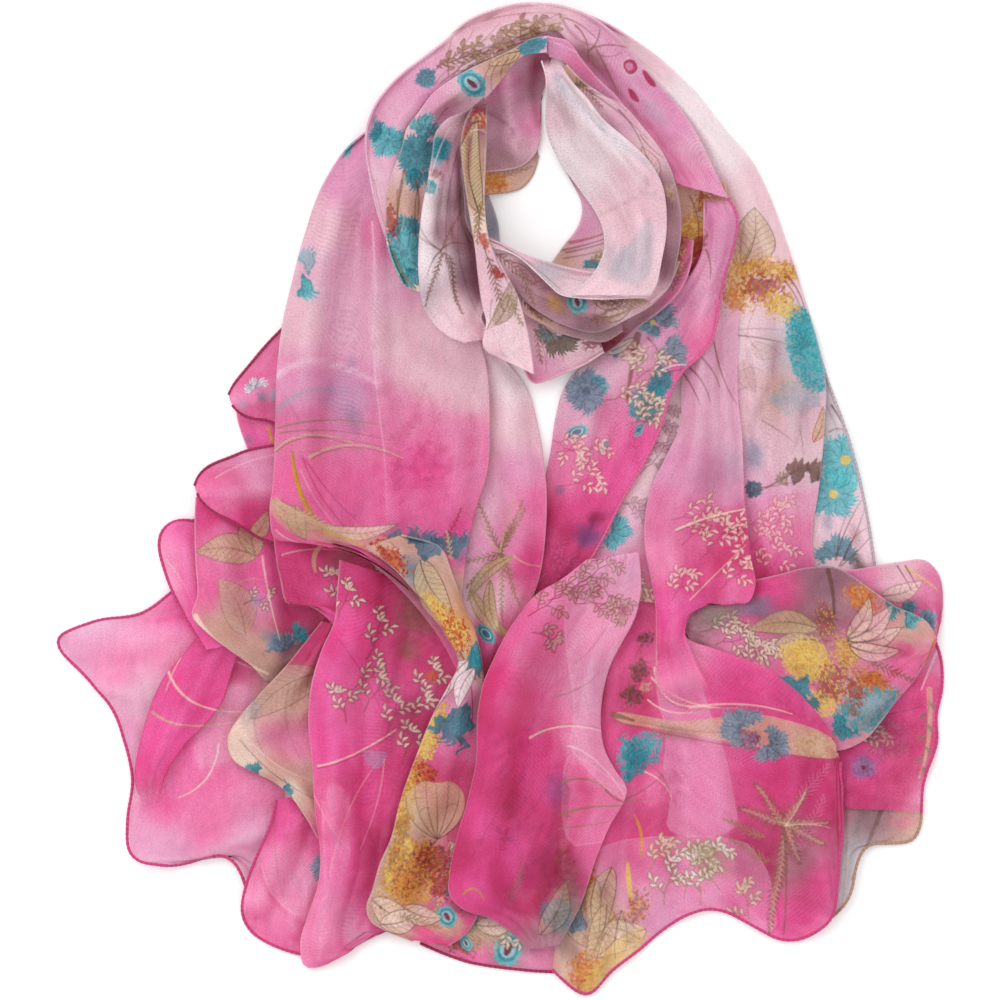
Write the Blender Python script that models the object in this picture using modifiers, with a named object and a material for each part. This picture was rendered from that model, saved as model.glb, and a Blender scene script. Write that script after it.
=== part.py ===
"""A long printed chiffon scarf, wound once into a neck ring and laid out with both tails fanned.

The cloth lies on the surface z = 0 and is seen from above. Every stretch of cloth that shows is a
thin wall lofted between a near edge and a far edge, draped over the stretches under it.
Units are metres, +Z is up, +Y runs from the fanned ends to the neck ring.
"""

import math
from dataclasses import dataclass

import bmesh
import bpy
import numpy as np

# Driving dimensions
LAID_LENGTH = 0.596         # from the top of the ring to the lowest corner of the tails
WALL = 0.0012               # thickness of the cloth wall
CLEARANCE = 0.0006          # air kept between one stretch and the next
ROLL_RADIUS = 0.0022        # inner radius of a folded edge
RING_ROLL_RADIUS = 0.0014   # the same where the turns of the ring are pressed together
LIP = 0.009                 # depth of cloth turned under at a folded edge
LIFT_REACH = 0.034          # how far in from a folded edge the cloth stays raised
CELL_TAIL = 0.0175          # spacing of the sections in the tails
CELL_RING = 0.0115          # spacing of the sections in the ring
DRAPE_SLOPE = 0.70          # steepest fall of cloth that hangs over an edge
HEM_WAVE_LENGTH = 0.046     # distance between the small waves of a free hem
CORE_HEIGHT = 0.013         # height of the hidden layers inside the ring

# The laying plan is drawn in steps, counted right and down from its corner.
PLAN_STEPS = 993
STEP = LAID_LENGTH / PLAN_STEPS
PLAN_MIDDLE_X = 502.8
PLAN_MIDDLE_Y = 497.5

# Height map used for draping
MAP_CELL = 0.0015           # size of a cell
MAP_HALF_X = 0.290          # half of the mapped ground, left to right
MAP_HALF_Y = 0.325          # the same along the scarf
SAMPLE = 0.0010             # spacing of the points that fill the map in
DILATE_CELLS = 3            # cells round a raised one that the cloth clears too
FALL_ROUNDS = 40            # cells that cloth may reach out over an edge
BLUR_PASSES = 2             # how often the draped surface is softened
PUSH_ROUNDS = 8             # tries to lift a wall clear of what it lies on
NEAR_SHARE = 0.6            # share of the clearance kept where a wall comes closest
SEAT_ROUNDS = 3             # tries to bring a wall down to that

# Shaping
RIDGE_SPREAD = 1.6          # how far a fold fades out, in its half widths
RIDGE_AT_TURN = 0.5         # share of a fold's height that reaches a rolled edge
LIP_SHARE = 0.42            # the most of the width that a turned lip may take
WIDTH_RANK = 70             # percentile of the widths that sets the number of columns
CURVE_SAMPLES = 60          # points between two rows when a curve is measured
MILLIMETRE = 0.001
HAIR = 1e-6                 # a height too small to matter

# Kinds of edge
HEM = "hem"      # a free rolled hem
FOLD = "fold"    # the cloth turns under
TUCK = "tuck"    # ends hidden between other stretches

BLUSH = (0.85, 0.55, 0.66, 1.0)
ROSE = (0.83, 0.28, 0.48, 1.0)
HOT_PINK = (0.80, 0.12, 0.36, 1.0)
MAGENTA = (0.62, 0.06, 0.24, 1.0)
GOLD = (0.78, 0.46, 0.18, 1.0)
CREAM = (0.86, 0.68, 0.68, 1.0)
SHEER = (0.84, 0.66, 0.70, 1.0)


@dataclass
class Stretch:
    """One stretch of cloth: rows of near x, near y, far x, far y in plan steps, and its folds."""
    name: str
    near: str
    far: str
    colour: tuple
    rows: tuple
    ridges: tuple = ()
    ring: bool = False
    wave: float = 0.0
    bed: float = 0.0


# Rows: near x, near y, far x, far y.  Ridges: x, y, x, y, half width, height in millimetres.
# Wave is the height of a hem's waves, and bed is how much deeper a stretch beds into the one under it.
STRETCHES = (
    Stretch("right_underlay", TUCK, HEM, SHEER, (
        (770, 335, 816, 340), (772, 385, 830, 385), (772, 430, 846, 428), (772, 475, 859, 475),
        (772, 520, 869, 525), (775, 565, 875, 567), (780, 600, 880, 600)),
        ridges=((845, 400, 862, 560, 14, 5),), wave=0.001),
    Stretch("left_wing", TUCK, HEM, ROSE, (
        (300, 570, 172, 592), (298, 590, 140, 614), (296, 610, 98, 621), (294, 635, 56, 640),
        (292, 660, 88, 680), (290, 685, 110, 706), (288, 715, 124, 742), (286, 745, 132, 780),
        (284, 775, 127, 820), (284, 800, 131, 856), (286, 825, 160, 866), (290, 850, 204, 859),
        (295, 870, 224, 856), (300, 885, 240, 872), (305, 900, 247, 892)),
        ridges=((235, 640, 80, 640, 22, 6), (240, 690, 110, 690, 16, 4), (262, 790, 150, 850, 26, 8),
                (262, 835, 205, 852, 12, 5)), wave=0.003),
    Stretch("wing_pleat", FOLD, FOLD, HOT_PINK, (
        (205, 628, 245, 635), (184, 655, 232, 668), (163, 680, 222, 700), (149, 713, 204, 724),
        (139, 750, 184, 744), (135, 780, 166, 772), (144, 806, 156, 806)),
        ridges=((196, 690, 160, 760, 14, 4),)),
    Stretch("ruffle_low", TUCK, HEM, ROSE, (
        (262, 505, 200, 523), (262, 515, 180, 519), (262, 530, 163, 529), (262, 545, 158, 542),
        (262, 565, 162, 565), (262, 590, 172, 592), (262, 615, 188, 622), (262, 640, 205, 650)),
        ridges=((176, 530, 200, 610, 12, 6), (205, 540, 225, 620, 10, 3)), wave=0.002),
    Stretch("low_lobe", TUCK, HEM, ROSE, (
        (335, 790, 276, 800), (335, 812, 270, 825), (335, 835, 258, 852), (335, 858, 246, 885),
        (335, 880, 242, 915), (335, 900, 250, 932), (335, 920, 270, 945), (335, 938, 300, 955),
        (336, 948, 318, 957)),
        ridges=((300, 820, 255, 905, 15, 8), (320, 870, 290, 930, 14, 6)), wave=0.002),
    Stretch("leaf_lobe", TUCK, FOLD, ROSE, (
        (300, 500, 196, 497), (300, 520, 195, 522), (300, 545, 196, 560), (302, 565, 198, 598),
        (305, 580, 193, 616), (308, 590, 207, 631), (312, 598, 230, 649), (316, 604, 252, 665),
        (320, 610, 270, 682), (326, 614, 290, 664), (332, 618, 310, 642)),
        ridges=((225, 530, 228, 620, 18, 6), (260, 560, 280, 640, 12, 4))),
    Stretch("corner_low", TUCK, HEM, SHEER, (
        (805, 780, 922, 805), (805, 800, 922, 822), (805, 820, 914, 841), (805, 840, 890, 845),
        (805, 860, 867, 847), (805, 880, 856, 868), (805, 895, 852, 892), (805, 905, 845, 906),
        (805, 915, 832, 918)),
        ridges=((850, 810, 850, 900, 14, 6),), wave=0.002),
    Stretch("corner_mid", TUCK, HEM, HOT_PINK, (
        (812, 640, 932, 632), (812, 660, 941, 655), (812, 685, 943, 685), (812, 710, 937, 717),
        (812, 735, 938, 742), (812, 760, 928, 770), (812, 785, 923, 790), (812, 806, 922, 813)),
        ridges=((850, 700, 925, 690, 14, 6), (850, 770, 925, 760, 18, 5)), wave=0.002),
    Stretch("corner_curl", FOLD, TUCK, ROSE, (
        (840, 572, 840, 600), (858, 570, 850, 610), (875, 567, 862, 615), (900, 563, 880, 622),
        (927, 562, 905, 630), (939, 575, 922, 632), (943, 600, 932, 635), (941, 622, 936, 640)),
        ridges=((880, 585, 930, 590, 14, 4),)),
    Stretch("beige_lobe", FOLD, TUCK, GOLD, (
        (322, 622, 345, 625), (300, 650, 345, 650), (285, 668, 345, 670), (258, 697, 345, 690),
        (238, 720, 345, 712), (228, 739, 345, 735), (234, 760, 345, 760), (255, 772, 345, 780),
        (275, 782, 345, 800), (292, 797, 345, 815), (306, 817, 345, 830), (318, 838, 345, 845)),
        ridges=((320, 700, 245, 735, 16, 5), (325, 760, 270, 770, 12, 4))),
    Stretch("ruffle_neck", FOLD, TUCK, HOT_PINK, (
        (236, 404, 300, 400), (238, 420, 300, 420), (243, 436, 300, 440), (250, 453, 300, 460),
        (262, 478, 300, 480), (272, 505, 300, 505))),
    Stretch("ruffle_mid", HEM, HEM, ROSE, (
        (195, 486, 197, 494), (198, 477, 203, 503), (209, 466, 217, 514), (228, 458, 236, 523),
        (248, 450, 256, 537), (275, 445, 280, 545), (300, 440, 305, 548)),
        ridges=((205, 488, 280, 490, 18, 9),), wave=0.001),
    Stretch("ruffle_top", HEM, HEM, ROSE, (
        (229, 395, 232, 405), (233, 386, 240, 413), (246, 369, 252, 418), (262, 349, 266, 420),
        (281, 329, 282, 427), (300, 312, 300, 430)),
        ridges=((238, 398, 295, 375, 18, 8),), wave=0.001),
    Stretch("left_under", FOLD, TUCK, MAGENTA, (
        (274, 500, 400, 520), (275, 545, 400, 560), (281, 580, 400, 590), (288, 603, 395, 610),
        (303, 603, 390, 625), (320, 611, 385, 635), (334, 624, 380, 645), (345, 640, 378, 655)),
        ridges=((300, 560, 380, 600, 20, 4),)),
    Stretch("pink_lobe", FOLD, TUCK, HOT_PINK, (
        (340, 560, 462, 600), (338, 590, 466, 625), (335, 622, 470, 650), (323, 649, 468, 675),
        (312, 685, 460, 705), (309, 721, 452, 735), (313, 765, 442, 765), (316, 810, 432, 800),
        (321, 850, 424, 830), (319, 884, 418, 855), (309, 915, 412, 880), (301, 944, 408, 900),
        (306, 967, 404, 915), (325, 965, 400, 924), (345, 946, 397, 930), (364, 933, 395, 932)),
        ridges=((350, 650, 330, 820, 20, 9), (330, 830, 325, 940, 16, 8), (380, 700, 350, 900, 18, 5),
                (410, 720, 375, 880, 14, 4))),
    Stretch("hem_band", TUCK, HEM, GOLD, (
        (430, 885, 420, 944), (445, 885, 440, 953), (460, 885, 465, 962), (480, 885, 490, 967),
        (500, 890, 515, 970), (520, 900, 535, 972), (545, 908, 561, 973)), wave=0.001),
    Stretch("neck_inner_right", FOLD, TUCK, ROSE, (
        (560, 158, 600, 150), (572, 180, 615, 175), (582, 200, 625, 200), (583, 214, 628, 225),
        (577, 230, 625, 250), (566, 244, 615, 270), (553, 262, 600, 285)), ring=True),
    Stretch("neck_inner_left", FOLD, TUCK, SHEER, (
        (484, 188, 465, 188), (491, 203, 465, 205), (497, 222, 465, 222), (499, 240, 468, 240),
        (500, 252, 472, 262)), ring=True),
    Stretch("pouch_flap", TUCK, HEM, GOLD, (
        (484, 150, 484, 194), (497, 150, 497, 193), (510, 148, 511, 191), (522, 140, 524, 186),
        (531, 130, 534, 172), (534, 120, 539, 155)), ring=True),
    Stretch("pouch", TUCK, HEM, ROSE, (
        (484, 80, 485, 171), (489, 66, 500, 170), (497, 58, 515, 167), (510, 52, 528, 160),
        (525, 49, 538, 148), (540, 50, 540, 122), (552, 56, 540, 104)), ring=True,
        ridges=((505, 70, 515, 150, 12, 6),)),
    Stretch("right_veil", TUCK, FOLD, SHEER, (
        (545, 36, 552, 6), (583, 50, 596, 18), (620, 70, 652, 52), (650, 95, 694, 90),
        (676, 128, 725, 129), (694, 165, 752, 161), (705, 205, 772, 202), (710, 250, 788, 248),
        (710, 295, 803, 294), (705, 335, 816, 337), (700, 380, 825, 378), (700, 430, 824, 430),
        (705, 480, 819, 485), (715, 525, 812, 535), (728, 556, 814, 562), (738, 576, 820, 582),
        (746, 590, 816, 601), (752, 598, 796, 611), (757, 603, 772, 612)),
        ridges=((700, 120, 770, 260, 18, 5), (780, 260, 790, 460, 18, 5), (745, 420, 780, 590, 16, 6))),
    Stretch("pocket", TUCK, FOLD, GOLD, (
        (668, 168, 724, 183), (676, 200, 728, 205), (680, 225, 722, 228), (682, 250, 708, 250),
        (678, 272, 690, 275)), ring=True),
    Stretch("gold_lobe", FOLD, FOLD, GOLD, (
        (684, 622, 686, 634), (697, 600, 702, 655), (740, 585, 745, 690), (780, 575, 790, 720),
        (811, 568, 820, 744), (838, 569, 840, 750), (858, 581, 857, 744), (879, 596, 870, 735),
        (897, 608, 882, 720), (912, 614, 895, 702), (927, 623, 914, 680), (937, 640, 928, 658)),
        ridges=((830, 610, 900, 640, 18, 6), (810, 660, 870, 700, 18, 5), (720, 640, 800, 660, 14, 3))),
    Stretch("lower_flap", TUCK, TUCK, MAGENTA, (
        (716, 655, 745, 662), (720, 690, 788, 695), (724, 740, 828, 745), (728, 800, 832, 800),
        (735, 855, 831, 850), (745, 900, 824, 900), (762, 922, 812, 925))),
    Stretch("right_lower", TUCK, HEM, HOT_PINK, (
        (585, 700, 553, 970), (590, 680, 568, 985), (598, 665, 586, 996), (606, 640, 608, 975),
        (618, 614, 640, 950), (635, 598, 672, 924), (652, 600, 698, 911), (670, 620, 723, 911),
        (690, 640, 755, 927), (715, 649, 781, 940), (742, 659, 806, 938), (768, 670, 832, 918),
        (790, 686, 838, 880), (808, 703, 842, 830), (824, 722, 842, 785), (835, 742, 840, 762)),
        ridges=((660, 690, 650, 900, 22, 9), (610, 790, 590, 970, 18, 8), (700, 720, 730, 890, 20, 7),
                (790, 730, 790, 910, 18, 7), (640, 850, 690, 900, 14, 5)), wave=0.003),
    Stretch("right_pale", TUCK, TUCK, BLUSH, (
        (640, 360, 700, 350), (620, 400, 705, 400), (600, 450, 700, 450), (585, 500, 690, 500),
        (578, 540, 680, 545), (580, 572, 672, 585), (590, 592, 668, 606)),
        ridges=((655, 450, 620, 580, 16, 5),)),
    Stretch("right_front", FOLD, TUCK, ROSE, (
        (690, 330, 740, 300), (683, 374, 738, 350), (682, 400, 738, 400), (682, 422, 742, 433),
        (668, 455, 744, 470), (654, 483, 745, 500), (646, 517, 748, 530), (646, 548, 752, 560),
        (651, 575, 756, 585), (655, 596, 748, 603), (657, 615, 716, 603), (657, 635, 694, 612),
        (657, 655, 685, 632), (657, 672, 692, 652), (660, 690, 703, 676), (669, 704, 714, 698)),
        ridges=((705, 350, 690, 520, 14, 7), (725, 380, 730, 520, 12, 5), (672, 500, 668, 640, 14, 7),
                (700, 520, 690, 590, 14, 5), (735, 520, 720, 590, 12, 4))),
    Stretch("right_band", FOLD, HEM, HOT_PINK, (
        (704, 198, 728, 198), (704, 225, 736, 214), (703, 250, 734, 242), (688, 280, 724, 276),
        (662, 309, 718, 308), (640, 326, 712, 338), (610, 347, 698, 358), (583, 366, 684, 370),
        (566, 387, 672, 390), (557, 416, 662, 425), (551, 455, 645, 462), (541, 500, 622, 500),
        (528, 550, 598, 548), (512, 600, 572, 590), (500, 640, 545, 635)),
        ridges=((720, 225, 700, 330, 14, 8), (660, 345, 600, 400, 16, 6), (640, 400, 590, 520, 16, 6),
                (590, 400, 570, 520, 14, 5))),
    Stretch("left_edge_flap", TUCK, TUCK, MAGENTA, (
        (537, 470, 541, 474), (530, 490, 541, 492), (519, 528, 541, 522), (511, 568, 538, 552),
        (507, 605, 527, 597), (505, 636, 510, 634))),
    Stretch("left_back", TUCK, FOLD, BLUSH, (
        (380, 150, 450, 200), (350, 200, 455, 260), (330, 250, 470, 310), (315, 300, 498, 352),
        (305, 350, 526, 388), (302, 400, 538, 430), (302, 450, 544, 470), (310, 500, 546, 500),
        (345, 540, 543, 552), (400, 590, 533, 595), (440, 640, 512, 640), (462, 680, 498, 678)),
        ridges=((510, 400, 515, 560, 16, 6), (500, 560, 490, 650, 14, 4))),
    Stretch("left_front", FOLD, FOLD, ROSE, (
        (376, 124, 420, 115), (347, 148, 425, 150), (323, 185, 430, 190), (306, 232, 438, 240),
        (291, 288, 452, 290), (282, 330, 475, 330), (278, 365, 485, 362), (276, 420, 489, 427),
        (274, 481, 486, 475), (271, 517, 473, 517), (276, 538, 467, 545), (300, 541, 464, 570),
        (330, 543, 461, 600), (360, 552, 459, 625), (393, 572, 457, 645)),
        ridges=((373, 230, 378, 380, 12, 6), (380, 390, 392, 520, 12, 5), (330, 220, 300, 400, 22, 7),
                (300, 420, 300, 520, 18, 5), (440, 350, 450, 500, 24, 8), (420, 270, 415, 380, 14, 4))),
    Stretch("gold_panel", FOLD, FOLD, GOLD, (
        (366, 547, 402, 535), (392, 566, 440, 548), (413, 588, 452, 575), (430, 608, 463, 605),
        (446, 634, 474, 630), (459, 662, 481, 660), (447, 690, 484, 690), (435, 712, 487, 712),
        (417, 756, 491, 750), (401, 801, 488, 800), (391, 840, 482, 840), (380, 865, 478, 870),
        (373, 890, 478, 892), (367, 908, 478, 908), (371, 921, 474, 922), (385, 930, 464, 935),
        (412, 941, 448, 946)),
        ridges=((455, 600, 470, 670, 9, 4), (460, 700, 440, 800, 14, 6), (420, 800, 405, 900, 14, 5))),
    Stretch("centre_flap", TUCK, TUCK, MAGENTA, (
        (547, 597, 562, 600), (514, 636, 566, 640), (492, 683, 571, 680), (486, 720, 571, 715),
        (485, 760, 565, 760), (477, 800, 561, 800), (465, 838, 560, 842), (458, 873, 562, 868),
        (462, 893, 565, 888))),
    Stretch("centre_lobe", FOLD, FOLD, HOT_PINK, (
        (588, 560, 638, 552), (562, 580, 640, 572), (538, 594, 640, 592), (520, 615, 634, 618),
        (506, 636, 621, 643), (494, 660, 609, 667), (484, 684, 602, 695), (478, 720, 600, 725),
        (477, 760, 604, 750), (469, 798, 614, 770), (458, 836, 626, 791), (450, 875, 607, 830),
        (451, 896, 594, 862), (464, 909, 587, 885), (488, 917, 580, 905), (510, 931, 570, 925),
        (530, 950, 560, 945)),
        ridges=((540, 620, 500, 700, 26, 10), (510, 700, 480, 880, 26, 11), (560, 740, 530, 860, 22, 7),
                (590, 660, 590, 780, 12, 5), (570, 860, 540, 920, 14, 5))),
    Stretch("ring_under_band", TUCK, FOLD, ROSE, (
        (530, 335, 541, 379), (560, 330, 581, 366), (590, 325, 612, 349), (620, 312, 638, 327),
        (645, 298, 662, 309), (660, 280, 680, 290), (666, 255, 690, 266), (668, 232, 693, 240)),
        ring=True),
    Stretch("outer_turn", FOLD, FOLD, BLUSH, (
        (386, 238, 389, 241), (378, 213, 388, 220), (371, 182, 389, 190), (366, 150, 395, 168),
        (367, 128, 402, 148), (375, 106, 407, 130), (388, 88, 418, 115), (405, 71, 432, 97),
        (425, 56, 447, 84), (447, 39, 466, 69), (467, 21, 492, 58), (495, 9, 506, 52),
        (520, 4, 528, 41), (540, 4, 545, 32), (560, 6, 558, 32), (588, 16, 568, 43),
        (616, 36, 580, 61), (639, 62, 597, 80), (657, 85, 611, 99), (675, 104, 622, 118),
        (694, 130, 636, 138), (708, 158, 652, 156), (718, 180, 670, 170), (727, 199, 677, 184)),
        ring=True,
        ridges=((395, 130, 440, 70, 14, 5), (460, 45, 540, 18, 12, 5), (600, 45, 690, 150, 14, 6))),
    Stretch("thin_strip", FOLD, TUCK, ROSE, (
        (547, 38, 549, 57), (566, 42, 563, 62), (582, 62, 578, 76), (598, 80, 592, 92),
        (614, 95, 606, 101), (627, 111, 618, 109)), ring=True),
    Stretch("second_turn", FOLD, TUCK, BLUSH, (
        (547, 38, 547, 54), (530, 41, 524, 57), (514, 50, 511, 68), (499, 57, 500, 82),
        (483, 64, 488, 96), (466, 72, 470, 112), (448, 83, 450, 121), (434, 94, 437, 132),
        (419, 114, 433, 150), (408, 129, 432, 165), (403, 147, 430, 180), (393, 174, 427, 195),
        (388, 190, 425, 210), (387, 215, 423, 235), (387, 240, 422, 258), (393, 262, 422, 278),
        (404, 286, 424, 294)), ring=True, bed=0.0009,
        ridges=((405, 180, 405, 260, 10, 5), (440, 105, 500, 68, 9, 4))),
    Stretch("left_fold", FOLD, FOLD, CREAM, (
        (484, 98, 486, 108), (466, 112, 478, 117), (447, 121, 470, 128), (437, 133, 463, 142),
        (433, 155, 462, 167), (429, 180, 465, 195), (424, 205, 467, 222), (420, 243, 480, 250),
        (420, 278, 485, 280), (424, 305, 487, 303), (434, 323, 481, 318), (448, 336, 486, 329),
        (465, 343, 486, 339)), ring=True,
        ridges=((430, 200, 428, 290, 8, 6), (456, 150, 459, 230, 6, 2), (450, 270, 460, 320, 9, 4))),
    Stretch("bottom_fold", TUCK, FOLD, ROSE, (
        (512, 300, 520, 360), (525, 305, 533, 382), (540, 312, 547, 380), (558, 320, 563, 373),
        (578, 328, 583, 365), (598, 334, 604, 352)), ring=True,
        ridges=((535, 330, 545, 370, 8, 3),)),
    Stretch("inner_strip", TUCK, FOLD, CREAM, (
        (503, 262, 500, 285), (515, 278, 510, 298), (530, 295, 522, 312), (548, 308, 540, 322),
        (562, 318, 562, 333), (580, 322, 585, 339), (602, 322, 605, 341), (620, 314, 622, 331)),
        ring=True),
    Stretch("eye_turn", TUCK, FOLD, CREAM, (
        (490, 238, 492, 262), (510, 250, 508, 280), (530, 262, 528, 303), (548, 275, 550, 318),
        (568, 285, 570, 327), (596, 288, 596, 332), (625, 285, 628, 318), (648, 272, 653, 303),
        (660, 258, 668, 287), (664, 242, 679, 262)), ring=True),
    Stretch("second_right", TUCK, FOLD, CREAM, (
        (556, 72, 566, 66), (566, 88, 582, 82), (580, 105, 604, 97), (597, 120, 622, 106),
        (612, 135, 644, 130), (625, 150, 657, 146), (635, 165, 667, 163), (642, 185, 675, 186),
        (646, 205, 680, 212), (646, 228, 680, 236), (643, 250, 676, 260), (636, 272, 668, 287),
        (628, 288, 650, 303)), ring=True),
    Stretch("pale_neck_band", FOLD, HEM, CREAM, (
        (484, 238, 487, 247), (500, 244, 513, 255), (522, 255, 535, 273), (551, 264, 549, 286),
        (580, 271, 562, 296), (600, 274, 582, 299), (620, 275, 603, 300), (640, 270, 627, 298),
        (652, 262, 646, 298)), ring=True),
    Stretch("leaf_strip", FOLD, FOLD, GOLD, (
        (476, 104, 486, 104), (467, 120, 486, 120), (462, 138, 486, 138), (463, 165, 485, 165),
        (467, 196, 484, 196), (471, 220, 485, 220), (476, 250, 490, 246), (479, 278, 504, 272),
        (483, 306, 517, 297), (487, 322, 525, 325), (485, 349, 531, 355), (500, 358, 533, 374)),
        ring=True),
    Stretch("pale_turn", HEM, FOLD, CREAM, (
        (542, 62, 556, 60), (547, 79, 570, 82), (547, 100, 585, 98), (547, 126, 603, 121),
        (554, 148, 628, 142), (567, 170, 648, 162), (584, 193, 661, 185), (597, 212, 665, 205),
        (605, 235, 665, 235), (603, 258, 660, 263), (591, 278, 656, 283), (570, 296, 649, 296)),
        ring=True, bed=0.0005,
        ridges=((562, 90, 640, 175, 12, 5), (600, 180, 640, 230, 16, 4), (635, 190, 640, 280, 8, 3))),
)

# Hidden layers of the ring: middle x, middle y, half width
CORE_ROWS = (
    (556, 38, 9), (508, 60, 12), (458, 98, 16), (424, 150, 20), (414, 205, 20), (424, 258, 20),
    (458, 302, 19), (506, 322, 15), (560, 320, 13), (610, 306, 15), (646, 276, 14), (658, 234, 14),
    (654, 190, 14), (634, 150, 14), (604, 112, 14), (580, 70, 11))
CORE_SECTION = ((-1.0, 0.0), (-0.9, 0.45), (-0.5, 0.88), (0.0, 1.0), (0.5, 0.88), (0.9, 0.45), (1.0, 0.0))


def plan_point(x, y):
    """Gives a place on the laying plan in metres."""
    return (x - PLAN_MIDDLE_X) * STEP, (PLAN_MIDDLE_Y - y) * STEP


def smooth_rows(rows, spacing, closed=False):
    """Reads a smooth curve through table rows, at an even spacing along its middle."""
    table = np.array(rows, float)
    if closed:
        table = np.vstack([table[-1:], table, table[:2]])
    steps = np.sqrt((np.diff(table, axis=0) ** 2).sum(axis=1)) + 1e-9
    knots = np.concatenate([[0.0], np.cumsum(steps)])
    slopes = np.gradient(table, knots, axis=0)
    first, last = (1, len(table) - 2) if closed else (0, len(table) - 1)
    dense_t = np.linspace(knots[first], knots[last], CURVE_SAMPLES * (last - first) + 1)
    dense = hermite(table, slopes, knots, dense_t)
    runs = np.sqrt((np.diff(dense, axis=0) ** 2).sum(axis=1)) / math.sqrt(table.shape[1] / 2)
    along = np.concatenate([[0.0], np.cumsum(runs)])
    count = max(3, int(round(along[-1] / spacing)))
    wanted = np.linspace(0.0, along[-1], count + 1)
    if closed:
        wanted = wanted[:-1]
    return hermite(table, slopes, knots, np.interp(wanted, along, dense_t))


def hermite(table, slopes, knots, where):
    """Evaluates the cubic through the rows at the given knot values."""
    index = np.clip(np.searchsorted(knots, where, side="right") - 1, 0, len(knots) - 2)
    width = knots[index + 1] - knots[index]
    t = ((where - knots[index]) / width)[:, None]
    width = width[:, None]
    start, end = table[index], table[index + 1]
    rise_in, rise_out = slopes[index] * width, slopes[index + 1] * width
    return ((2 * t ** 3 - 3 * t ** 2 + 1) * start + (t ** 3 - 2 * t ** 2 + t) * rise_in
            + (3 * t ** 2 - 2 * t ** 3) * end + (t ** 3 - t ** 2) * rise_out)


class Drape:
    """A height map of everything laid so far."""

    def __init__(self):
        """Starts with the bare surface."""
        self.columns = int(2 * MAP_HALF_X / MAP_CELL) + 1
        self.lines = int(2 * MAP_HALF_Y / MAP_CELL) + 1
        self.top = np.zeros((self.lines, self.columns))

    def index(self, x, y):
        """Gives the cell of each point."""
        column = np.clip(((x + MAP_HALF_X) / MAP_CELL).round().astype(int), 0, self.columns - 1)
        line = np.clip(((y + MAP_HALF_Y) / MAP_CELL).round().astype(int), 0, self.lines - 1)
        return line, column

    def add(self, grid):
        """Raises the map to the highest points of a grid of points."""
        points = dense_points(grid)
        np.maximum.at(self.top, self.index(points[:, 0], points[:, 1]), points[:, 2])

    def support(self):
        """Gives the surface that soft cloth takes when laid on the map."""
        held = np.where(self.top > 0.0, self.top + CLEARANCE, 0.0)
        for _ in range(DILATE_CELLS):
            held = neighbours(held, 0.0)
        rounds = int(held.max() / (DRAPE_SLOPE * MAP_CELL)) + 1
        for _ in range(min(rounds, FALL_ROUNDS)):
            held = neighbours(held, DRAPE_SLOPE * MAP_CELL)
        for _ in range(BLUR_PASSES):
            held = blurred(held)
        return held

    def sample(self, field, x, y):
        """Reads a field between its cells."""
        u = np.clip((x + MAP_HALF_X) / MAP_CELL, 0, self.columns - 1.001)
        v = np.clip((y + MAP_HALF_Y) / MAP_CELL, 0, self.lines - 1.001)
        column, line = u.astype(int), v.astype(int)
        fx, fy = u - column, v - line
        low = field[line, column] * (1 - fx) + field[line, column + 1] * fx
        high = field[line + 1, column] * (1 - fx) + field[line + 1, column + 1] * fx
        return low * (1 - fy) + high * fy


def neighbours(field, fall):
    """Spreads each height to the cells beside it, less a fall."""
    padded = np.pad(field, 1, mode="edge")
    lines, columns = field.shape
    best = field.copy()
    for down in (0, 1, 2):
        for across in (0, 1, 2):
            reach = math.hypot(down - 1, across - 1)
            best = np.maximum(best, padded[down:down + lines, across:across + columns] - fall * reach)
    return best


def blurred(field):
    """Averages each cell with the two rings round it."""
    for axis in (0, 1):
        padded = np.pad(field, [(2, 2) if side == axis else (0, 0) for side in (0, 1)], mode="edge")
        size = field.shape[axis]
        field = sum(np.take(padded, range(start, start + size), axis=axis) for start in range(5)) / 5
    return field


def dense_points(grid):
    """Fills a grid of points in by straight lines, to about one sample a millimetre."""
    for axis in (0, 1):
        span = np.sqrt((np.diff(grid, axis=axis) ** 2).sum(axis=2)).max()
        pieces = max(1, int(math.ceil(span / SAMPLE)))
        size = grid.shape[axis]
        where = np.linspace(0, size - 1, pieces * (size - 1) + 1)
        low = np.clip(where.astype(int), 0, size - 2)
        part = where - low
        shape = (-1, 1, 1) if axis == 0 else (1, -1, 1)
        part = part.reshape(shape)
        grid = np.take(grid, low, axis=axis) * (1 - part) + np.take(grid, low + 1, axis=axis) * part
    return grid.reshape(-1, 3)


def grid_normals(grid):
    """Gives the unit normals of a grid of points, up on its upper side."""
    along = np.gradient(grid, axis=0)
    across = np.gradient(grid, axis=1)
    normal = np.cross(across, along)
    return normal / (np.linalg.norm(normal, axis=2, keepdims=True) + 1e-12)


def smooth_fall(distance, start, end):
    """Goes from 1 at start to 0 at end."""
    t = np.clip((distance - start) / (end - start), 0.0, 1.0)
    return 1.0 - t * t * (3.0 - 2.0 * t)


def ridge_height(stretch, x, y):
    """Adds up the folds of a stretch at each point."""
    total = np.zeros_like(x)
    for x0, y0, x1, y1, half_width, height in stretch.ridges:
        ax, ay = plan_point(x0, y0)
        bx, by = plan_point(x1, y1)
        length = (bx - ax) ** 2 + (by - ay) ** 2
        t = np.clip(((x - ax) * (bx - ax) + (y - ay) * (by - ay)) / length, 0.0, 1.0)
        distance = np.hypot(x - ax - t * (bx - ax), y - ay - t * (by - ay))
        reach = np.clip(distance / (half_width * RIDGE_SPREAD * STEP), 0.0, 1.0)
        total += height * MILLIMETRE * np.cos(reach * math.pi / 2) ** 2
    return total


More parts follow.
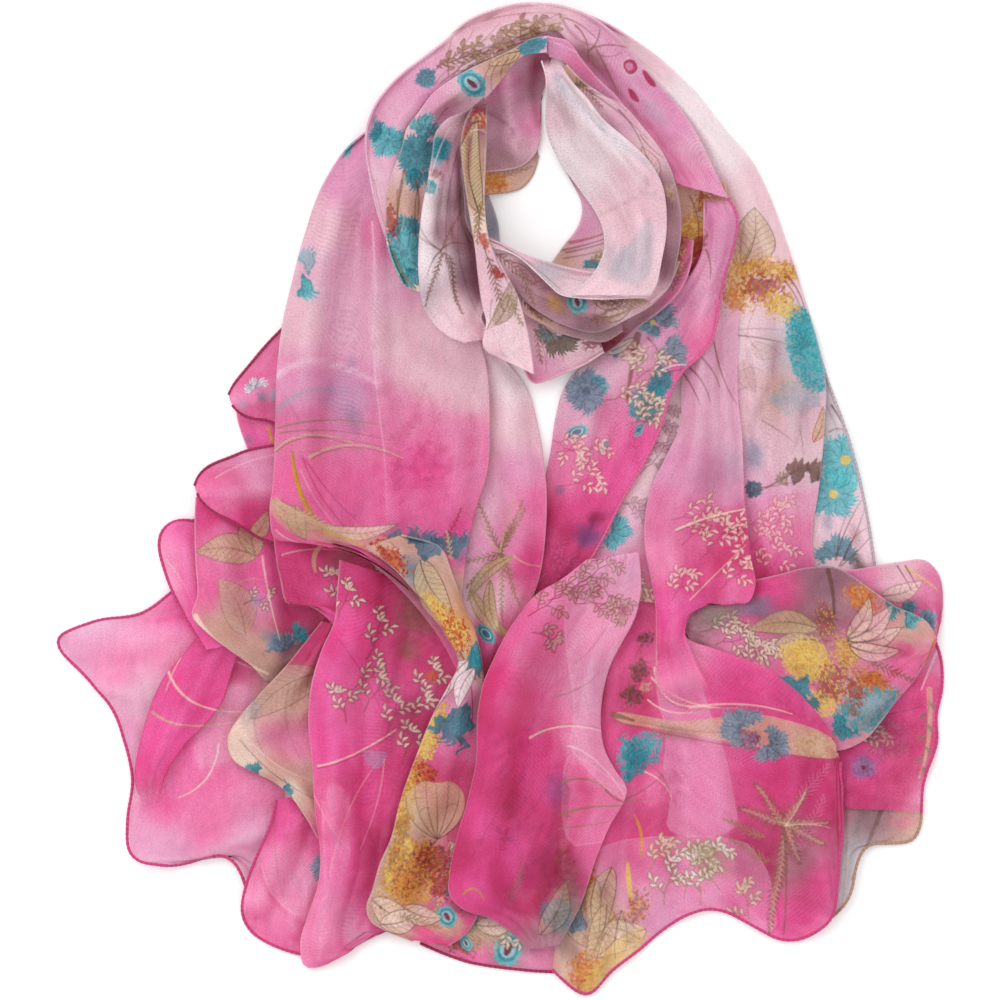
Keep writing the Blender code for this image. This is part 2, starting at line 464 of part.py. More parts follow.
def shell_grid(stretch, drape):
    """Works out the lower side of a stretch's wall, and which way its columns run."""
    spacing = CELL_RING if stretch.ring else CELL_TAIL
    radius = RING_ROLL_RADIUS if stretch.ring else ROLL_RADIUS
    rows = smooth_rows(stretch.rows, spacing / STEP)
    near = np.array(plan_point(rows[:, 0], rows[:, 1])).T
    far = np.array(plan_point(rows[:, 2], rows[:, 3])).T
    middle = len(near) // 2
    turn = np.cross(np.append(far[middle] - near[middle], 0), np.append(near[middle + 1] - near[middle], 0))
    if turn[2] < 0:
        near, far = near[::-1], far[::-1]
    width = np.linalg.norm(far - near, axis=1)
    direction = (far - near) / width[:, None]
    count = max(2, int(round(np.percentile(width, WIDTH_RANK) / spacing)))
    field = drape.support()

    # Places across: a share of the width plus a fixed inset, and the level inside a folded edge
    columns = [(share, 0.0, None) for share in np.linspace(0, 1, count + 1)]
    columns[0] = (0.0, (radius if stretch.near == FOLD else 0.0), None)
    columns[-1] = (1.0, -(radius if stretch.far == FOLD else 0.0), None)
    if stretch.near == FOLD:
        columns = [(0.0, LIP, "lip"), (0.0, WALL, "turn")] + columns
    if stretch.far == FOLD:
        columns = columns + [(1.0, -WALL, "turn"), (1.0, -LIP, "lip")]

    lift_top = WALL + 2 * radius
    inset_most = LIP_SHARE * width
    grid = np.zeros((len(near), len(columns), 3))
    for place, (share, inset, level) in enumerate(columns):
        inset_here = np.clip(inset, -inset_most, inset_most)
        offset = share * width + inset_here
        point = near + direction * offset[:, None]
        from_near, from_far = offset, width - offset
        if level is None:
            z = drape.sample(field, point[:, 0], point[:, 1])
            lift = np.zeros_like(z)
            for kind, distance in ((stretch.near, from_near), (stretch.far, from_far)):
                if kind == FOLD:
                    fall = smooth_fall(distance, LIP, LIFT_REACH)
                    lift = np.maximum(lift, lift_top * fall)
                if kind == HEM and stretch.wave:
                    along = np.cumsum(np.append(0, np.linalg.norm(np.diff(point, axis=0), axis=1)))
                    ripple = 0.5 + 0.5 * np.sin(2 * math.pi * along / HEM_WAVE_LENGTH)
                    lift = np.maximum(lift, stretch.wave * ripple * smooth_fall(distance, 0, LIFT_REACH))
            z = z + lift + ridge_height(stretch, point[:, 0], point[:, 1])
        else:
            sign = 1.0 if share == 0.0 else -1.0
            low = np.zeros(len(near))
            for depth in (0.0, 0.5 * LIP, LIP):
                spot = near + direction * (share * width + sign * np.minimum(depth, inset_most))[:, None]
                low = np.maximum(low, drape.sample(field, spot[:, 0], spot[:, 1]))
            edge = near + direction * (share * width)[:, None]
            relief = ridge_height(stretch, edge[:, 0], edge[:, 1])
            z = low + WALL + (radius + RIDGE_AT_TURN * relief if level == "turn" else 0.0)
        grid[:, place, :2] = point
        grid[:, place, 2] = z
    for side, fold in ((0, stretch.near == FOLD), (-1, stretch.far == FOLD)):
        if fold:
            top, lip = (2, 0) if side == 0 else (-3, -1)
            grid[:, top, 2] = np.maximum(grid[:, top, 2], grid[:, lip, 2] + 2 * radius)
    return grid


def shortfall(grid, drape):
    """Gives by how much each cell of a wall is too low; where the map is bare it gives minus infinity."""
    lowest = np.full_like(drape.top, np.inf)
    for side in (grid, grid + grid_normals(grid) * WALL):
        points = dense_points(side)
        np.minimum.at(lowest, drape.index(points[:, 0], points[:, 1]), points[:, 2])
    laid_on = drape.top > 0.0
    short = np.where(laid_on, drape.top + NEAR_SHARE * CLEARANCE, 0.0) - lowest
    return short, np.where(laid_on, short, -np.inf)


def lower(grid, drop):
    """Lowers a wall, but not what lies on the ground."""
    level = grid[:, :, 2]
    grid[:, :, 2] = np.maximum(level - drop, np.minimum(level, WALL))


def seat(grid, drape, bed):
    """Lowers a wall that touches nothing, until its closest place has only the clearance."""
    for _ in range(SEAT_ROUNDS):
        spare = -shortfall(grid, drape)[1].max()
        if not np.isfinite(spare) or spare < NEAR_SHARE * CLEARANCE:
            break
        lower(grid, spare)
        settle(grid, drape)
    lower(grid, bed)
    return grid


def settle(grid, drape):
    """Raises a wall until neither of its sides cuts what lies under it."""
    for _ in range(PUSH_ROUNDS):
        short = shortfall(grid, drape)[0]
        short[np.isinf(short)] = 0.0
        short[short < HAIR] = 0.0
        if not short.any():
            break
        spread = short
        for _ in range(int(CELL_RING / MAP_CELL)):
            spread = neighbours(spread, 0.0)
        grid[:, :, 2] += drape.sample(spread, grid[:, :, 0], grid[:, :, 1])
    return grid


def cloth_material(name, colour):
    """Makes the finish of one stretch."""
    material = bpy.data.materials.new(name + "_chiffon")
    material.use_nodes = True
    shader = material.node_tree.nodes["Principled BSDF"]
    shader.inputs["Base Color"].default_value = colour
    shader.inputs["Roughness"].default_value = 0.62
    shader.inputs["Metallic"].default_value = 0.0
    material.diffuse_color = colour
    return material


def add_object(name, points, faces, colour, collection):
    """Makes a mesh object from points and faces."""
    mesh = bpy.data.meshes.new(name)
    mesh.from_pydata([tuple(point) for point in points], [], faces)
    mesh.update()
    mesh.materials.append(cloth_material(name, colour))
    mesh.shade_smooth()
    piece = bpy.data.objects.new(name, mesh)
    collection.objects.link(piece)
    return piece


def add_stretch(stretch, drape, collection):
    """Drapes one stretch, makes its wall and adds it to the height map."""
    grid = seat(settle(shell_grid(stretch, drape), drape), drape, stretch.bed)
    lines, columns = grid.shape[:2]
    faces = []
    for line in range(lines - 1):
        for column in range(columns - 1):
            first = line * columns + column
            faces.append((first, first + 1, first + columns + 1, first + columns))
    piece = add_object(stretch.name, grid.reshape(-1, 3), faces, stretch.colour, collection)
    wall = piece.modifiers.new("wall", "SOLIDIFY")
    wall.thickness = WALL
    wall.offset = 1.0
    wall.use_even_offset = False
    drape.add(grid)
    drape.add(grid + grid_normals(grid) * WALL)
    return piece


def add_core(drape, collection):
    """Makes the rounded solid that stands for the hidden layers of the ring."""
    rows = smooth_rows(CORE_ROWS, CELL_RING / STEP, closed=True)
    middle = np.array(plan_point(rows[:, 0], rows[:, 1])).T
    half = rows[:, 2] * STEP
    tangent = np.roll(middle, -1, axis=0) - np.roll(middle, 1, axis=0)
    tangent /= np.linalg.norm(tangent, axis=1)[:, None]
    side = np.stack([-tangent[:, 1], tangent[:, 0]], axis=1)
    grid = np.zeros((len(middle), len(CORE_SECTION), 3))
    for place, (across, up) in enumerate(CORE_SECTION):
        grid[:, place, :2] = middle + side * (half * across)[:, None]
        grid[:, place, 2] = CORE_HEIGHT * up
    lines, columns = grid.shape[:2]
    faces = []
    for line in range(lines):
        following = (line + 1) % lines
        for column in range(columns):
            beside = (column + 1) % columns
            faces.append((line * columns + column, line * columns + beside,
                          following * columns + beside, following * columns + column))
    piece = add_object("ring_core", grid.reshape(-1, 3), faces, BLUSH, collection)
    work = bmesh.new()
    work.from_mesh(piece.data)
    bmesh.ops.recalc_face_normals(work, faces=work.faces)
    work.to_mesh(piece.data)
    work.free()
    drape.add(np.concatenate([grid, grid[:1]]))
    return piece


def build():
    """Clears the scene and builds the scarf from the bottom stretch to the top one."""
    for old in list(bpy.data.objects):
        bpy.data.objects.remove(old, do_unlink=True)
    collection = bpy.data.collections.new("chiffon_scarf")
    bpy.context.scene.collection.children.link(collection)
    drape = Drape()
    add_core(drape, collection)
    for stretch in STRETCHES:
        add_stretch(stretch, drape, collection)


build()
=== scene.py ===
"""The looks of a printed chiffon scarf, wound once into a neck ring with both tails fanned out.

Each stretch of cloth that shows is one thin sheet, draped over the sheets under it in the order in
which they lie. Its ground colours, its printed flowers and the painted shade and highlights of its
folds are laid on its points, which stand closer together where the print is fine. Metres, +Z up,
+Y from the fanned tails to the neck ring.
"""

import logging
import math
from dataclasses import dataclass, fields
from enum import Enum

import bpy
import numpy as np
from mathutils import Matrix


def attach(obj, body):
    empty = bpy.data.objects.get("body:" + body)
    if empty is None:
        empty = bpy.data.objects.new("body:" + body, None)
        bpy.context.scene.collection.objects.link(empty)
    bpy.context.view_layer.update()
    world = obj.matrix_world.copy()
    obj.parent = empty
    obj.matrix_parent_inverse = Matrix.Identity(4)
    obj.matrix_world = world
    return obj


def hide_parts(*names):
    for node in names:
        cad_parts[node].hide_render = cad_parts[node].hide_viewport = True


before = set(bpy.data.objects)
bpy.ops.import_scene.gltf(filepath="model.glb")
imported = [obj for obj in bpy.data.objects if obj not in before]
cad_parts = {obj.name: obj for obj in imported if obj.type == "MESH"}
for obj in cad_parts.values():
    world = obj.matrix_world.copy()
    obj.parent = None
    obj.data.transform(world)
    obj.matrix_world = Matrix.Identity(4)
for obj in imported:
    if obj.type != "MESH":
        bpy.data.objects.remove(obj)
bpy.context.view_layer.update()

log = logging.getLogger("chiffon_scarf")

# Driving dimensions, the same as the solids have
LAID_LENGTH = 0.596         # from the top of the ring to the lowest corner of the tails
WALL = 0.0012               # thickness of the solid wall that a sheet stands for
CLEARANCE = 0.0006          # air kept between one wall and the next
ROLL_RADIUS = 0.0022        # how far the two layers of a fold stand apart behind its edge, halved
RING_ROLL_RADIUS = 0.0014   # the same where the turns of the ring are pressed together
EDGE_RADIUS = 0.0006        # inner radius of the pressed edge of a fold
HUMP_REACH = 0.014          # how far behind its edge a fold stands highest
LIP = 0.009                 # depth of cloth turned under at a folded edge
LIFT_REACH = 0.034          # how far in from a folded edge the cloth stays raised
DRAPE_SLOPE = 0.70          # steepest fall of cloth that hangs over an edge
HEM_WAVE_LENGTH = 0.046     # distance between the small waves of a free hem
CORE_HEIGHT = 0.013         # height of the hidden layers inside the ring

# The laying plan is drawn in steps, counted right and down from its corner.
PLAN_STEPS = 993
STEP = LAID_LENGTH / PLAN_STEPS
PLAN_MIDDLE_X = 502.8
PLAN_MIDDLE_Y = 497.5
PLAN_SIZE = 1000

# Spacing of a sheet's points
CELL_TAIL = 0.0030          # in the tails
CELL_RING = 0.0024          # in the ring
PARTS_TAIL = 5              # parts that a cell is cut into where the print is fine
PARTS_RING = 4
SHARP_STEP = 0.062          # smallest step of colour inside a cell that needs the closer points

# Height map used for draping
MAP_CELL = 0.0015
MAP_HALF_X = 0.290
MAP_HALF_Y = 0.325
SAMPLE = 0.0010             # spacing of the points that fill the map in
DILATE_CELLS = 3            # cells round a raised one that the cloth clears too
FALL_ROUNDS = 40            # cells that cloth may reach out over an edge
BLUR_PASSES = 2             # how often the draped surface is softened
BLUR_CELLS = 2              # rings of cells round each one that a pass takes in
PUSH_ROUNDS = 8             # tries to lift a sheet clear of what it lies on
PUSH_CELLS = 2              # map cells that a push spreads over
NEAR_SHARE = 0.6            # share of the clearance kept where a sheet comes closest
SEAT_ROUNDS = 3             # tries to bring a sheet down to that
RIDGE_SPREAD = 1.6          # how far a fold fades out, in its half widths
LIP_SHARE = 0.42            # the most of the width that a turned lip may take
LIP_ANGLE = -120.0          # marks the points of a turned lip
MOST_NAMED = 4              # pieces under a sheet that are named at most
WIDTH_RANK = 70             # percentile of the widths that sets the number of columns
CURVE_SAMPLES = 60          # points between two rows when a curve is measured
MILLIMETRE = 0.001
HAIR = 1e-6                 # a height too small to matter
ROLL_ANGLES = (-90.0, -45.0, 0.0, 45.0)     # where the points round a folded edge stand


class Edge(Enum):
    """How an edge of a stretch is finished."""
    HEM = "free rolled hem"
    FOLD = "cloth turned under"
    TUCK = "hidden between other stretches"


class Dye(Enum):
    """Ground colours of the cloth, dyed from white through rose to magenta. Some are also laid as painted
    shade and painted highlights on folds.
    """
    WHITE = "F6E9ED"
    SHELL = "F2D3DB"
    BLUSH = "E9C2CE"
    PETAL = "E6B2CA"
    LILAC = "E39FC2"
    CANDY = "F49CC4"
    ROSE = "E585B0"
    PINK = "E873A8"
    NEON = "F06AAE"
    HOT = "E85C9F"
    FUCHSIA = "DE4C8D"
    CERISE = "CC4078"
    MAGENTA = "B63366"
    WINE = "8E2F4C"
    MAUVE = "B0828E"
    DUSK = "8F6472"
    SILVER = "CFC0C8"
    GREY = "B3A6B0"
    STEEL = "8E9AA6"
    SAND = "D3AC9C"
    BEIGE = "C49C86"
    APRICOT = "D9A070"
    IVORY = "EFDCCB"


class Ink(Enum):
    """Printing colours. Brown is also laid as painted shade in folds."""
    DEEP_LINE = "24505E"
    TEAL_DEEP = "1F7C8C"
    TEAL = "35A3AE"
    TEAL_PALE = "6CC6CC"
    SLATE = "5F7C92"
    BLUE_GREY = "92A9B6"
    LAVENDER = "A58FB4"
    PURPLE = "7F5288"
    BROWN = "8A5F4E"
    SEPIA = "664238"
    OLIVE = "94814F"
    MOSS = "6F7A62"
    BEIGE = "D3B995"
    CREAM = "F6DDCD"
    WHITE = "F7E9EE"
    GOLD = "CF9A3C"
    YELLOW = "E3C468"
    ORANGE = "CC6A2E"
    RED = "A92A36"
    WINE = "74203C"


def linear(colour: Dye | Ink) -> np.ndarray:
    """Turns an sRGB hex colour to linear light.

    Args:
        colour: A named colour.

    Returns:
        Its red, green and blue.
    """
    parts = np.array([int(colour.value[place:place + 2], 16) for place in (0, 2, 4)]) / 255.0
    return np.where(parts <= 0.04045, parts / 12.92, ((parts + 0.055) / 1.055) ** 2.4)


def plan_point(x: np.ndarray | float, y: np.ndarray | float) -> tuple:
    """Gives a place on the laying plan in metres."""
    return (x - PLAN_MIDDLE_X) * STEP, (PLAN_MIDDLE_Y - y) * STEP


def on_plan(points: np.ndarray) -> np.ndarray:
    """Gives places in metres as steps on the laying plan."""
    return np.stack([points[:, 0] / STEP + PLAN_MIDDLE_X, PLAN_MIDDLE_Y - points[:, 1] / STEP], axis=1)


def smooth_fall(distance: np.ndarray, start: float, end: float) -> np.ndarray:
    """Goes from 1 at start to 0 at end."""
    t = np.clip((distance - start) / (end - start), 0.0, 1.0)
    return 1.0 - t * t * (3.0 - 2.0 * t)


def waver(phase: np.ndarray, seed: float) -> np.ndarray:
    """Gives an uneven wave between about -1 and 1.

    Args:
        phase: Where in the wave, in radians.
        seed: Any number, which picks the wave.

    Returns:
        The height at each place.
    """
    waves = ((1.0, 1.0), (0.55, 1.73), (0.35, 2.91))
    return sum(part * np.sin(pitch * phase + (1.0 + 1.1 * place) * seed)
               for place, (part, pitch) in enumerate(waves)) / 1.5


def mottle(x: np.ndarray, y: np.ndarray, size: float, seed: float) -> np.ndarray:
    """Gives soft irregular blots between 0 and 1.

    Args:
        x: Places to the right.
        y: Places down.
        size: Rough size of a blot, in the same units.
        seed: Any number, which picks the blots.

    Returns:
        The strength of the blots at each place.
    """
    total = np.zeros_like(x)
    for wave in range(MOTTLE_WAVES):
        angle = 1.7 * seed + 2.4 * wave
        pitch = 2 * math.pi * (0.6 + 0.33 * wave) / (2 * size)
        forward = x * math.cos(angle) + y * math.sin(angle)
        sideways = y * math.cos(angle) - x * math.sin(angle)
        sway = 1.6 * np.sin(0.63 * pitch * sideways + wave)
        total = total + np.sin(pitch * forward + 3.1 * seed * wave + sway)
    return 0.5 + 0.5 * np.tanh(total / 1.7)


# ---------------------------------------------------------------- the print

# Sizes of the print are in plan steps.
PRINT_EDGE = 0.9            # how far a printed edge fades
OUTLINE = 0.55              # half the width of a drawn line
BESIDE = 4.0                # how close to a line the points stand closer
CRISP_EDGE = 2.0            # widest edge of a patch that still needs closer points
MOTTLE_EDGE = 2.5           # how far the edge of a faded flower head fades
CURVE_PARTS = 20            # straight parts that a drawn curve is measured by
CORNER_CUTS = 2             # how often the corners of a patch are cut to round them
STEM = (-0.35, -0.35)       # the two radii of a stem that is only a drawn line
INK_BODY = 0.45             # how much of the light that dyed cloth lets through is stopped by full ink
MOTTLE_WAVES = 6            # waves that add up to soft blots


def inked(distance: np.ndarray, blur: float = PRINT_EDGE) -> np.ndarray:
    """Gives the cover of ink inside an outline.

    Args:
        distance: Distance outside the outline, negative inside.
        blur: How far its edge fades.

    Returns:
        The cover, from 0 to 1.
    """
    return np.clip(0.5 - distance / blur, 0.0, 1.0)


def turned(points: np.ndarray, x: float, y: float, turn: float) -> tuple[np.ndarray, np.ndarray]:
    """Gives how far points lie along and across a direction.

    Args:
        points: Places on the plan.
        x: Where the direction starts.
        y: The same, down.
        turn: Degrees from the right, clockwise on the plan.

    Returns:
        The distances along and across.
    """
    angle = math.radians(turn)
    cos, sin = math.cos(angle), math.sin(angle)
    right, down = points[:, 0] - x, points[:, 1] - y
    return right * cos + down * sin, down * cos - right * sin


def to_segments(points: np.ndarray, parts: np.ndarray) -> tuple[np.ndarray, np.ndarray]:
    """Measures points against straight parts with a radius at each end.

    Args:
        points: Places on the plan.
        parts: Rows of start x, start y, end x, end y, start radius, end radius.

    Returns:
        The distance outside the nearest part, and how far along the whole row of parts it is, from 0 to 1.
    """
    best = np.full(len(points), np.inf)
    place = np.zeros(len(points))
    for number, (ax, ay, bx, by, start, end) in enumerate(parts):
        run = max((bx - ax) ** 2 + (by - ay) ** 2, HAIR)
        t = np.clip(((points[:, 0] - ax) * (bx - ax) + (points[:, 1] - ay) * (by - ay)) / run, 0.0, 1.0)
        away = np.hypot(points[:, 0] - ax - t * (bx - ax), points[:, 1] - ay - t * (by - ay))
        away = away - start - t * (end - start)
        nearer = away < best
        best = np.where(nearer, away, best)
        place = np.where(nearer, (number + t) / len(parts), place)
    return best, place


class Cloth:
    """The colours of one sheet while they are painted on its points."""

    def __init__(self, points: np.ndarray, ground: np.ndarray, cover: np.ndarray) -> None:
        """Starts with the dyed ground.

        Args:
            points: Places on the plan.
            ground: Linear colour at each point.
            cover: Opacity at each point.
        """
        self.points = points
        self.colour = ground
        self.opacity = cover

    def near(self, x: float, y: float, reach: float) -> np.ndarray:
        """Gives the numbers of the points in a square round a place.

        Args:
            x: The place, to the right.
            y: The same, down.
            reach: Half the side of the square.

        Returns:
            The numbers.
        """
        across, down = np.abs(self.points[:, 0] - x), np.abs(self.points[:, 1] - y)
        return np.flatnonzero((across < reach) & (down < reach))

    def lay(self, where: np.ndarray, ink: Ink | Dye | np.ndarray, cover: np.ndarray) -> None:
        """Prints a colour over what is there.

        Args:
            where: Numbers of the points.
            ink: One colour, or one for each point.
            cover: How much of the cloth the ink covers at each point.
        """
        colour = linear(ink) if isinstance(ink, Enum) else ink
        cover = cover[:, None]
        self.colour[where] = self.colour[where] * (1 - cover) + colour * cover
        self.opacity[where] += (1 - self.opacity[where]) * INK_BODY * cover[:, 0]


@dataclass(frozen=True)
class Motif:
    """A printed shape at a place on the plan."""
    x: float
    y: float
    size: float

    crisp = True            # whether its lines need closer points

    def reach(self) -> float:
        """Gives how far the shape goes from its place."""
        return self.size * 1.15 + 2

    def middle(self) -> tuple[float, float]:
        """Gives the middle of the shape."""
        return self.x, self.y

    def touches(self, points: np.ndarray) -> np.ndarray:
        """Says which places the shape covers, or nearly."""
        x, y = self.middle()
        return np.hypot(points[:, 0] - x, points[:, 1] - y) < self.reach()

    def paint(self, cloth: Cloth) -> None:
        """Prints the shape on the points within its reach.

        Args:
            cloth: What the shape is printed on.
        """
        where = cloth.near(*self.middle(), self.reach())
        if len(where):
            self.draw(cloth, where, cloth.points[where])

    def draw(self, cloth: Cloth, where: np.ndarray, points: np.ndarray) -> None:
        """Prints the shape.

        Args:
            cloth: What it is printed on.
            where: Numbers of the points that it reaches.
            points: The places of these points on the plan.
        """
        raise NotImplementedError


def each(kind: type[Motif], rows: tuple[tuple, ...], **look: Ink | Dye | bool | None) -> tuple[Motif, ...]:
    """Gives one motif for each row of places and sizes.

    Args:
        kind: What is printed.
        rows: The first fields of each motif, down to the last one that isn't the usual one.
        look: The colours and flags that all of them share.

    Returns:
        The motifs.
    """
    return tuple(kind(*row, **look) for row in rows)


@dataclass(frozen=True)
class Grown(Motif):
    """A shape that grows from its place in one direction, as long as its size."""
    turn: float

    def middle(self) -> tuple[float, float]:
        """Gives the middle of the shape."""
        angle = math.radians(self.turn)
        return self.x + self.size / 2 * math.cos(angle), self.y + self.size / 2 * math.sin(angle)


@dataclass(frozen=True)
class Haze(Motif):
    """A soft blot of colour without lines; some blots are painted shade in folds."""
    cover: float = 0.35
    stretch: float = 1.0
    turn: float = 0.0
    ink: Ink | Dye = Ink.SLATE

    crisp = False

    def reach(self) -> float:
        """Gives how far the blot goes from its place."""
        return self.size * max(1.0, self.stretch) * 1.3

    def draw(self, cloth: Cloth, where: np.ndarray, points: np.ndarray) -> None:
        """Prints the blot, with uneven edges.

        Args:
            cloth: What it is printed on.
            where: Numbers of the points that it reaches.
            points: The places of these points on the plan.
        """
        along, across = turned(points, self.x, self.y, self.turn)
        away = np.hypot(along / (self.size * self.stretch), across / self.size)
        away = away + 0.25 * (mottle(points[:, 0], points[:, 1], self.size * 0.5, self.x) - 0.5)
        cloth.lay(where, self.ink, self.cover * smooth_fall(away, 0.25, 1.15))


@dataclass(frozen=True)
class Stroke(Motif):
    """A drawn line through three places, which tapers; its own place is the first. Some are painted shade and
    highlights on folds.
    """
    to: tuple[float, float, float, float]
    cover: float = 0.6
    ink: Ink | Dye = Ink.BROWN
    blade: bool = False         # whether it is narrow at both ends
    crisp_line: bool = True

    @property
    def crisp(self) -> bool:
        """Says whether the line needs closer points."""
        return self.crisp_line

    def parts(self) -> np.ndarray:
        """Gives the line as straight parts with radii.

        Returns:
            Rows of start x, start y, end x, end y, start radius, end radius.
        """
        t = np.linspace(0.0, 1.0, CURVE_PARTS + 1)[:, None]
        first, bend, last = np.array((self.x, self.y)), np.array(self.to[:2]), np.array(self.to[2:])
        spots = (1 - t) ** 2 * first + 2 * t * (1 - t) * bend + t ** 2 * last
        half = self.size * (np.sqrt(4 * t * (1 - t)) if self.blade else 1 - 0.6 * t) / 2
        return np.hstack([spots[:-1], spots[1:], half[:-1], half[1:]])

    def box(self) -> tuple[float, float, float, float]:
        """Gives the least and most x and the least and most y of the line's places."""
        xs, ys = (self.x, *self.to[0::2]), (self.y, *self.to[1::2])
        return min(xs), max(xs), min(ys), max(ys)

    def middle(self) -> tuple[float, float]:
        """Gives the middle of the line's box."""
        left, right, top, bottom = self.box()
        return (left + right) / 2, (top + bottom) / 2

    def reach(self) -> float:
        """Gives how far the line goes from the middle of its box."""
        left, right, top, bottom = self.box()
        return max(right - left, bottom - top) / 2 + self.size + 3

    def touches(self, points: np.ndarray) -> np.ndarray:
        """Says which places are beside the line."""
        return to_segments(points, self.parts())[0] < BESIDE

    def draw(self, cloth: Cloth, where: np.ndarray, points: np.ndarray) -> None:
        """Prints the line."""
        blur = PRINT_EDGE if self.crisp_line else self.size
        cloth.lay(where, self.ink, self.cover * inked(to_segments(points, self.parts())[0], blur))


@dataclass(frozen=True)
class Bloom(Motif):
    """A fringed cornflower, seen from above or, with a narrow sweep, from the side."""
    turn: float = 0.0
    sweep: float = 360.0        # degrees that its petals fill
    petals: int = 9
    cover: float = 0.9
    slim: float = 1.0           # how wide it is beside its length
    deep: Ink = Ink.TEAL_DEEP
    pale: Ink = Ink.TEAL
    heart: Ink | None = None

    def draw(self, cloth: Cloth, where: np.ndarray, points: np.ndarray) -> None:
        """Prints toothed petals, with dark lines between them and along them.

        Args:
            cloth: What it is printed on.
            where: Numbers of the points that it reaches.
            points: The places of these points on the plan.
        """
        along, across = turned(points, self.x, self.y, self.turn)
        across = across / self.slim
        away = np.hypot(along, across)
        seed = self.x * 0.37 + self.y * 0.11
        angle = np.arctan2(across, along) + 0.10 * np.sin(0.35 * away + seed)
        place = self.petals * angle / (2 * math.pi)
        number = np.round(place)
        beside = place - number
        length = 0.90 + 0.08 * np.sin(2.4 * number + seed)
        teeth = 0.91 + 0.09 * np.cos(2 * math.pi * 4 * beside)
        outside = away - self.size * length * teeth * (0.80 + 0.20 * (1 - np.abs(2 * beside) ** 3))
        if self.sweep < 360:
            wide = np.abs(angle) - math.radians(self.sweep / 2) * (0.93 + 0.07 * np.sin(away * 0.9 + seed))
            outside = np.maximum(outside, wide * np.maximum(away, 1.0))
        body = self.cover * inked(outside)
        streak = np.cos(4 * self.petals * angle + 2.0 * np.sin(0.3 * away + seed))
        tone = np.clip(0.42 + 0.55 * (mottle(points[:, 0], points[:, 1], 5.0, seed) - 0.5) + 0.24 * streak
                       + 0.35 * (away / self.size - 0.5), 0.0, 1.0)[:, None]
        colour = linear(self.deep) * (1 - tone) + linear(self.pale) * tone
        cloth.lay(where, colour, body)
        gap = np.abs(np.abs(beside) - 0.5) * away * 2 * math.pi / self.petals
        vein = np.abs(np.abs(beside) - 0.17) * away * 2 * math.pi / self.petals
        cloth.lay(where, Ink.DEEP_LINE, 0.65 * body * inked(gap - 0.50) * (away > 0.25 * self.size))
        cloth.lay(where, self.deep, 0.60 * body * inked(vein - 0.30) * (away > 0.35 * self.size))
        cloth.lay(where, Ink.DEEP_LINE, 0.40 * body * inked(away - 0.16 * self.size))
        if self.heart:
            cloth.lay(where, self.heart, 0.9 * inked(away - 0.15 * self.size))


@dataclass(frozen=True)
class Eye(Motif):
    """A round open flower with a ringed heart."""
    turn: float = 0.0
    slim: float = 1.0           # how wide it is beside its length
    slit: float = 1.0           # how narrow the heart is
    petal: Ink = Ink.TEAL
    heart: Ink = Ink.WINE

    def draw(self, cloth: Cloth, where: np.ndarray, points: np.ndarray) -> None:
        """Prints the petals, a pale ring and the heart.

        Args:
            cloth: What it is printed on.
            where: Numbers of the points that it reaches.
            points: The places of these points on the plan.
        """
        along, across = turned(points, self.x, self.y, self.turn)
        across = across / self.slim
        away = np.hypot(along, across)
        angle = np.arctan2(across, along)
        rim = self.size * (0.93 + 0.05 * np.sin(5 * angle + self.x) + 0.04 * np.sin(11 * angle))
        tone = np.clip(0.3 + 0.6 * mottle(points[:, 0], points[:, 1], 3.0, self.x), 0, 1)[:, None]
        colour = linear(self.petal) * (1 - tone) + linear(Ink.TEAL_PALE) * tone
        cloth.lay(where, colour, 0.9 * inked(away - rim))
        cloth.lay(where, Ink.TEAL_DEEP, 0.65 * inked(np.abs(away - 0.62 * self.size) - 0.10 * self.size))
        heart = np.hypot(along, across / self.slit)
        cloth.lay(where, Ink.WHITE, 0.45 * self.slit * inked(away - 0.50 * self.size))
        cloth.lay(where, self.heart, 0.95 * inked(heart - 0.40 * self.size))


@dataclass(frozen=True)
class Leaf(Grown):
    """A leaf with a rib and side veins."""
    wide: float = 9.0
    cover: float = 0.6
    veins: float = 6.5          # distance between them
    line_cover: float = 0.7
    fill: Ink | Dye = Ink.BEIGE
    line: Ink = Ink.SEPIA
    dots: bool = False

    def reach(self) -> float:
        """Gives how far the leaf goes from its middle."""
        return max(self.size / 2, self.wide) + 3

    def draw(self, cloth: Cloth, where: np.ndarray, points: np.ndarray) -> None:
        """Prints the blade, its outline, rib and veins.

        Args:
            cloth: What it is printed on.
            where: Numbers of the points that it reaches.
            points: The places of these points on the plan.
        """
        along, across = turned(points, self.x, self.y, self.turn)
        t = np.clip(along / self.size, 0.0, 1.0)
        across = across - 0.10 * self.size * np.sin(math.pi * t) * (1 if self.x % 2 < 1 else -1)
        half = self.wide * np.sin(math.pi * t ** 0.8) ** 0.85
        outside = np.maximum(np.abs(across) - half, np.abs(along - self.size / 2) - self.size / 2)
        body = inked(outside)
        faded = 0.8 + 0.3 * mottle(points[:, 0], points[:, 1], 5, self.y)
        cloth.lay(where, self.fill, self.cover * body * faded)
        vein = np.abs((((along - 0.85 * np.abs(across)) / self.veins) % 1.0) - 0.5) * self.veins
        cloth.lay(where, self.line, self.line_cover * 0.8 * body * inked(vein - 0.35))
        if self.dots:
            spots = np.sin(along * 2.0) * np.sin(across * 2.0)
            cloth.lay(where, self.line, self.line_cover * 0.55 * body * np.clip(spots * 3 - 0.8, 0, 1))
        cloth.lay(where, self.line, self.line_cover * body * inked(np.abs(across) - 0.7 * (1.2 - t)))
        cloth.lay(where, self.line, self.line_cover * inked(np.abs(outside) - OUTLINE))


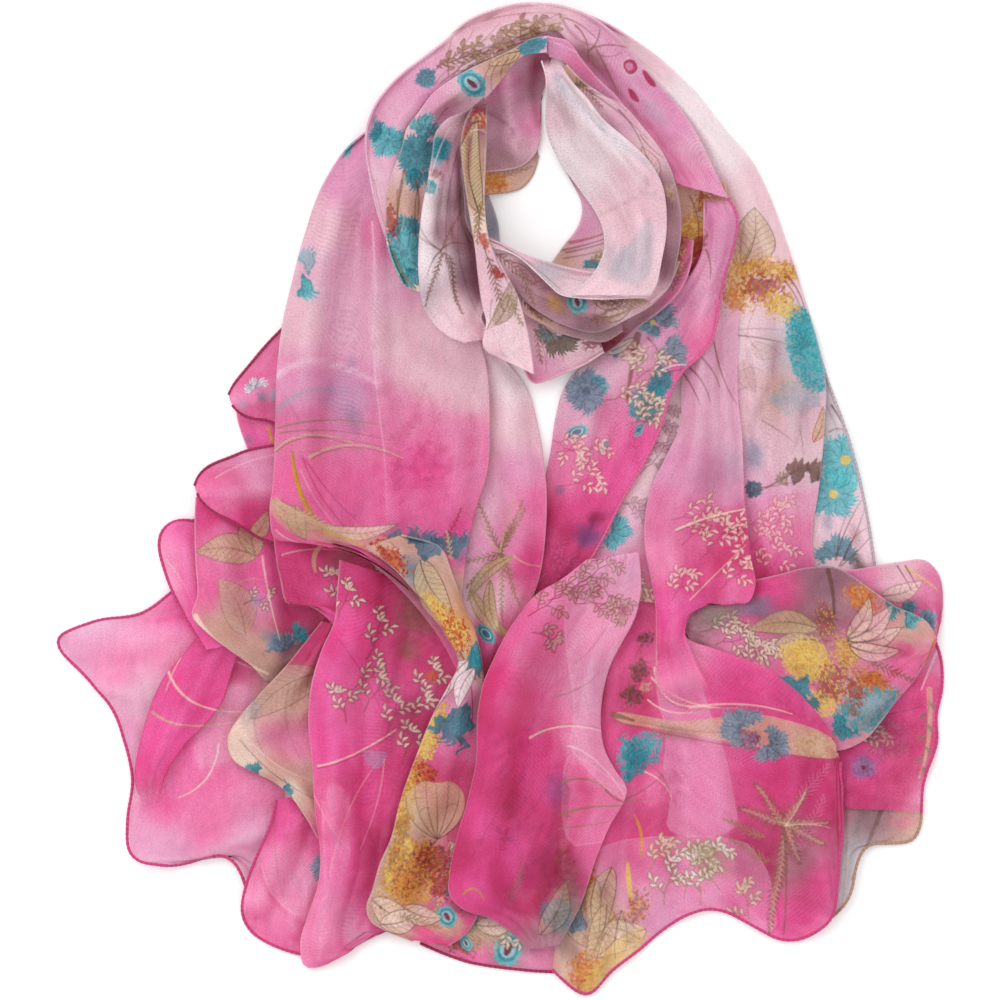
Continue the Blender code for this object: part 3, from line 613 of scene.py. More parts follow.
@dataclass(frozen=True)
class Frond(Grown):
    """A stem with paired narrow leaflets."""
    wide: float = 7.0
    cover: float = 0.7
    pitch: float = 5.0          # distance between the leaflets
    bend: float = 0.15          # how far its tip swings aside, as a share of its length
    plump: float = 0.20         # half the width of a leaflet, as a share of the pitch
    ink: Ink | Dye = Ink.BROWN

    def reach(self) -> float:
        """Gives how far the frond goes from its middle."""
        return self.size * (0.5 + abs(self.bend) / 2) + self.wide + 3

    def draw(self, cloth: Cloth, where: np.ndarray, points: np.ndarray) -> None:
        """Prints the stem and the leaflets.

        Args:
            cloth: What it is printed on.
            where: Numbers of the points that it reaches.
            points: The places of these points on the plan.
        """
        along, across = turned(points, self.x, self.y, self.turn)
        t = np.clip(along / self.size, 0.0, 1.0)
        across = across - self.bend * self.size * np.sin(math.pi * t * 0.5) ** 2
        side = np.abs(across)
        half = self.wide * np.minimum(1.0, 0.35 + 3 * t) * np.sqrt(np.clip(1.05 - t, 0.0, 1.0))
        half = half * (0.82 + 0.18 * np.sin(1.1 * along + np.sign(across) + self.x))
        past_ends = np.maximum(along - self.size, -along)
        beyond = np.maximum(side - half, past_ends)
        stagger = np.where(across > 0, 0.5, 0.0)
        slant = ((along - 0.9 * side) / self.pitch + stagger + 0.12 * np.sin(0.5 * along + self.y)) % 1.0
        belly = 0.30 + 0.95 * np.sin(math.pi * np.clip(side / np.maximum(half, 0.5), 0.0, 1.0) ** 0.8)
        leaflet = (np.abs(slant - 0.5) - self.plump * belly) * self.pitch
        cloth.lay(where, self.ink, self.cover * inked(np.maximum(leaflet, beyond)))
        cloth.lay(where, self.ink, self.cover * inked(np.maximum(side - 0.6, past_ends)))


@dataclass(frozen=True)
class Sprig(Grown):
    """A branching sprig of small leaves, pale inside a dark line."""
    twigs: int = 4
    line_cover: float = 0.6
    cover: float = 0.8
    lobe: float = 3.2           # width of a leaf
    fill: Ink | Dye = Ink.CREAM
    line: Ink | Dye = Ink.SEPIA

    def reach(self) -> float:
        """Gives how far the sprig goes from its middle."""
        return self.size * 0.72 + 4

    def parts(self) -> np.ndarray:
        """Gives the stem, its twigs and their lobes as short straight parts.

        Returns:
            Rows of start x, start y, end x, end y, start radius, end radius.
        """
        rows = []
        heading, x, y = math.radians(self.turn), self.x, self.y
        for twig in range(self.twigs):
            bend = heading + 0.22 * math.sin(2.3 * twig + self.x)
            run = self.size / self.twigs
            following = x + run * math.cos(bend), y + run * math.sin(bend)
            rows.append((x, y, *following, *STEM))
            x, y = following
            side = (1 if twig % 2 else -1) * (0.75 + 0.2 * math.sin(1.9 * twig + self.y))
            length = self.size * (0.42 - 0.045 * twig)
            tip = x + length * math.cos(bend + side), y + length * math.sin(bend + side)
            rows.append((x, y, *tip, *STEM))
            for lobe, (share, spread) in enumerate(((1.0, 0.1), (0.80, 0.95), (0.62, -0.95), (0.38, 0.95))):
                out = share * length
                foot = x + out * math.cos(bend + side), y + out * math.sin(bend + side)
                way = bend + side + spread
                rows.extend(self.leaflet(*foot, way, self.lobe * (2.5 - 0.2 * lobe)))
        for spread in (-1.0, 0.0, 1.0):
            way = heading + spread
            rows.extend(self.leaflet(x, y, way, 2.3 * self.lobe))
        return np.array(rows)

    def leaflet(self, x: float, y: float, way: float, out: float) -> list[tuple[float, ...]]:
        """Gives a leaflet, narrow at its foot and round at its bent tip.

        Args:
            x: Its foot, to the right.
            y: The same, down.
            way: Its direction in radians.
            out: Its length.

        Returns:
            Its two parts.
        """
        middle = x + 0.55 * out * math.cos(way), y + 0.55 * out * math.sin(way)
        tip = middle[0] + 0.45 * out * math.cos(way + 0.5), middle[1] + 0.45 * out * math.sin(way + 0.5)
        foot_radius, belly_radius, tip_radius = 0.10 * self.lobe, 0.52 * self.lobe, 0.24 * self.lobe
        return [(x, y, *middle, foot_radius, belly_radius), (*middle, *tip, belly_radius, tip_radius)]

    def touches(self, points: np.ndarray) -> np.ndarray:
        """Says which places are beside the sprig."""
        return to_segments(points, self.parts())[0] < BESIDE

    def draw(self, cloth: Cloth, where: np.ndarray, points: np.ndarray) -> None:
        """Prints the dark line, the pale leaves inside it and their ribs.

        Args:
            cloth: What it is printed on.
            where: Numbers of the points that it reaches.
            points: The places of these points on the plan.
        """
        outside = to_segments(points, self.parts())[0]
        cloth.lay(where, self.line, self.line_cover * inked(outside - 0.9))
        cloth.lay(where, self.fill, self.cover * inked(outside + 0.20))
        cloth.lay(where, self.line, 0.35 * self.line_cover * inked(outside + 1.35))


@dataclass(frozen=True)
class Mottle(Motif):
    """A blotched patch, as of a faded flower head, flecked with darker colours."""
    turn: float = 0.0
    cover: float = 0.8
    stretch: float = 1.6        # how much longer than wide it is
    flecks: float = 0.55        # strength of the flecks
    ground: Ink | Dye = Ink.GOLD
    blot: Ink | Dye = Ink.RED
    fleck: Ink | Dye = Ink.WINE

    def reach(self) -> float:
        """Gives how far the patch goes from its place."""
        return self.size * max(1.0, self.stretch) * 1.25

    def draw(self, cloth: Cloth, where: np.ndarray, points: np.ndarray) -> None:
        """Prints the ground, the blots and the flecks.

        Args:
            cloth: What it is printed on.
            where: Numbers of the points that it reaches.
            points: The places of these points on the plan.
        """
        x, y = points.T
        along, across = turned(points, self.x, self.y, self.turn)
        away = np.hypot(along / (self.size * self.stretch), across / self.size)
        ragged = away - 0.85 + 0.55 * (mottle(x, y, 6.0, self.x) - 0.5)
        ragged = ragged + 0.3 * (mottle(x, y, 2.4, self.y) - 0.5)
        body = inked(ragged * self.size, MOTTLE_EDGE)
        tone = np.clip(1.6 * mottle(x, y, 5.0, self.y + 2) - 0.3, 0, 1)[:, None]
        cloth.lay(where, linear(self.ground) * (1 - tone) + linear(self.blot) * tone, self.cover * body)
        grain = mottle(x, y, 2.2, self.x + 5) * mottle(x, y, 7.0, self.y + 1)
        cloth.lay(where, Ink.ORANGE, self.cover * body * np.clip(4 * (grain - 0.42), 0, 0.8))
        dark = mottle(x + 0.6 * y, y, 1.9, self.y + 9) * mottle(x, y, 6.0, self.x + 3)
        cloth.lay(where, self.fleck, self.flecks * body * np.clip(5 * (dark - 0.46), 0, 1))


@dataclass(frozen=True)
class Pods(Motif):
    """Seed pods on both sides of a line; its place is the first one."""
    to: tuple[float, float]
    count: int = 7
    cover: float = 0.6
    ink: Ink = Ink.MOSS

    def middle(self) -> tuple[float, float]:
        """Gives the middle of the row."""
        return (self.x + self.to[0]) / 2, (self.y + self.to[1]) / 2

    def reach(self) -> float:
        """Gives how far the row goes from its middle."""
        return math.dist((self.x, self.y), self.to) / 2 + 3 * self.size

    def draw(self, cloth: Cloth, where: np.ndarray, points: np.ndarray) -> None:
        """Prints each pod and the stem.

        Args:
            cloth: What it is printed on.
            where: Numbers of the points that it reaches.
            points: The places of these points on the plan.
        """
        heading = math.atan2(self.to[1] - self.y, self.to[0] - self.x)
        rows = [(self.x, self.y, *self.to, 0.5, 0.4)]
        for pod in range(self.count):
            t = (pod + 0.3) / self.count
            x, y = self.x + t * (self.to[0] - self.x), self.y + t * (self.to[1] - self.y)
            way = heading + (0.9 if pod % 2 else -0.9)
            rows.append((x + 2 * math.cos(way), y + 2 * math.sin(way), x + 2.4 * self.size * math.cos(way),
                         y + 2.4 * self.size * math.sin(way), 0.5 * self.size, self.size * 0.8))
        cloth.lay(where, self.ink, self.cover * inked(to_segments(points, np.array(rows))[0]))


@dataclass(frozen=True)
class Ply(Motif):
    """A rounded patch; its place is its first corner and size is how wide its edge fades.

    It stands for a printed blot, or for a place where more or fewer layers lie under the cloth.
    """
    corners: tuple[tuple[float, float], ...]
    cover: float = 0.5
    ragged: float = 0.0         # how far its edge wanders
    line: float = 0.0           # strength of a pale line on its edge; on the patches of more or fewer layers it is a painted highlight along the fold edge
    dye: Ink | Dye = Ink.BEIGE

    @property
    def crisp(self) -> bool:
        """Says whether its edge needs closer points."""
        return self.size <= CRISP_EDGE

    def outline(self) -> np.ndarray:
        """Gives the corners, cut twice so that they are round.

        Returns:
            Rows of x and y.
        """
        spots = np.array(((self.x, self.y), *self.corners), float)
        for _ in range(CORNER_CUTS):
            following = np.roll(spots, -1, axis=0)
            both = np.stack([0.75 * spots + 0.25 * following, 0.25 * spots + 0.75 * following], axis=1)
            spots = both.reshape(-1, 2)
        return spots

    def middle(self) -> tuple[float, float]:
        """Gives the middle of the patch."""
        spots = self.outline()
        return tuple((spots.min(axis=0) + spots.max(axis=0)) / 2)

    def reach(self) -> float:
        """Gives how far the patch goes from its middle."""
        spots = self.outline()
        return float((spots.max(axis=0) - spots.min(axis=0)).max() / 2 + 2 * self.size + self.ragged + 4)

    def outside(self, points: np.ndarray) -> np.ndarray:
        """Gives the distance of points from the edge, negative inside.

        Args:
            points: Places on the plan.

        Returns:
            The distance at each point.
        """
        spots = self.outline()
        following = np.roll(spots, -1, axis=0)
        parts = np.hstack([spots, following, np.zeros((len(spots), 2))])
        away = to_segments(points, parts)[0]
        inside = np.zeros(len(points), bool)
        for (ax, ay), (bx, by) in zip(spots, following):
            if ay != by:
                crosses = (ay > points[:, 1]) != (by > points[:, 1])
                inside ^= crosses & (points[:, 0] < ax + (points[:, 1] - ay) * (bx - ax) / (by - ay))
        x, y = points.T
        frayed = 0.9 * (mottle(x, y, 6.0, self.x) - 0.5) + 0.3 * (mottle(x, y, 2.6, self.y) - 0.5)
        return np.where(inside, -away, away) + self.ragged * frayed

    def touches(self, points: np.ndarray) -> np.ndarray:
        """Says which places are beside the edge."""
        return np.abs(self.outside(points)) < BESIDE

    def draw(self, cloth: Cloth, where: np.ndarray, points: np.ndarray) -> None:
        """Lays the patch and the line on its edge.

        Args:
            cloth: What it is printed on.
            where: Numbers of the points that it reaches.
            points: The places of these points on the plan.
        """
        outside = self.outside(points)
        cover = np.full(len(points), self.cover)
        if self.ragged:
            faded = 0.65 + 0.7 * mottle(points[:, 0], points[:, 1], 4.5, self.y)
            cover = np.clip(self.cover * faded, 0.0, 1.0)
        cloth.lay(where, self.dye, cover * inked(outside, self.size))
        if self.line:
            cloth.lay(where, Dye.WHITE, self.line * inked(np.abs(outside) - OUTLINE))


def palm(x: float, y: float, arms: tuple[tuple[float, float], ...], ink: Ink = Ink.OLIVE,
         wide: float = 6.0, cover: float = 0.8) -> tuple[Frond, ...]:
    """Gives a star of fronds.

    Args:
        x: Middle, to the right.
        y: Middle, down.
        arms: Turn and length of each frond.
        ink: Printing colour.
        wide: Half width of a frond.
        cover: Strength of the ink.

    Returns:
        The fronds.
    """
    return tuple(Frond(x, y, length, turn, wide, cover, ink=ink) for turn, length in arms)


# ---------------------------------------------------------------- the cloth

# Looks of the cloth
CLOTH_COLOUR = "cloth_colour"
CLOTH_PLACE = "cloth_place"
DYE_REACH = 17.0            # plan steps within which a dye spot rules
DYE_FALL = 2.2              # how quickly its rule ends beyond them
# colour of the painted highlight on the top of a rolled edge
RIM_HIGHLIGHT = np.array((0.93, 0.80, 0.86))
FOLD_SHADE = 0.14           # painted shade: how much deeper the colour is in a trough, and paler on a crest
UNDER_SHADE = 0.20          # the same painted shade on the lip turned under a folded edge
SLOPE_SHADE = 0.40          # the same painted shade where the cloth stands steeply
BLOT_SHADE = 0.10           # how much the colour deepens or pales at random in soft blots
BLOT_SIZE = 16.0            # size of these blots in plan steps
LEAST_SHADE = 0.75
MOST_OPAQUE = 0.98          # opacity of the thickest print
LEAST_LEVEL = 0.25          # the steepest slope that counts, as the upward part of its normal
FINE_FOLD_PAINTED_SHADE = 0.5        # painted shade for each millimetre of a fine fold, darker in its troughs and lighter on its crests
FINE_FOLD_ROOM = 0.35 * MILLIMETRE      # height kept free under the fine folds
RIPPLE_SIZE = 0.009         # size of the crepe's own unevenness
RIPPLE_HEIGHT = 0.45        # its height in millimetres

# The rolled hem
HEM_RADIUS = 0.0009
RING_HEM_RADIUS = 0.0005
HEM_SIDES = 6
HEM_SPACING = 0.0012        # distance between the rings of its points
HEM_EASE = 2                # how often its corners are eased
STITCH_SPACING = 0.0030     # whip stitches; the real ones stand 1.5 mm apart and are drawn coarser to show
STITCH_DEPTH = 0.12         # how far a stitch draws the roll in, as a share of its radius
STITCH_SHADE = 0.10         # how much darker the cloth is in a stitch
HEM_COVER = 0.97            # opacity of the rolled cloth


class Way(Enum):
    """Which way the fine folds of a stretch run."""
    ALONG = "from row to row"
    ACROSS = "from the near edge to the far edge"


@dataclass(frozen=True)
class Pleats:
    """Fine uneven folds of a stretch."""
    count: float
    height: float = 1.0         # millimetres
    way: Way = Way.ALONG
    drift: float = 0.8          # how far they wander, in radians of their wave
    seed: float = 1.0


@dataclass(frozen=True)
class Stretch:
    """One stretch of cloth that shows, between a near and a far edge.

    Rows are near x, near y, far x, far y in plan steps. Ridges are x, y, x, y, half width and height in
    millimetres. Wave is the height of a hem's waves, bed is how much deeper a stretch beds into the one under
    it, and dyes give for each ground colour its places as x, y and opacity. Fade is how many plan steps the
    first row, the last row, the near edge and the far edge take to thin out where the cloth goes on under
    another stretch.
    """
    name: str
    near: Edge
    far: Edge
    slot: str
    rows: tuple[tuple[float, float, float, float], ...]
    dyes: dict[Dye, tuple[tuple[float, float, float], ...]]
    ridges: tuple[tuple[float, ...], ...] = ()
    ring: bool = False
    wave: float = 0.0
    bed: float = 0.0
    prints: tuple[Motif, ...] = ()
    pleats: Pleats = Pleats(5.0)
    hem: Dye = Dye.CERISE
    rim: float = 0.30           # strength of the painted highlight on the rolled edge
    fade: tuple[float, float, float, float] = (0.0, 0.0, 0.0, 0.0)

    @property
    def spacing(self) -> float:
        """Gives the spacing of the sheet's points."""
        return CELL_RING if self.ring else CELL_TAIL

    @property
    def hump(self) -> float:
        """Gives how high a fold stands behind its edge."""
        return WALL + 2 * (RING_ROLL_RADIUS if self.ring else ROLL_RADIUS)


def hermite(table: np.ndarray, slopes: np.ndarray, knots: np.ndarray, where: np.ndarray) -> np.ndarray:
    """Evaluates the cubic through rows.

    Args:
        table: The rows.
        slopes: Their slopes.
        knots: Where each row stands along the curve.
        where: Where rows are wanted.

    Returns:
        The rows wanted.
    """
    index = np.clip(np.searchsorted(knots, where, side="right") - 1, 0, len(knots) - 2)
    width = knots[index + 1] - knots[index]
    t = ((where - knots[index]) / width)[:, None]
    width = width[:, None]
    start, end = table[index], table[index + 1]
    rise_in, rise_out = slopes[index] * width, slopes[index + 1] * width
    return ((2 * t ** 3 - 3 * t ** 2 + 1) * start + (t ** 3 - 2 * t ** 2 + t) * rise_in
            + (3 * t ** 2 - 2 * t ** 3) * end + (t ** 3 - t ** 2) * rise_out)


def smooth_rows(rows: tuple, spacing: float, closed: bool = False) -> np.ndarray:
    """Reads a smooth curve through table rows, at an even spacing along its middle.

    Args:
        rows: The table.
        spacing: Distance between the rows wanted, in the table's units.
        closed: Whether the last row joins the first.

    Returns:
        The rows wanted.
    """
    table = np.array(rows, float)
    if closed:
        table = np.vstack([table[-1:], table, table[:2]])
    steps = np.sqrt((np.diff(table, axis=0) ** 2).sum(axis=1)) + 1e-9
    knots = np.concatenate([[0.0], np.cumsum(steps)])
    slopes = np.gradient(table, knots, axis=0)
    first, last = (1, len(table) - 2) if closed else (0, len(table) - 1)
    dense_t = np.linspace(knots[first], knots[last], CURVE_SAMPLES * (last - first) + 1)
    dense = hermite(table, slopes, knots, dense_t)
    runs = np.sqrt((np.diff(dense, axis=0) ** 2).sum(axis=1)) / math.sqrt(table.shape[1] / 2)
    along = np.concatenate([[0.0], np.cumsum(runs)])
    count = max(3, int(round(along[-1] / spacing)))
    wanted = np.linspace(0.0, along[-1], count + 1)
    if closed:
        wanted = wanted[:-1]
    return hermite(table, slopes, knots, np.interp(wanted, along, dense_t))


def neighbours(field: np.ndarray, fall: float) -> np.ndarray:
    """Spreads each height to the cells beside it.

    Args:
        field: The heights.
        fall: How much lower the next cell is.

    Returns:
        The highest of the heights that reach each cell.
    """
    padded = np.pad(field, 1, mode="edge")
    lines, columns = field.shape
    best = field.copy()
    for down in (0, 1, 2):
        for across in (0, 1, 2):
            reach = math.hypot(down - 1, across - 1)
            np.maximum(best, padded[down:down + lines, across:across + columns] - fall * reach, out=best)
    return best


def blurred(field: np.ndarray) -> np.ndarray:
    """Averages each cell with the rings round it.

    Args:
        field: Heights on the map.

    Returns:
        The averaged heights.
    """
    span = 2 * BLUR_CELLS + 1
    for axis in (0, 1):
        margin = [(BLUR_CELLS, BLUR_CELLS) if side == axis else (0, 0) for side in (0, 1)]
        padded = np.pad(field, margin, mode="edge")
        size = field.shape[axis]
        field = sum(np.take(padded, range(start, start + size), axis=axis) for start in range(span)) / span
    return field


def dense_points(grid: np.ndarray) -> np.ndarray:
    """Fills a grid of points in by straight lines, to about one sample a millimetre.

    Args:
        grid: Rows and columns of places.

    Returns:
        One row for each sample.
    """
    for axis in (0, 1):
        span = np.sqrt((np.diff(grid, axis=axis) ** 2).sum(axis=2)).max()
        pieces = max(1, int(math.ceil(span / SAMPLE)))
        size = grid.shape[axis]
        where = np.linspace(0, size - 1, pieces * (size - 1) + 1)
        low = np.clip(where.astype(int), 0, size - 2)
        part = (where - low).reshape((-1, 1, 1) if axis == 0 else (1, -1, 1))
        grid = np.take(grid, low, axis=axis) * (1 - part) + np.take(grid, low + 1, axis=axis) * part
    return grid.reshape(-1, 3)


def grid_normals(grid: np.ndarray) -> np.ndarray:
    """Gives the unit normals of a grid of points, up on its upper side."""
    normal = np.cross(np.gradient(grid, axis=1), np.gradient(grid, axis=0))
    return normal / (np.linalg.norm(normal, axis=2, keepdims=True) + 1e-12)


class Bed:
    """A height map of everything laid so far, and what lies on top at each place."""

    def __init__(self) -> None:
        """Starts with the bare surface."""
        self.columns = int(2 * MAP_HALF_X / MAP_CELL) + 1
        self.lines = int(2 * MAP_HALF_Y / MAP_CELL) + 1
        self.top = np.zeros((self.lines, self.columns))
        self.owner = np.zeros((self.lines, self.columns), int)
        self.names = ["floor"]

    def index(self, points: np.ndarray) -> tuple[np.ndarray, np.ndarray]:
        """Gives the cell of each point.

        Args:
            points: Places in metres.

        Returns:
            The line and the column of each point's cell.
        """
        column = np.clip(((points[:, 0] + MAP_HALF_X) / MAP_CELL).round().astype(int), 0, self.columns - 1)
        line = np.clip(((points[:, 1] + MAP_HALF_Y) / MAP_CELL).round().astype(int), 0, self.lines - 1)
        return line, column

    def add(self, name: str, *grids: np.ndarray) -> None:
        """Raises the map to the highest points of a piece.

        Args:
            name: The piece's name.
            grids: Its sides as grids of points.
        """
        before = self.top.copy()
        for grid in grids:
            points = dense_points(grid)
            np.maximum.at(self.top, self.index(points), points[:, 2])
        self.owner[self.top > before] = len(self.names)
        self.names.append(name)

    def under(self, grid: np.ndarray) -> list[str]:
        """Names what lies under a grid of points, most of it first."""
        numbers, counts = np.unique(self.owner[self.index(grid.reshape(-1, 3))], return_counts=True)
        return [self.names[number] for number in numbers[np.argsort(-counts)][:MOST_NAMED]]

    def support(self) -> np.ndarray:
        """Gives the surface that soft cloth takes when laid on the map.

        Returns:
            Its height in each cell.
        """
        held = np.where(self.top > 0.0, self.top + CLEARANCE, 0.0)
        for _ in range(DILATE_CELLS):
            held = neighbours(held, 0.0)
        rounds = int(held.max() / (DRAPE_SLOPE * MAP_CELL)) + 1
        for _ in range(min(rounds, FALL_ROUNDS)):
            held = neighbours(held, DRAPE_SLOPE * MAP_CELL)
        for _ in range(BLUR_PASSES):
            held = blurred(held)
        return held

    def sample(self, field: np.ndarray, x: np.ndarray, y: np.ndarray) -> np.ndarray:
        """Reads a field between its cells.

        Args:
            field: The field, with a value for each cell of the map.
            x: Places in metres.
            y: The same, along the scarf.

        Returns:
            The field at each place.
        """
        u = np.clip((x + MAP_HALF_X) / MAP_CELL, 0, self.columns - 1.001)
        v = np.clip((y + MAP_HALF_Y) / MAP_CELL, 0, self.lines - 1.001)
        column, line = u.astype(int), v.astype(int)
        fx, fy = u - column, v - line
        low = field[line, column] * (1 - fx) + field[line, column + 1] * fx
        high = field[line + 1, column] * (1 - fx) + field[line + 1, column + 1] * fx
        return low * (1 - fy) + high * fy

    def shortfall(self, grid: np.ndarray) -> tuple[np.ndarray, np.ndarray]:
        """Finds where a wall is too low.

        Args:
            grid: The points of the wall's lower side.

        Returns:
            By how much it is too low in each cell, and the same with minus infinity on bare ground.
        """
        lowest = np.full_like(self.top, np.inf)
        for side in (grid, grid + grid_normals(grid) * WALL):
            points = dense_points(side)
            np.minimum.at(lowest, self.index(points), points[:, 2])
        laid_on = self.top > 0.0
        short = np.where(laid_on, self.top + NEAR_SHARE * CLEARANCE, 0.0) - lowest
        return short, np.where(laid_on, short, -np.inf)

    def settle(self, grid: np.ndarray) -> None:
        """Raises a wall until neither of its sides cuts what lies under it.

        Args:
            grid: The points of the wall's lower side, which are raised in place.
        """
        for _ in range(PUSH_ROUNDS):
            short = self.shortfall(grid)[0]
            short[np.isinf(short)] = 0.0
            short[short < HAIR] = 0.0
            if not short.any():
                break
            for _ in range(PUSH_CELLS):
                short = neighbours(short, 0.0)
            grid[:, :, 2] += self.sample(blurred(short) * 0.5 + short * 0.5, grid[:, :, 0], grid[:, :, 1])

    def seat(self, grid: np.ndarray, bed: float) -> None:
        """Lowers a wall that touches nothing, until its closest place has only the clearance.

        Args:
            grid: The points of the wall's lower side.
            bed: How much deeper it then beds into what is under it.
        """
        for _ in range(SEAT_ROUNDS):
            spare = -self.shortfall(grid)[1].max()
            if not np.isfinite(spare) or spare < NEAR_SHARE * CLEARANCE:
                break
            lower(grid, spare)
            self.settle(grid)
        lower(grid, bed)


def lower(grid: np.ndarray, drop: float) -> None:
    """Lowers a wall, but not what lies on the ground."""
    level = grid[:, :, 2]
    grid[:, :, 2] = np.maximum(level - drop, np.minimum(level, WALL))


def relief(folds: tuple, x: np.ndarray, y: np.ndarray) -> np.ndarray:
    """Adds up folds at each point.

    Args:
        folds: Rows of x, y, x, y, half width in plan steps and height in millimetres.
        x: Places in metres.
        y: The same, along the scarf.

    Returns:
        The height in metres.
    """
    total = np.zeros_like(x)
    for x0, y0, x1, y1, half_width, height in folds:
        ax, ay = plan_point(x0, y0)
        bx, by = plan_point(x1, y1)
        length = (bx - ax) ** 2 + (by - ay) ** 2
        t = np.clip(((x - ax) * (bx - ax) + (y - ay) * (by - ay)) / length, 0.0, 1.0)
        distance = np.hypot(x - ax - t * (bx - ax), y - ay - t * (by - ay))
        reach = np.clip(distance / (half_width * RIDGE_SPREAD * STEP), 0.0, 1.0)
        total += height * MILLIMETRE * np.cos(reach * math.pi / 2) ** 2
    return total


@dataclass
class Shell:
    """A draped sheet before it is painted."""
    grid: np.ndarray        # points of the lower side of its wall
    tone: np.ndarray        # painted shade of the folds: above 0 darkens the troughs, below 0 lightens the crests
    turn: np.ndarray        # 1 on a rolled edge, -1 under it, 0 elsewhere


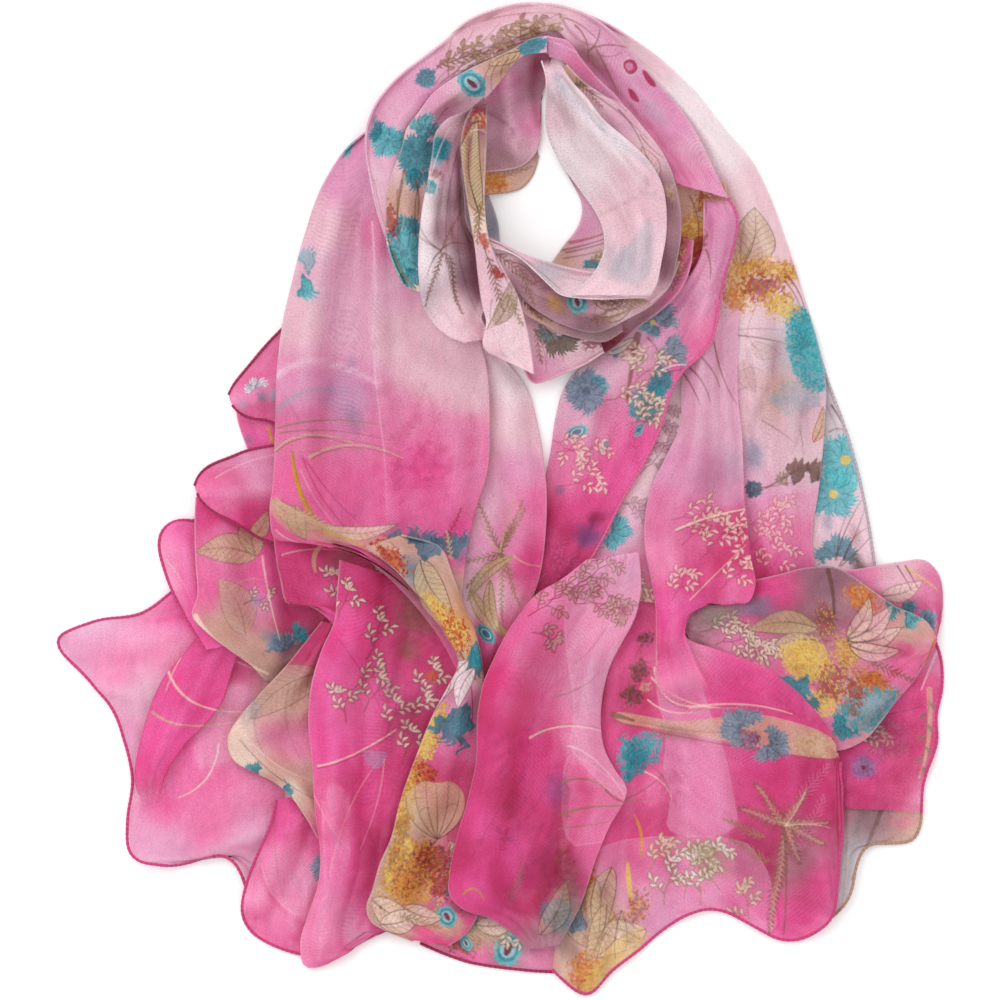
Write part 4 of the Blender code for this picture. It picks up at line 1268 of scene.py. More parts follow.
class Loft:
    """Works out how a stretch lies on what is under it."""

    def __init__(self, stretch: Stretch, bed: Bed) -> None:
        """Reads the stretch's edges at an even spacing.

        Args:
            stretch: The stretch.
            bed: What lies under it.
        """
        self.stretch, self.bed = stretch, bed
        rows = smooth_rows(stretch.rows, stretch.spacing / STEP)
        near = np.array(plan_point(rows[:, 0], rows[:, 1])).T
        far = np.array(plan_point(rows[:, 2], rows[:, 3])).T
        middle = len(near) // 2
        over, on = far[middle] - near[middle], near[middle + 1] - near[middle]
        self.flipped = bool(over[0] * on[1] - over[1] * on[0] < 0)
        if self.flipped:
            near, far = near[::-1], far[::-1]
        self.near = near
        self.width = np.linalg.norm(far - near, axis=1)
        self.direction = (far - near) / self.width[:, None]
        self.field = bed.support()

    def columns(self) -> list[tuple[float, float, float | None]]:
        """Gives each column's share of the width, its inset and its angle round a folded edge.

        Returns:
            One row for each column, with no angle where the cloth lies open.
        """
        stretch = self.stretch
        radius = EDGE_RADIUS
        count = max(3, int(round(np.percentile(self.width, WIDTH_RANK) / stretch.spacing)))
        flat = [(share, 0.0, None) for share in np.linspace(0, 1, count + 1)]
        rolled = [(LIP, LIP_ANGLE), (0.5 * LIP, LIP_ANGLE)] + [
            (radius * (1 - math.cos(math.radians(angle))), angle) for angle in ROLL_ANGLES]
        if stretch.near == Edge.FOLD:
            flat[0] = (0.0, radius, None)
            flat = [(0.0, inset, angle) for inset, angle in rolled] + flat
        if stretch.far == Edge.FOLD:
            flat[-1] = (1.0, -radius, None)
            flat = flat + [(1.0, -inset, angle) for inset, angle in rolled[::-1]]
        return flat

    def places(self, share: float, inset: float) -> tuple[np.ndarray, np.ndarray]:
        """Gives the points of one column and how far they are from the near edge.

        Args:
            share: The column's share of the width.
            inset: How far it stands in from its edge.

        Returns:
            The points and their distances.
        """
        most = LIP_SHARE * self.width
        offset = share * self.width + np.clip(inset, -most, most)
        return self.near + self.direction * offset[:, None], offset

    def top(self, share: float, inset: float) -> tuple[np.ndarray, np.ndarray, np.ndarray]:
        """Gives the points of one upper column, and the painted shade of its folds.

        Args:
            share: The column's share of the width.
            inset: How far it stands in from its edge.

        Returns:
            The places on the plan, their heights and the painted shade.
        """
        stretch = self.stretch
        point, offset = self.places(share, inset)
        x, y = point[:, 0], point[:, 1]
        z = self.bed.sample(self.field, x, y)
        lift, calm = np.zeros_like(z), np.ones_like(z)
        for kind, distance in ((stretch.near, offset), (stretch.far, self.width - offset)):
            if kind == Edge.FOLD:
                edge = WALL + 2 * EDGE_RADIUS
                hump = stretch.hump - (stretch.hump - edge) * smooth_fall(distance, 0.0, HUMP_REACH)
                lift = np.maximum(lift, hump * smooth_fall(distance, HUMP_REACH, LIFT_REACH))
                calm = calm * (1 - smooth_fall(distance, EDGE_RADIUS, LIP))
            if kind == Edge.HEM and stretch.wave:
                along = np.cumsum(np.append(0, np.linalg.norm(np.diff(point, axis=0), axis=1)))
                ripple = 0.5 + 0.5 * waver(2 * math.pi * along / HEM_WAVE_LENGTH, stretch.wave)
                lift = np.maximum(lift, stretch.wave * ripple * smooth_fall(distance, 0, LIFT_REACH))
        fine = self.fine_folds(share, point)
        z = z + lift + relief(stretch.ridges, x, y) + calm * fine + FINE_FOLD_ROOM
        return point, z, -FINE_FOLD_PAINTED_SHADE * fine / MILLIMETRE * calm

    def fine_folds(self, share: float, point: np.ndarray) -> np.ndarray:
        """Gives the height of the fine folds and of the crepe's own unevenness.

        Args:
            share: The column's share of the width.
            point: The column's points.

        Returns:
            The height at each point.
        """
        pleats = self.stretch.pleats
        along = np.linspace(0.0, 1.0, len(point))
        across = np.full_like(along, share)
        if pleats.way == Way.ACROSS:
            across, along = along, across
        phase = 2 * math.pi * pleats.count * across + pleats.drift * waver(5.0 * along, pleats.seed)
        swell = 0.65 + 0.35 * waver(4.0 * along + 3.0 * across, pleats.seed + 2)
        ripple = mottle(point[:, 0], point[:, 1], RIPPLE_SIZE, pleats.seed) - 0.5
        return MILLIMETRE * (pleats.height * swell * waver(phase, pleats.seed) + RIPPLE_HEIGHT * ripple)

    def shell(self) -> Shell:
        """Lays the stretch on what is under it.

        Returns:
            Its points, their painted shade and what is turned under.
        """
        stretch = self.stretch
        columns = self.columns()
        lines = len(self.near)
        grid = np.zeros((lines, len(columns), 3))
        tone, turn = np.zeros((lines, len(columns))), np.zeros((lines, len(columns)))
        for place, (share, inset, angle) in enumerate(columns):
            if angle is None:
                grid[:, place, :2], grid[:, place, 2], tone[:, place] = self.top(share, inset)
        rolled = [(angle is not None) for _, _, angle in columns]
        for place, (share, inset, angle) in enumerate(columns):
            if not rolled[place]:
                continue
            point, _ = self.places(share, inset)
            low = self.lip_level(share)
            crest = rolled.index(False) if share == 0.0 else len(columns) - 1 - rolled[::-1].index(False)
            high = np.maximum(grid[:, crest, 2], low + 2 * EDGE_RADIUS)
            grid[:, crest, 2] = high
            rise = 0.0 if angle == LIP_ANGLE else 0.5 + 0.5 * math.sin(math.radians(angle))
            grid[:, place, :2] = point
            grid[:, place, 2] = low + (high - low) * rise
            turn[:, place] = -1.0 if angle < 0 else 1.0
        self.bed.settle(grid)
        self.bed.seat(grid, stretch.bed)
        return Shell(grid, tone, turn)

    def lip_level(self, share: float) -> np.ndarray:
        """Gives the height at which a turned lip lies.

        Args:
            share: The column's share of the width.

        Returns:
            The height at each point of the column.
        """
        sign = 1.0 if share == 0.0 else -1.0
        low = np.zeros(len(self.near))
        for depth in (0.0, 0.5 * LIP, LIP):
            spot, _ = self.places(share, sign * depth)
            low = np.maximum(low, self.bed.sample(self.field, spot[:, 0], spot[:, 1]))
        return low + WALL


class Weaver:
    """Makes a sheet's mesh from its grid, with closer points where the print is fine."""

    def __init__(self, grid: np.ndarray, fine: np.ndarray, parts: int) -> None:
        """Numbers the points that the sheet needs.

        Args:
            grid: The sheet's points.
            fine: Which cells are cut into parts.
            parts: How many parts a side.
        """
        self.grid, self.fine, self.parts = grid, fine, parts
        lines, columns = grid.shape[:2]
        tiny = np.kron(fine, np.ones((parts, parts), bool)).astype(bool)
        used = np.zeros(((lines - 1) * parts + 1, (columns - 1) * parts + 1), bool)
        used[::parts, ::parts] = True
        for down in (slice(None, -1), slice(1, None)):
            for over in (slice(None, -1), slice(1, None)):
                used[down, over] |= tiny
        self.tiny, self.used = tiny, used
        self.number = np.full(used.shape, -1)
        self.number[used] = np.arange(used.sum())
        line, column = np.nonzero(used)
        self.low_line = np.minimum(line // parts, lines - 2)
        self.low_column = np.minimum(column // parts, columns - 2)
        self.part_line = line / parts - self.low_line
        self.part_column = column / parts - self.low_column

    def between(self, values: np.ndarray) -> np.ndarray:
        """Reads values that stand on the grid at every point of the sheet.

        Args:
            values: One value, or one row of values, for each point of the grid.

        Returns:
            The same for each point of the sheet.
        """
        a, b = self.low_line, self.low_column
        u, v = self.part_line, self.part_column
        if values.ndim == 3:
            u, v = u[:, None], v[:, None]
        return ((values[a, b] * (1 - v) + values[a, b + 1] * v) * (1 - u)
                + (values[a + 1, b] * (1 - v) + values[a + 1, b + 1] * v) * u)

    def sharp_cells(self, values: np.ndarray) -> np.ndarray:
        """Finds the cut cells whose inner points differ from what their corners alone would give.

        Args:
            values: The colour and opacity at every point of the sheet.

        Returns:
            Which cells have to stay cut.
        """
        k = self.parts
        seen = np.sqrt(np.clip(values, 0.0, None))
        off = np.zeros(self.used.shape)
        off[self.used] = np.abs(seen - self.between(seen[self.number[::k, ::k]])).max(axis=1)
        lines, columns = self.fine.shape
        worst = np.zeros(self.fine.shape)
        for a in range(k + 1):
            for b in range(k + 1):
                worst = np.maximum(worst, off[a::k, b::k][:lines, :columns])
        return self.fine & (worst > SHARP_STEP)

    def faces(self) -> list[tuple[int, ...]]:
        """Gives the faces: squares, and beside cut cells squares with points on their sides.

        Returns:
            The numbers of the points round each face.
        """
        number, k = self.number, self.parts
        line, column = np.nonzero(self.tiny)
        corners = ((0, 0), (0, 1), (1, 1), (1, 0))
        found = list(zip(*(number[line + down, column + over].tolist() for down, over in corners)))
        for i, j in zip(*np.nonzero(~self.fine)):
            top, left = i * k, j * k
            ring = np.concatenate([
                number[top, left:left + k], number[top:top + k, left + k],
                number[top + k, left + k:left:-1], number[top + k:top:-1, left]])
            found.append(tuple(ring[ring >= 0].tolist()))
        return found


def add_mesh(name: str, points: np.ndarray, faces: list,
             normals: np.ndarray | None = None) -> bpy.types.Object:
    """Makes a smooth mesh object.

    Args:
        name: Its name.
        points: Its points.
        faces: Its faces, as numbers of points.
        normals: Its normals at the points, where they are known better than its faces give them.

    Returns:
        The object.
    """
    mesh = bpy.data.meshes.new(name)
    mesh.from_pydata(points.tolist(), [], faces)
    mesh.update()
    mesh.shade_smooth()
    if normals is not None:
        mesh.normals_split_custom_set_from_vertices(normals.tolist())
    piece = bpy.data.objects.new(name, mesh)
    bpy.context.scene.collection.objects.link(piece)
    return piece


def colour_points(piece: bpy.types.Object, colour: np.ndarray, opacity: np.ndarray) -> None:
    """Writes the cloth's colours on a mesh's points.

    Args:
        piece: The mesh object.
        colour: Linear colour of each point.
        opacity: Opacity of each point.
    """
    layer = piece.data.color_attributes.new(CLOTH_COLOUR, "FLOAT_COLOR", "POINT")
    layer.data.foreach_set("color", np.hstack([colour, opacity[:, None]]).astype(np.float32).ravel())


def lay_out(piece: bpy.types.Object, flat: np.ndarray) -> None:
    """Writes each point's place on the cloth as the mesh's UV map.

    Args:
        piece: The mesh object.
        flat: How far each point lies across and along the cloth, in metres.
    """
    layer = piece.data.uv_layers.new(name=CLOTH_PLACE)
    corners = np.zeros(len(piece.data.loops), int)
    piece.data.loops.foreach_get("vertex_index", corners)
    layer.data.foreach_set("uv", flat[corners].astype(np.float32).ravel())


def dyed(stretch: Stretch, points: np.ndarray) -> tuple[np.ndarray, np.ndarray]:
    """Blends a stretch's dye spots.

    Args:
        stretch: The stretch.
        points: Places on the plan.

    Returns:
        Linear colour and opacity at each place.
    """
    total = np.zeros(len(points))
    colour, opacity = np.zeros((len(points), 3)), np.zeros(len(points))
    for dye, places in stretch.dyes.items():
        for x, y, cover in places:
            away = ((points[:, 0] - x) ** 2 + (points[:, 1] - y) ** 2) / DYE_REACH ** 2
            weight = 1.0 / (1.0 + away) ** DYE_FALL
            total += weight
            colour += weight[:, None] * linear(dye)
            opacity += weight * cover
    return colour / total[:, None], opacity / total


class Sheet:
    """One stretch of cloth, draped, woven and printed."""

    def __init__(self, stretch: Stretch, bed: Bed) -> None:
        """Drapes the stretch over what lies under it.

        Args:
            stretch: The stretch.
            bed: What lies under it.
        """
        self.stretch = stretch
        loft = Loft(stretch, bed)
        self.shell = loft.shell()
        self.flipped = loft.flipped
        self.normals = grid_normals(self.shell.grid)
        self.grid = self.shell.grid + self.normals * WALL / 2
        self.rests_on = bed.under(self.shell.grid)
        bed.add(stretch.name, self.shell.grid, self.shell.grid + self.normals * WALL)

    def fine_cells(self) -> np.ndarray:
        """Finds the cells under crisp printing.

        Returns:
            Whether each cell is one of them.
        """
        spots = on_plan(self.grid.reshape(-1, 3))
        touched = np.zeros(len(spots), bool)
        for motif in self.stretch.prints:
            if motif.crisp:
                touched |= motif.touches(spots)
        touched = touched.reshape(self.grid.shape[:2]) & (self.shell.turn >= 0)
        return touched[:-1, :-1] | touched[1:, :-1] | touched[:-1, 1:] | touched[1:, 1:]

    def run_lengths(self) -> tuple[np.ndarray, np.ndarray]:
        """Gives how far each point of the grid lies across and along the cloth.

        Returns:
            The distances across and along.
        """
        over = np.diff(self.grid, axis=1, prepend=self.grid[:, :1])
        on = np.diff(self.grid, axis=0, prepend=self.grid[:1])
        return np.cumsum(np.linalg.norm(over, axis=2), axis=1), np.cumsum(np.linalg.norm(on, axis=2), axis=0)

    def make(self, finish: "Chiffon") -> bpy.types.Object:
        """Makes the sheet and its hems, and hangs them on the root body.

        Args:
            finish: What the cloth is made of.

        Returns:
            The sheet.
        """
        stretch = self.stretch
        parts = PARTS_RING if stretch.ring else PARTS_TAIL
        trial = Weaver(self.grid, self.fine_cells(), parts)
        looks = self.looks(trial)
        weaver = Weaver(self.grid, trial.sharp_cells(looks), parts)
        looks = looks[trial.number[weaver.used]]
        points, normals = weaver.between(self.grid), self.directions(weaver)
        sheet = add_mesh(stretch.name + "_cloth", points, weaver.faces(), normals)
        across, along = self.run_lengths()
        lay_out(sheet, np.stack([weaver.between(across), weaver.between(along)], axis=1))
        colour_points(sheet, looks[:, :3], looks[:, 3])
        sheet.data.materials.append(finish.material())
        hems = [self.hem(name, side, finish) for name, side, kind in
                (("near", 0, stretch.near), ("far", -1, stretch.far)) if kind == Edge.HEM]
        self.declare(sheet, hems)
        log.info("%s: %d faces, on %s", sheet.name, len(sheet.data.polygons), ", ".join(self.rests_on))
        return sheet

    def directions(self, weaver: Weaver) -> np.ndarray:
        """Gives the normals at the sheet's points."""
        normals = weaver.between(self.normals)
        return normals / np.linalg.norm(normals, axis=1)[:, None]

    def looks(self, weaver: Weaver) -> np.ndarray:
        """Gives the colour and the opacity at the sheet's points.

        Args:
            weaver: What gives the sheet its points.

        Returns:
            Rows of red, green, blue and opacity.
        """
        cloth = self.painted(on_plan(weaver.between(self.grid)), self.directions(weaver),
                             weaver.between(self.shell.tone), weaver.between(self.shell.turn))
        return np.hstack([cloth.colour, (cloth.opacity * self.thinning(weaver))[:, None]])

    def thinning(self, weaver: Weaver) -> np.ndarray:
        """Gives how much of the cloth is left at each point, near the edges that thin out.

        Args:
            weaver: What gives the sheet its points.

        Returns:
            The share at each point, from 0 to 1.
        """
        left = np.ones(len(weaver.low_line))
        steps = self.stretch.spacing / STEP
        line, column = weaver.low_line + weaver.part_line, weaver.low_column + weaver.part_column
        lines, columns = self.grid.shape[0] - 1, self.grid.shape[1] - 1
        places = (line, lines - line, column, columns - column)
        if self.flipped:
            places = (lines - line, line, column, columns - column)
        for reach, place in zip(self.stretch.fade, places):
            if reach:
                left = left * (1.0 - smooth_fall(place * steps, 0.0, reach))
        return left

    def painted(self, spots: np.ndarray, normals: np.ndarray, tone: np.ndarray, turn: np.ndarray) -> Cloth:
        """Dyes and prints the sheet, and paints shade on its folds and highlights on its rolled edges.

        Args:
            spots: Its points on the plan.
            normals: Their normals.
            tone: The painted shade from their folds, above 0 in troughs and below 0 on crests.
            turn: Where they stand on a rolled edge.

        Returns:
            The colours and opacities.
        """
        colour, opacity = dyed(self.stretch, spots)
        cloth = Cloth(spots, colour, opacity)
        for motif in self.stretch.prints:
            motif.paint(cloth)
        # painted shade: deeper colour in fold troughs, on steep cloth and on turned lips, lighter colour on
        # crests; the blots vary it at random
        steep = np.clip(1.0 / np.maximum(np.abs(normals[:, 2]), LEAST_LEVEL) - 1.0, 0.0, 2.0)
        depth = 1.0 + FOLD_SHADE * tone + SLOPE_SHADE * steep + UNDER_SHADE * (turn < 0)
        depth = depth + BLOT_SHADE * (mottle(*spots.T, BLOT_SIZE, self.stretch.pleats.seed) - 0.5)
        cloth.colour = cloth.colour ** np.maximum(depth, LEAST_SHADE)[:, None]
        # painted highlight along the top of each rolled edge
        rim = self.stretch.rim * np.clip(turn, 0, 1)[:, None]
        cloth.colour = cloth.colour * (1 - rim) + RIM_HIGHLIGHT * rim
        cloth.opacity = 1.0 - (1.0 - np.clip(cloth.opacity, 0, MOST_OPAQUE)) ** (1.0 + steep)
        return cloth

    def hem(self, name: str, side: int, finish: "Chiffon") -> bpy.types.Object:
        """Makes a rolled hem along one edge.

        Args:
            name: Which edge, for the piece's name.
            side: The grid's column at that edge.
            finish: What the cloth is made of.

        Returns:
            The hem.
        """
        size = RING_HEM_RADIUS if self.stretch.ring else HEM_RADIUS
        path = smooth_path(self.grid[:, side] + np.array((0.0, 0.0, size - WALL / 2)), HEM_SPACING)
        run = np.linspace(0.0, 1.0, len(path)) * (len(path) - 1) * HEM_SPACING
        stitch = np.cos(2 * math.pi * run / STITCH_SPACING)
        points, faces = tube(path, size * (1.0 - STITCH_DEPTH * stitch), HEM_SIDES)
        piece = add_mesh(f"{self.stretch.name}_{name}_hem", points, faces)
        round_it = np.tile(np.arange(HEM_SIDES), len(path)) * MILLIMETRE
        lay_out(piece, np.stack([round_it, np.repeat(run, HEM_SIDES)], axis=1))
        shade = 1.0 - STITCH_SHADE + STITCH_SHADE * np.repeat(stitch, HEM_SIDES)
        colour = linear(self.stretch.hem)[None, :] * shade[:, None]
        colour_points(piece, colour, np.full(len(points), HEM_COVER))
        piece.data.materials.append(finish.material())
        return piece

    def declare(self, sheet: bpy.types.Object, hems: list) -> None:
        """Hangs the pieces on the root body and hides the solid part that the sheet stands for.

        Args:
            sheet: The sheet.
            hems: Its hems.
        """
        stretch = self.stretch
        for piece in (sheet, *hems):
            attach(piece, "root")
            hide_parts(stretch.name)


def smooth_path(path: np.ndarray, spacing: float) -> np.ndarray:
    """Reads a line of points again, with its corners eased.

    Args:
        path: The line.
        spacing: Distance between the points wanted.

    Returns:
        The points wanted.
    """
    for _ in range(HEM_EASE):
        path[1:-1] = (path[:-2] + 2 * path[1:-1] + path[2:]) / 4
    along = np.append(0.0, np.cumsum(np.linalg.norm(np.diff(path, axis=0), axis=1)))
    wanted = np.linspace(0.0, along[-1], max(3, int(along[-1] / spacing)))
    return np.stack([np.interp(wanted, along, path[:, axis]) for axis in range(3)], axis=1)


def tube(path: np.ndarray, radius: np.ndarray, sides: int) -> tuple[np.ndarray, list]:
    """Makes a closed tube round a line.

    Args:
        path: The line.
        radius: Radius at each of its points.
        sides: Number of sides.

    Returns:
        Points and faces.
    """
    tangent = np.gradient(path, axis=0)
    tangent /= np.linalg.norm(tangent, axis=1)[:, None] + 1e-12
    side = np.cross(tangent, (0.0, 0.0, 1.0))
    side /= np.linalg.norm(side, axis=1)[:, None] + 1e-12
    up = np.cross(side, tangent)
    turn = np.linspace(0, 2 * math.pi, sides, endpoint=False)
    ring = (side[:, None] * np.cos(turn)[None, :, None] + up[:, None] * np.sin(turn)[None, :, None])
    points = (path[:, None] + ring * radius[:, None, None]).reshape(-1, 3)
    faces = []
    for line in range(len(path) - 1):
        for place in range(sides):
            here, beside = line * sides + place, line * sides + (place + 1) % sides
            faces.append((here, here + sides, beside + sides, beside))
    faces.append(tuple(range(sides)))
    faces.append(tuple(range(len(points) - 1, len(points) - 1 - sides, -1)))
    return points, faces


# ---------------------------------------------------------------- finishes

def add_node(tree: bpy.types.NodeTree, kind: str, settings: dict | None = None,
             values: dict | None = None, links: dict | None = None) -> bpy.types.Node:
    """Adds a node with its settings and links.

    Args:
        tree: The material's node tree.
        kind: The node's type.
        settings: Its own settings by name.
        values: Values of its input sockets.
        links: Output sockets that feed its inputs.

    Returns:
        The node.
    """
    node = tree.nodes.new(kind)
    for name, value in (settings or {}).items():
        setattr(node, name, value)
    for name, value in (values or {}).items():
        node.inputs[name].default_value = value
    for name, output in (links or {}).items():
        tree.links.new(output, node.inputs[name])
    return node


@dataclass(frozen=True)
class Chiffon:
    """Silk-like polyester chiffon, woven plain from hard-twisted crepe yarn, dyed and printed.

    The crepe yarn gives the eye a fine dull grain and an edge sheen, and the open weave lets what lies
    under it show through. The real threads stand 0.25 mm apart; the grain is drawn 1.1 mm wide and the
    ribs of the weave, which show in patches, 1.7 mm apart so that they can be seen.
    """
    slot: str
    sheen: float = 0.25
    roughness: float = 0.72
    grain: float = 0.0011
    crinkle: float = 0.0045
    crinkle_run: float = 0.22       # how much wider than long a crinkle is
    rib: float = 0.0017
    patch: float = 0.045            # size of the patches in which the ribs show
    faint_ribs: float = 0.08        # how strongly they show between the patches
    strong_ribs: float = 0.42       # and in them
    grain_depth: float = 0.24
    grain_weight: float = 3.0       # of the grain against the crinkle
    weave_low: float = 1.40         # least and most that grain and crinkle add up to
    weave_high: float = 2.60
    relief: float = 0.0003          # height of the grain
    openness: float = 0.16
    glow: float = 0.30              # share of the light that goes through the cloth

    def material(self) -> bpy.types.Material:
        """Gives the material, which is made the first time that it is asked for.

        Returns:
            The material.
        """
        name = self.slot + "_woven_crepe"
        found = bpy.data.materials.get(name)
        return found or self.new_material(name)

    def new_material(self, name: str) -> bpy.types.Material:
        """Makes the material.

        Args:
            name: What it is called.

        Returns:
            The material.
        """
        material = bpy.data.materials.new(name)
        material.use_nodes = True
        tree = material.node_tree
        tree.nodes.clear()
        dye = add_node(tree, "ShaderNodeAttribute", {"attribute_name": CLOTH_COLOUR})
        place = add_node(tree, "ShaderNodeUVMap", {"uv_map": CLOTH_PLACE})
        grain = add_node(tree, "ShaderNodeTexNoise", values={"Scale": 1.0 / self.grain, "Detail": 2.0,
                                                             "Roughness": 0.6},
                         links={"Vector": place.outputs["UV"]})
        long_way = add_node(tree, "ShaderNodeMapping",
                            values={"Scale": (1.0 / self.crinkle, self.crinkle_run / self.crinkle, 1.0)},
                            links={"Vector": place.outputs["UV"]})
        crinkle = add_node(tree, "ShaderNodeTexNoise", values={"Scale": 1.0, "Detail": 3.0, "Roughness": 0.55,
                                                               "Distortion": 0.6},
                           links={"Vector": long_way.outputs["Vector"]})
        both = add_node(tree, "ShaderNodeMath", {"operation": "MULTIPLY_ADD"}, values={1: self.grain_weight},
                        links={0: grain.outputs["Fac"], 2: crinkle.outputs["Fac"]})
        ribs = add_node(tree, "ShaderNodeTexWave", {"bands_direction": "DIAGONAL"},
                        values={"Scale": 2 * math.pi / (10 * math.sqrt(2) * self.rib), "Distortion": 1.2,
                                "Detail": 1.0, "Detail Scale": 0.15}, links={"Vector": place.outputs["UV"]})
        patches = add_node(tree, "ShaderNodeTexNoise", values={"Scale": 1.0 / self.patch, "Detail": 1.0},
                           links={"Vector": place.outputs["UV"]})
        shown = add_node(tree, "ShaderNodeMapRange",
                         values={"From Min": 0.45, "From Max": 0.70, "To Min": self.faint_ribs,
                                 "To Max": self.strong_ribs},
                         links={"Value": patches.outputs["Fac"]})
        level = add_node(tree, "ShaderNodeMath", {"operation": "SUBTRACT"}, values={1: 0.5},
                         links={0: ribs.outputs["Fac"]})
        woven_in = add_node(tree, "ShaderNodeMath", {"operation": "MULTIPLY_ADD"},
                            links={0: level.outputs[0], 1: shown.outputs["Result"], 2: both.outputs[0]})
        shade = add_node(tree, "ShaderNodeMapRange",
                         values={"From Min": self.weave_low, "From Max": self.weave_high,
                                 "To Min": 1.0 - self.grain_depth, "To Max": 1.0 + self.grain_depth},
                         links={"Value": woven_in.outputs[0]})
        colour = add_node(tree, "ShaderNodeVectorMath", {"operation": "SCALE"},
                          links={0: dye.outputs["Color"], "Scale": shade.outputs["Result"]})
        gaps = add_node(tree, "ShaderNodeMapRange",
                        values={"From Min": self.weave_low, "From Max": self.weave_high,
                                "To Min": -self.openness / 2, "To Max": self.openness / 2},
                        links={"Value": both.outputs[0]})
        cover = add_node(tree, "ShaderNodeMath", {"operation": "SUBTRACT", "use_clamp": True},
                         links={0: dye.outputs["Alpha"], 1: gaps.outputs["Result"]})
        bump = add_node(tree, "ShaderNodeBump", values={"Strength": 0.30, "Distance": self.relief},
                        links={"Height": both.outputs[0]})
        shader = add_node(tree, "ShaderNodeBsdfPrincipled",
                          values={"Roughness": self.roughness, "IOR": 1.5, "Specular IOR Level": 0.25,
                                  "Sheen Weight": self.sheen, "Sheen Roughness": 0.45,
                                  "Sheen Tint": (1.0, 0.92, 0.96, 1.0)},
                          links={"Base Color": colour.outputs[0], "Alpha": cover.outputs[0],
                                 "Normal": bump.outputs["Normal"]})
        through = add_node(tree, "ShaderNodeBsdfTranslucent",
                           links={"Color": colour.outputs[0], "Normal": bump.outputs["Normal"]})
        holes = add_node(tree, "ShaderNodeBsdfTransparent")
        woven = add_node(tree, "ShaderNodeMixShader", links={"Fac": cover.outputs[0]})
        tree.links.new(holes.outputs[0], woven.inputs[1])
        tree.links.new(through.outputs[0], woven.inputs[2])
        cloth = add_node(tree, "ShaderNodeMixShader", values={"Fac": self.glow})
        tree.links.new(shader.outputs[0], cloth.inputs[1])
        tree.links.new(woven.outputs[0], cloth.inputs[2])
        add_node(tree, "ShaderNodeOutputMaterial", links={"Surface": cloth.outputs[0]})
        return material


@dataclass(frozen=True)
class PaintedBoard:
    """White board with a matt sprayed coat, which gives the eye an even ground with soft shadows."""
    roughness: float = 0.9

    def material(self) -> bpy.types.Material:
        """Makes the material.

        Returns:
            The material.
        """
        material = bpy.data.materials.new("white_board_sprayed")
        material.use_nodes = True
        tree = material.node_tree
        tree.nodes.clear()
        place = add_node(tree, "ShaderNodeTexCoord")
        coat = add_node(tree, "ShaderNodeTexNoise", values={"Scale": 40.0, "Detail": 2.0},
                        links={"Vector": place.outputs["Object"]})
        tone = add_node(tree, "ShaderNodeMapRange", values={"To Min": 0.945, "To Max": 0.955},
                        links={"Value": coat.outputs["Fac"]})
        shader = add_node(tree, "ShaderNodeBsdfPrincipled",
                          values={"Roughness": self.roughness, "Specular IOR Level": 0.0},
                          links={"Base Color": tone.outputs["Result"]})
        add_node(tree, "ShaderNodeOutputMaterial", links={"Surface": shader.outputs[0]})
        return material


# ---------------------------------------------------------------- the stretches of cloth

@dataclass
class Laying:
    """Stretches that are laid one after another."""

    def stretches(self) -> list[Stretch]:
        """Gives the stretches from the lowest to the highest."""
        return [getattr(self, entry.name) for entry in fields(self)]

    def make(self, bed: Bed) -> list[bpy.types.Object]:
        """Lays, weaves and prints the stretches.

        Args:
            bed: What lies under them; they are added to it.

        Returns:
            The sheets.
        """
        return [Sheet(stretch, bed).make(Chiffon(stretch.slot)) for stretch in self.stretches()]


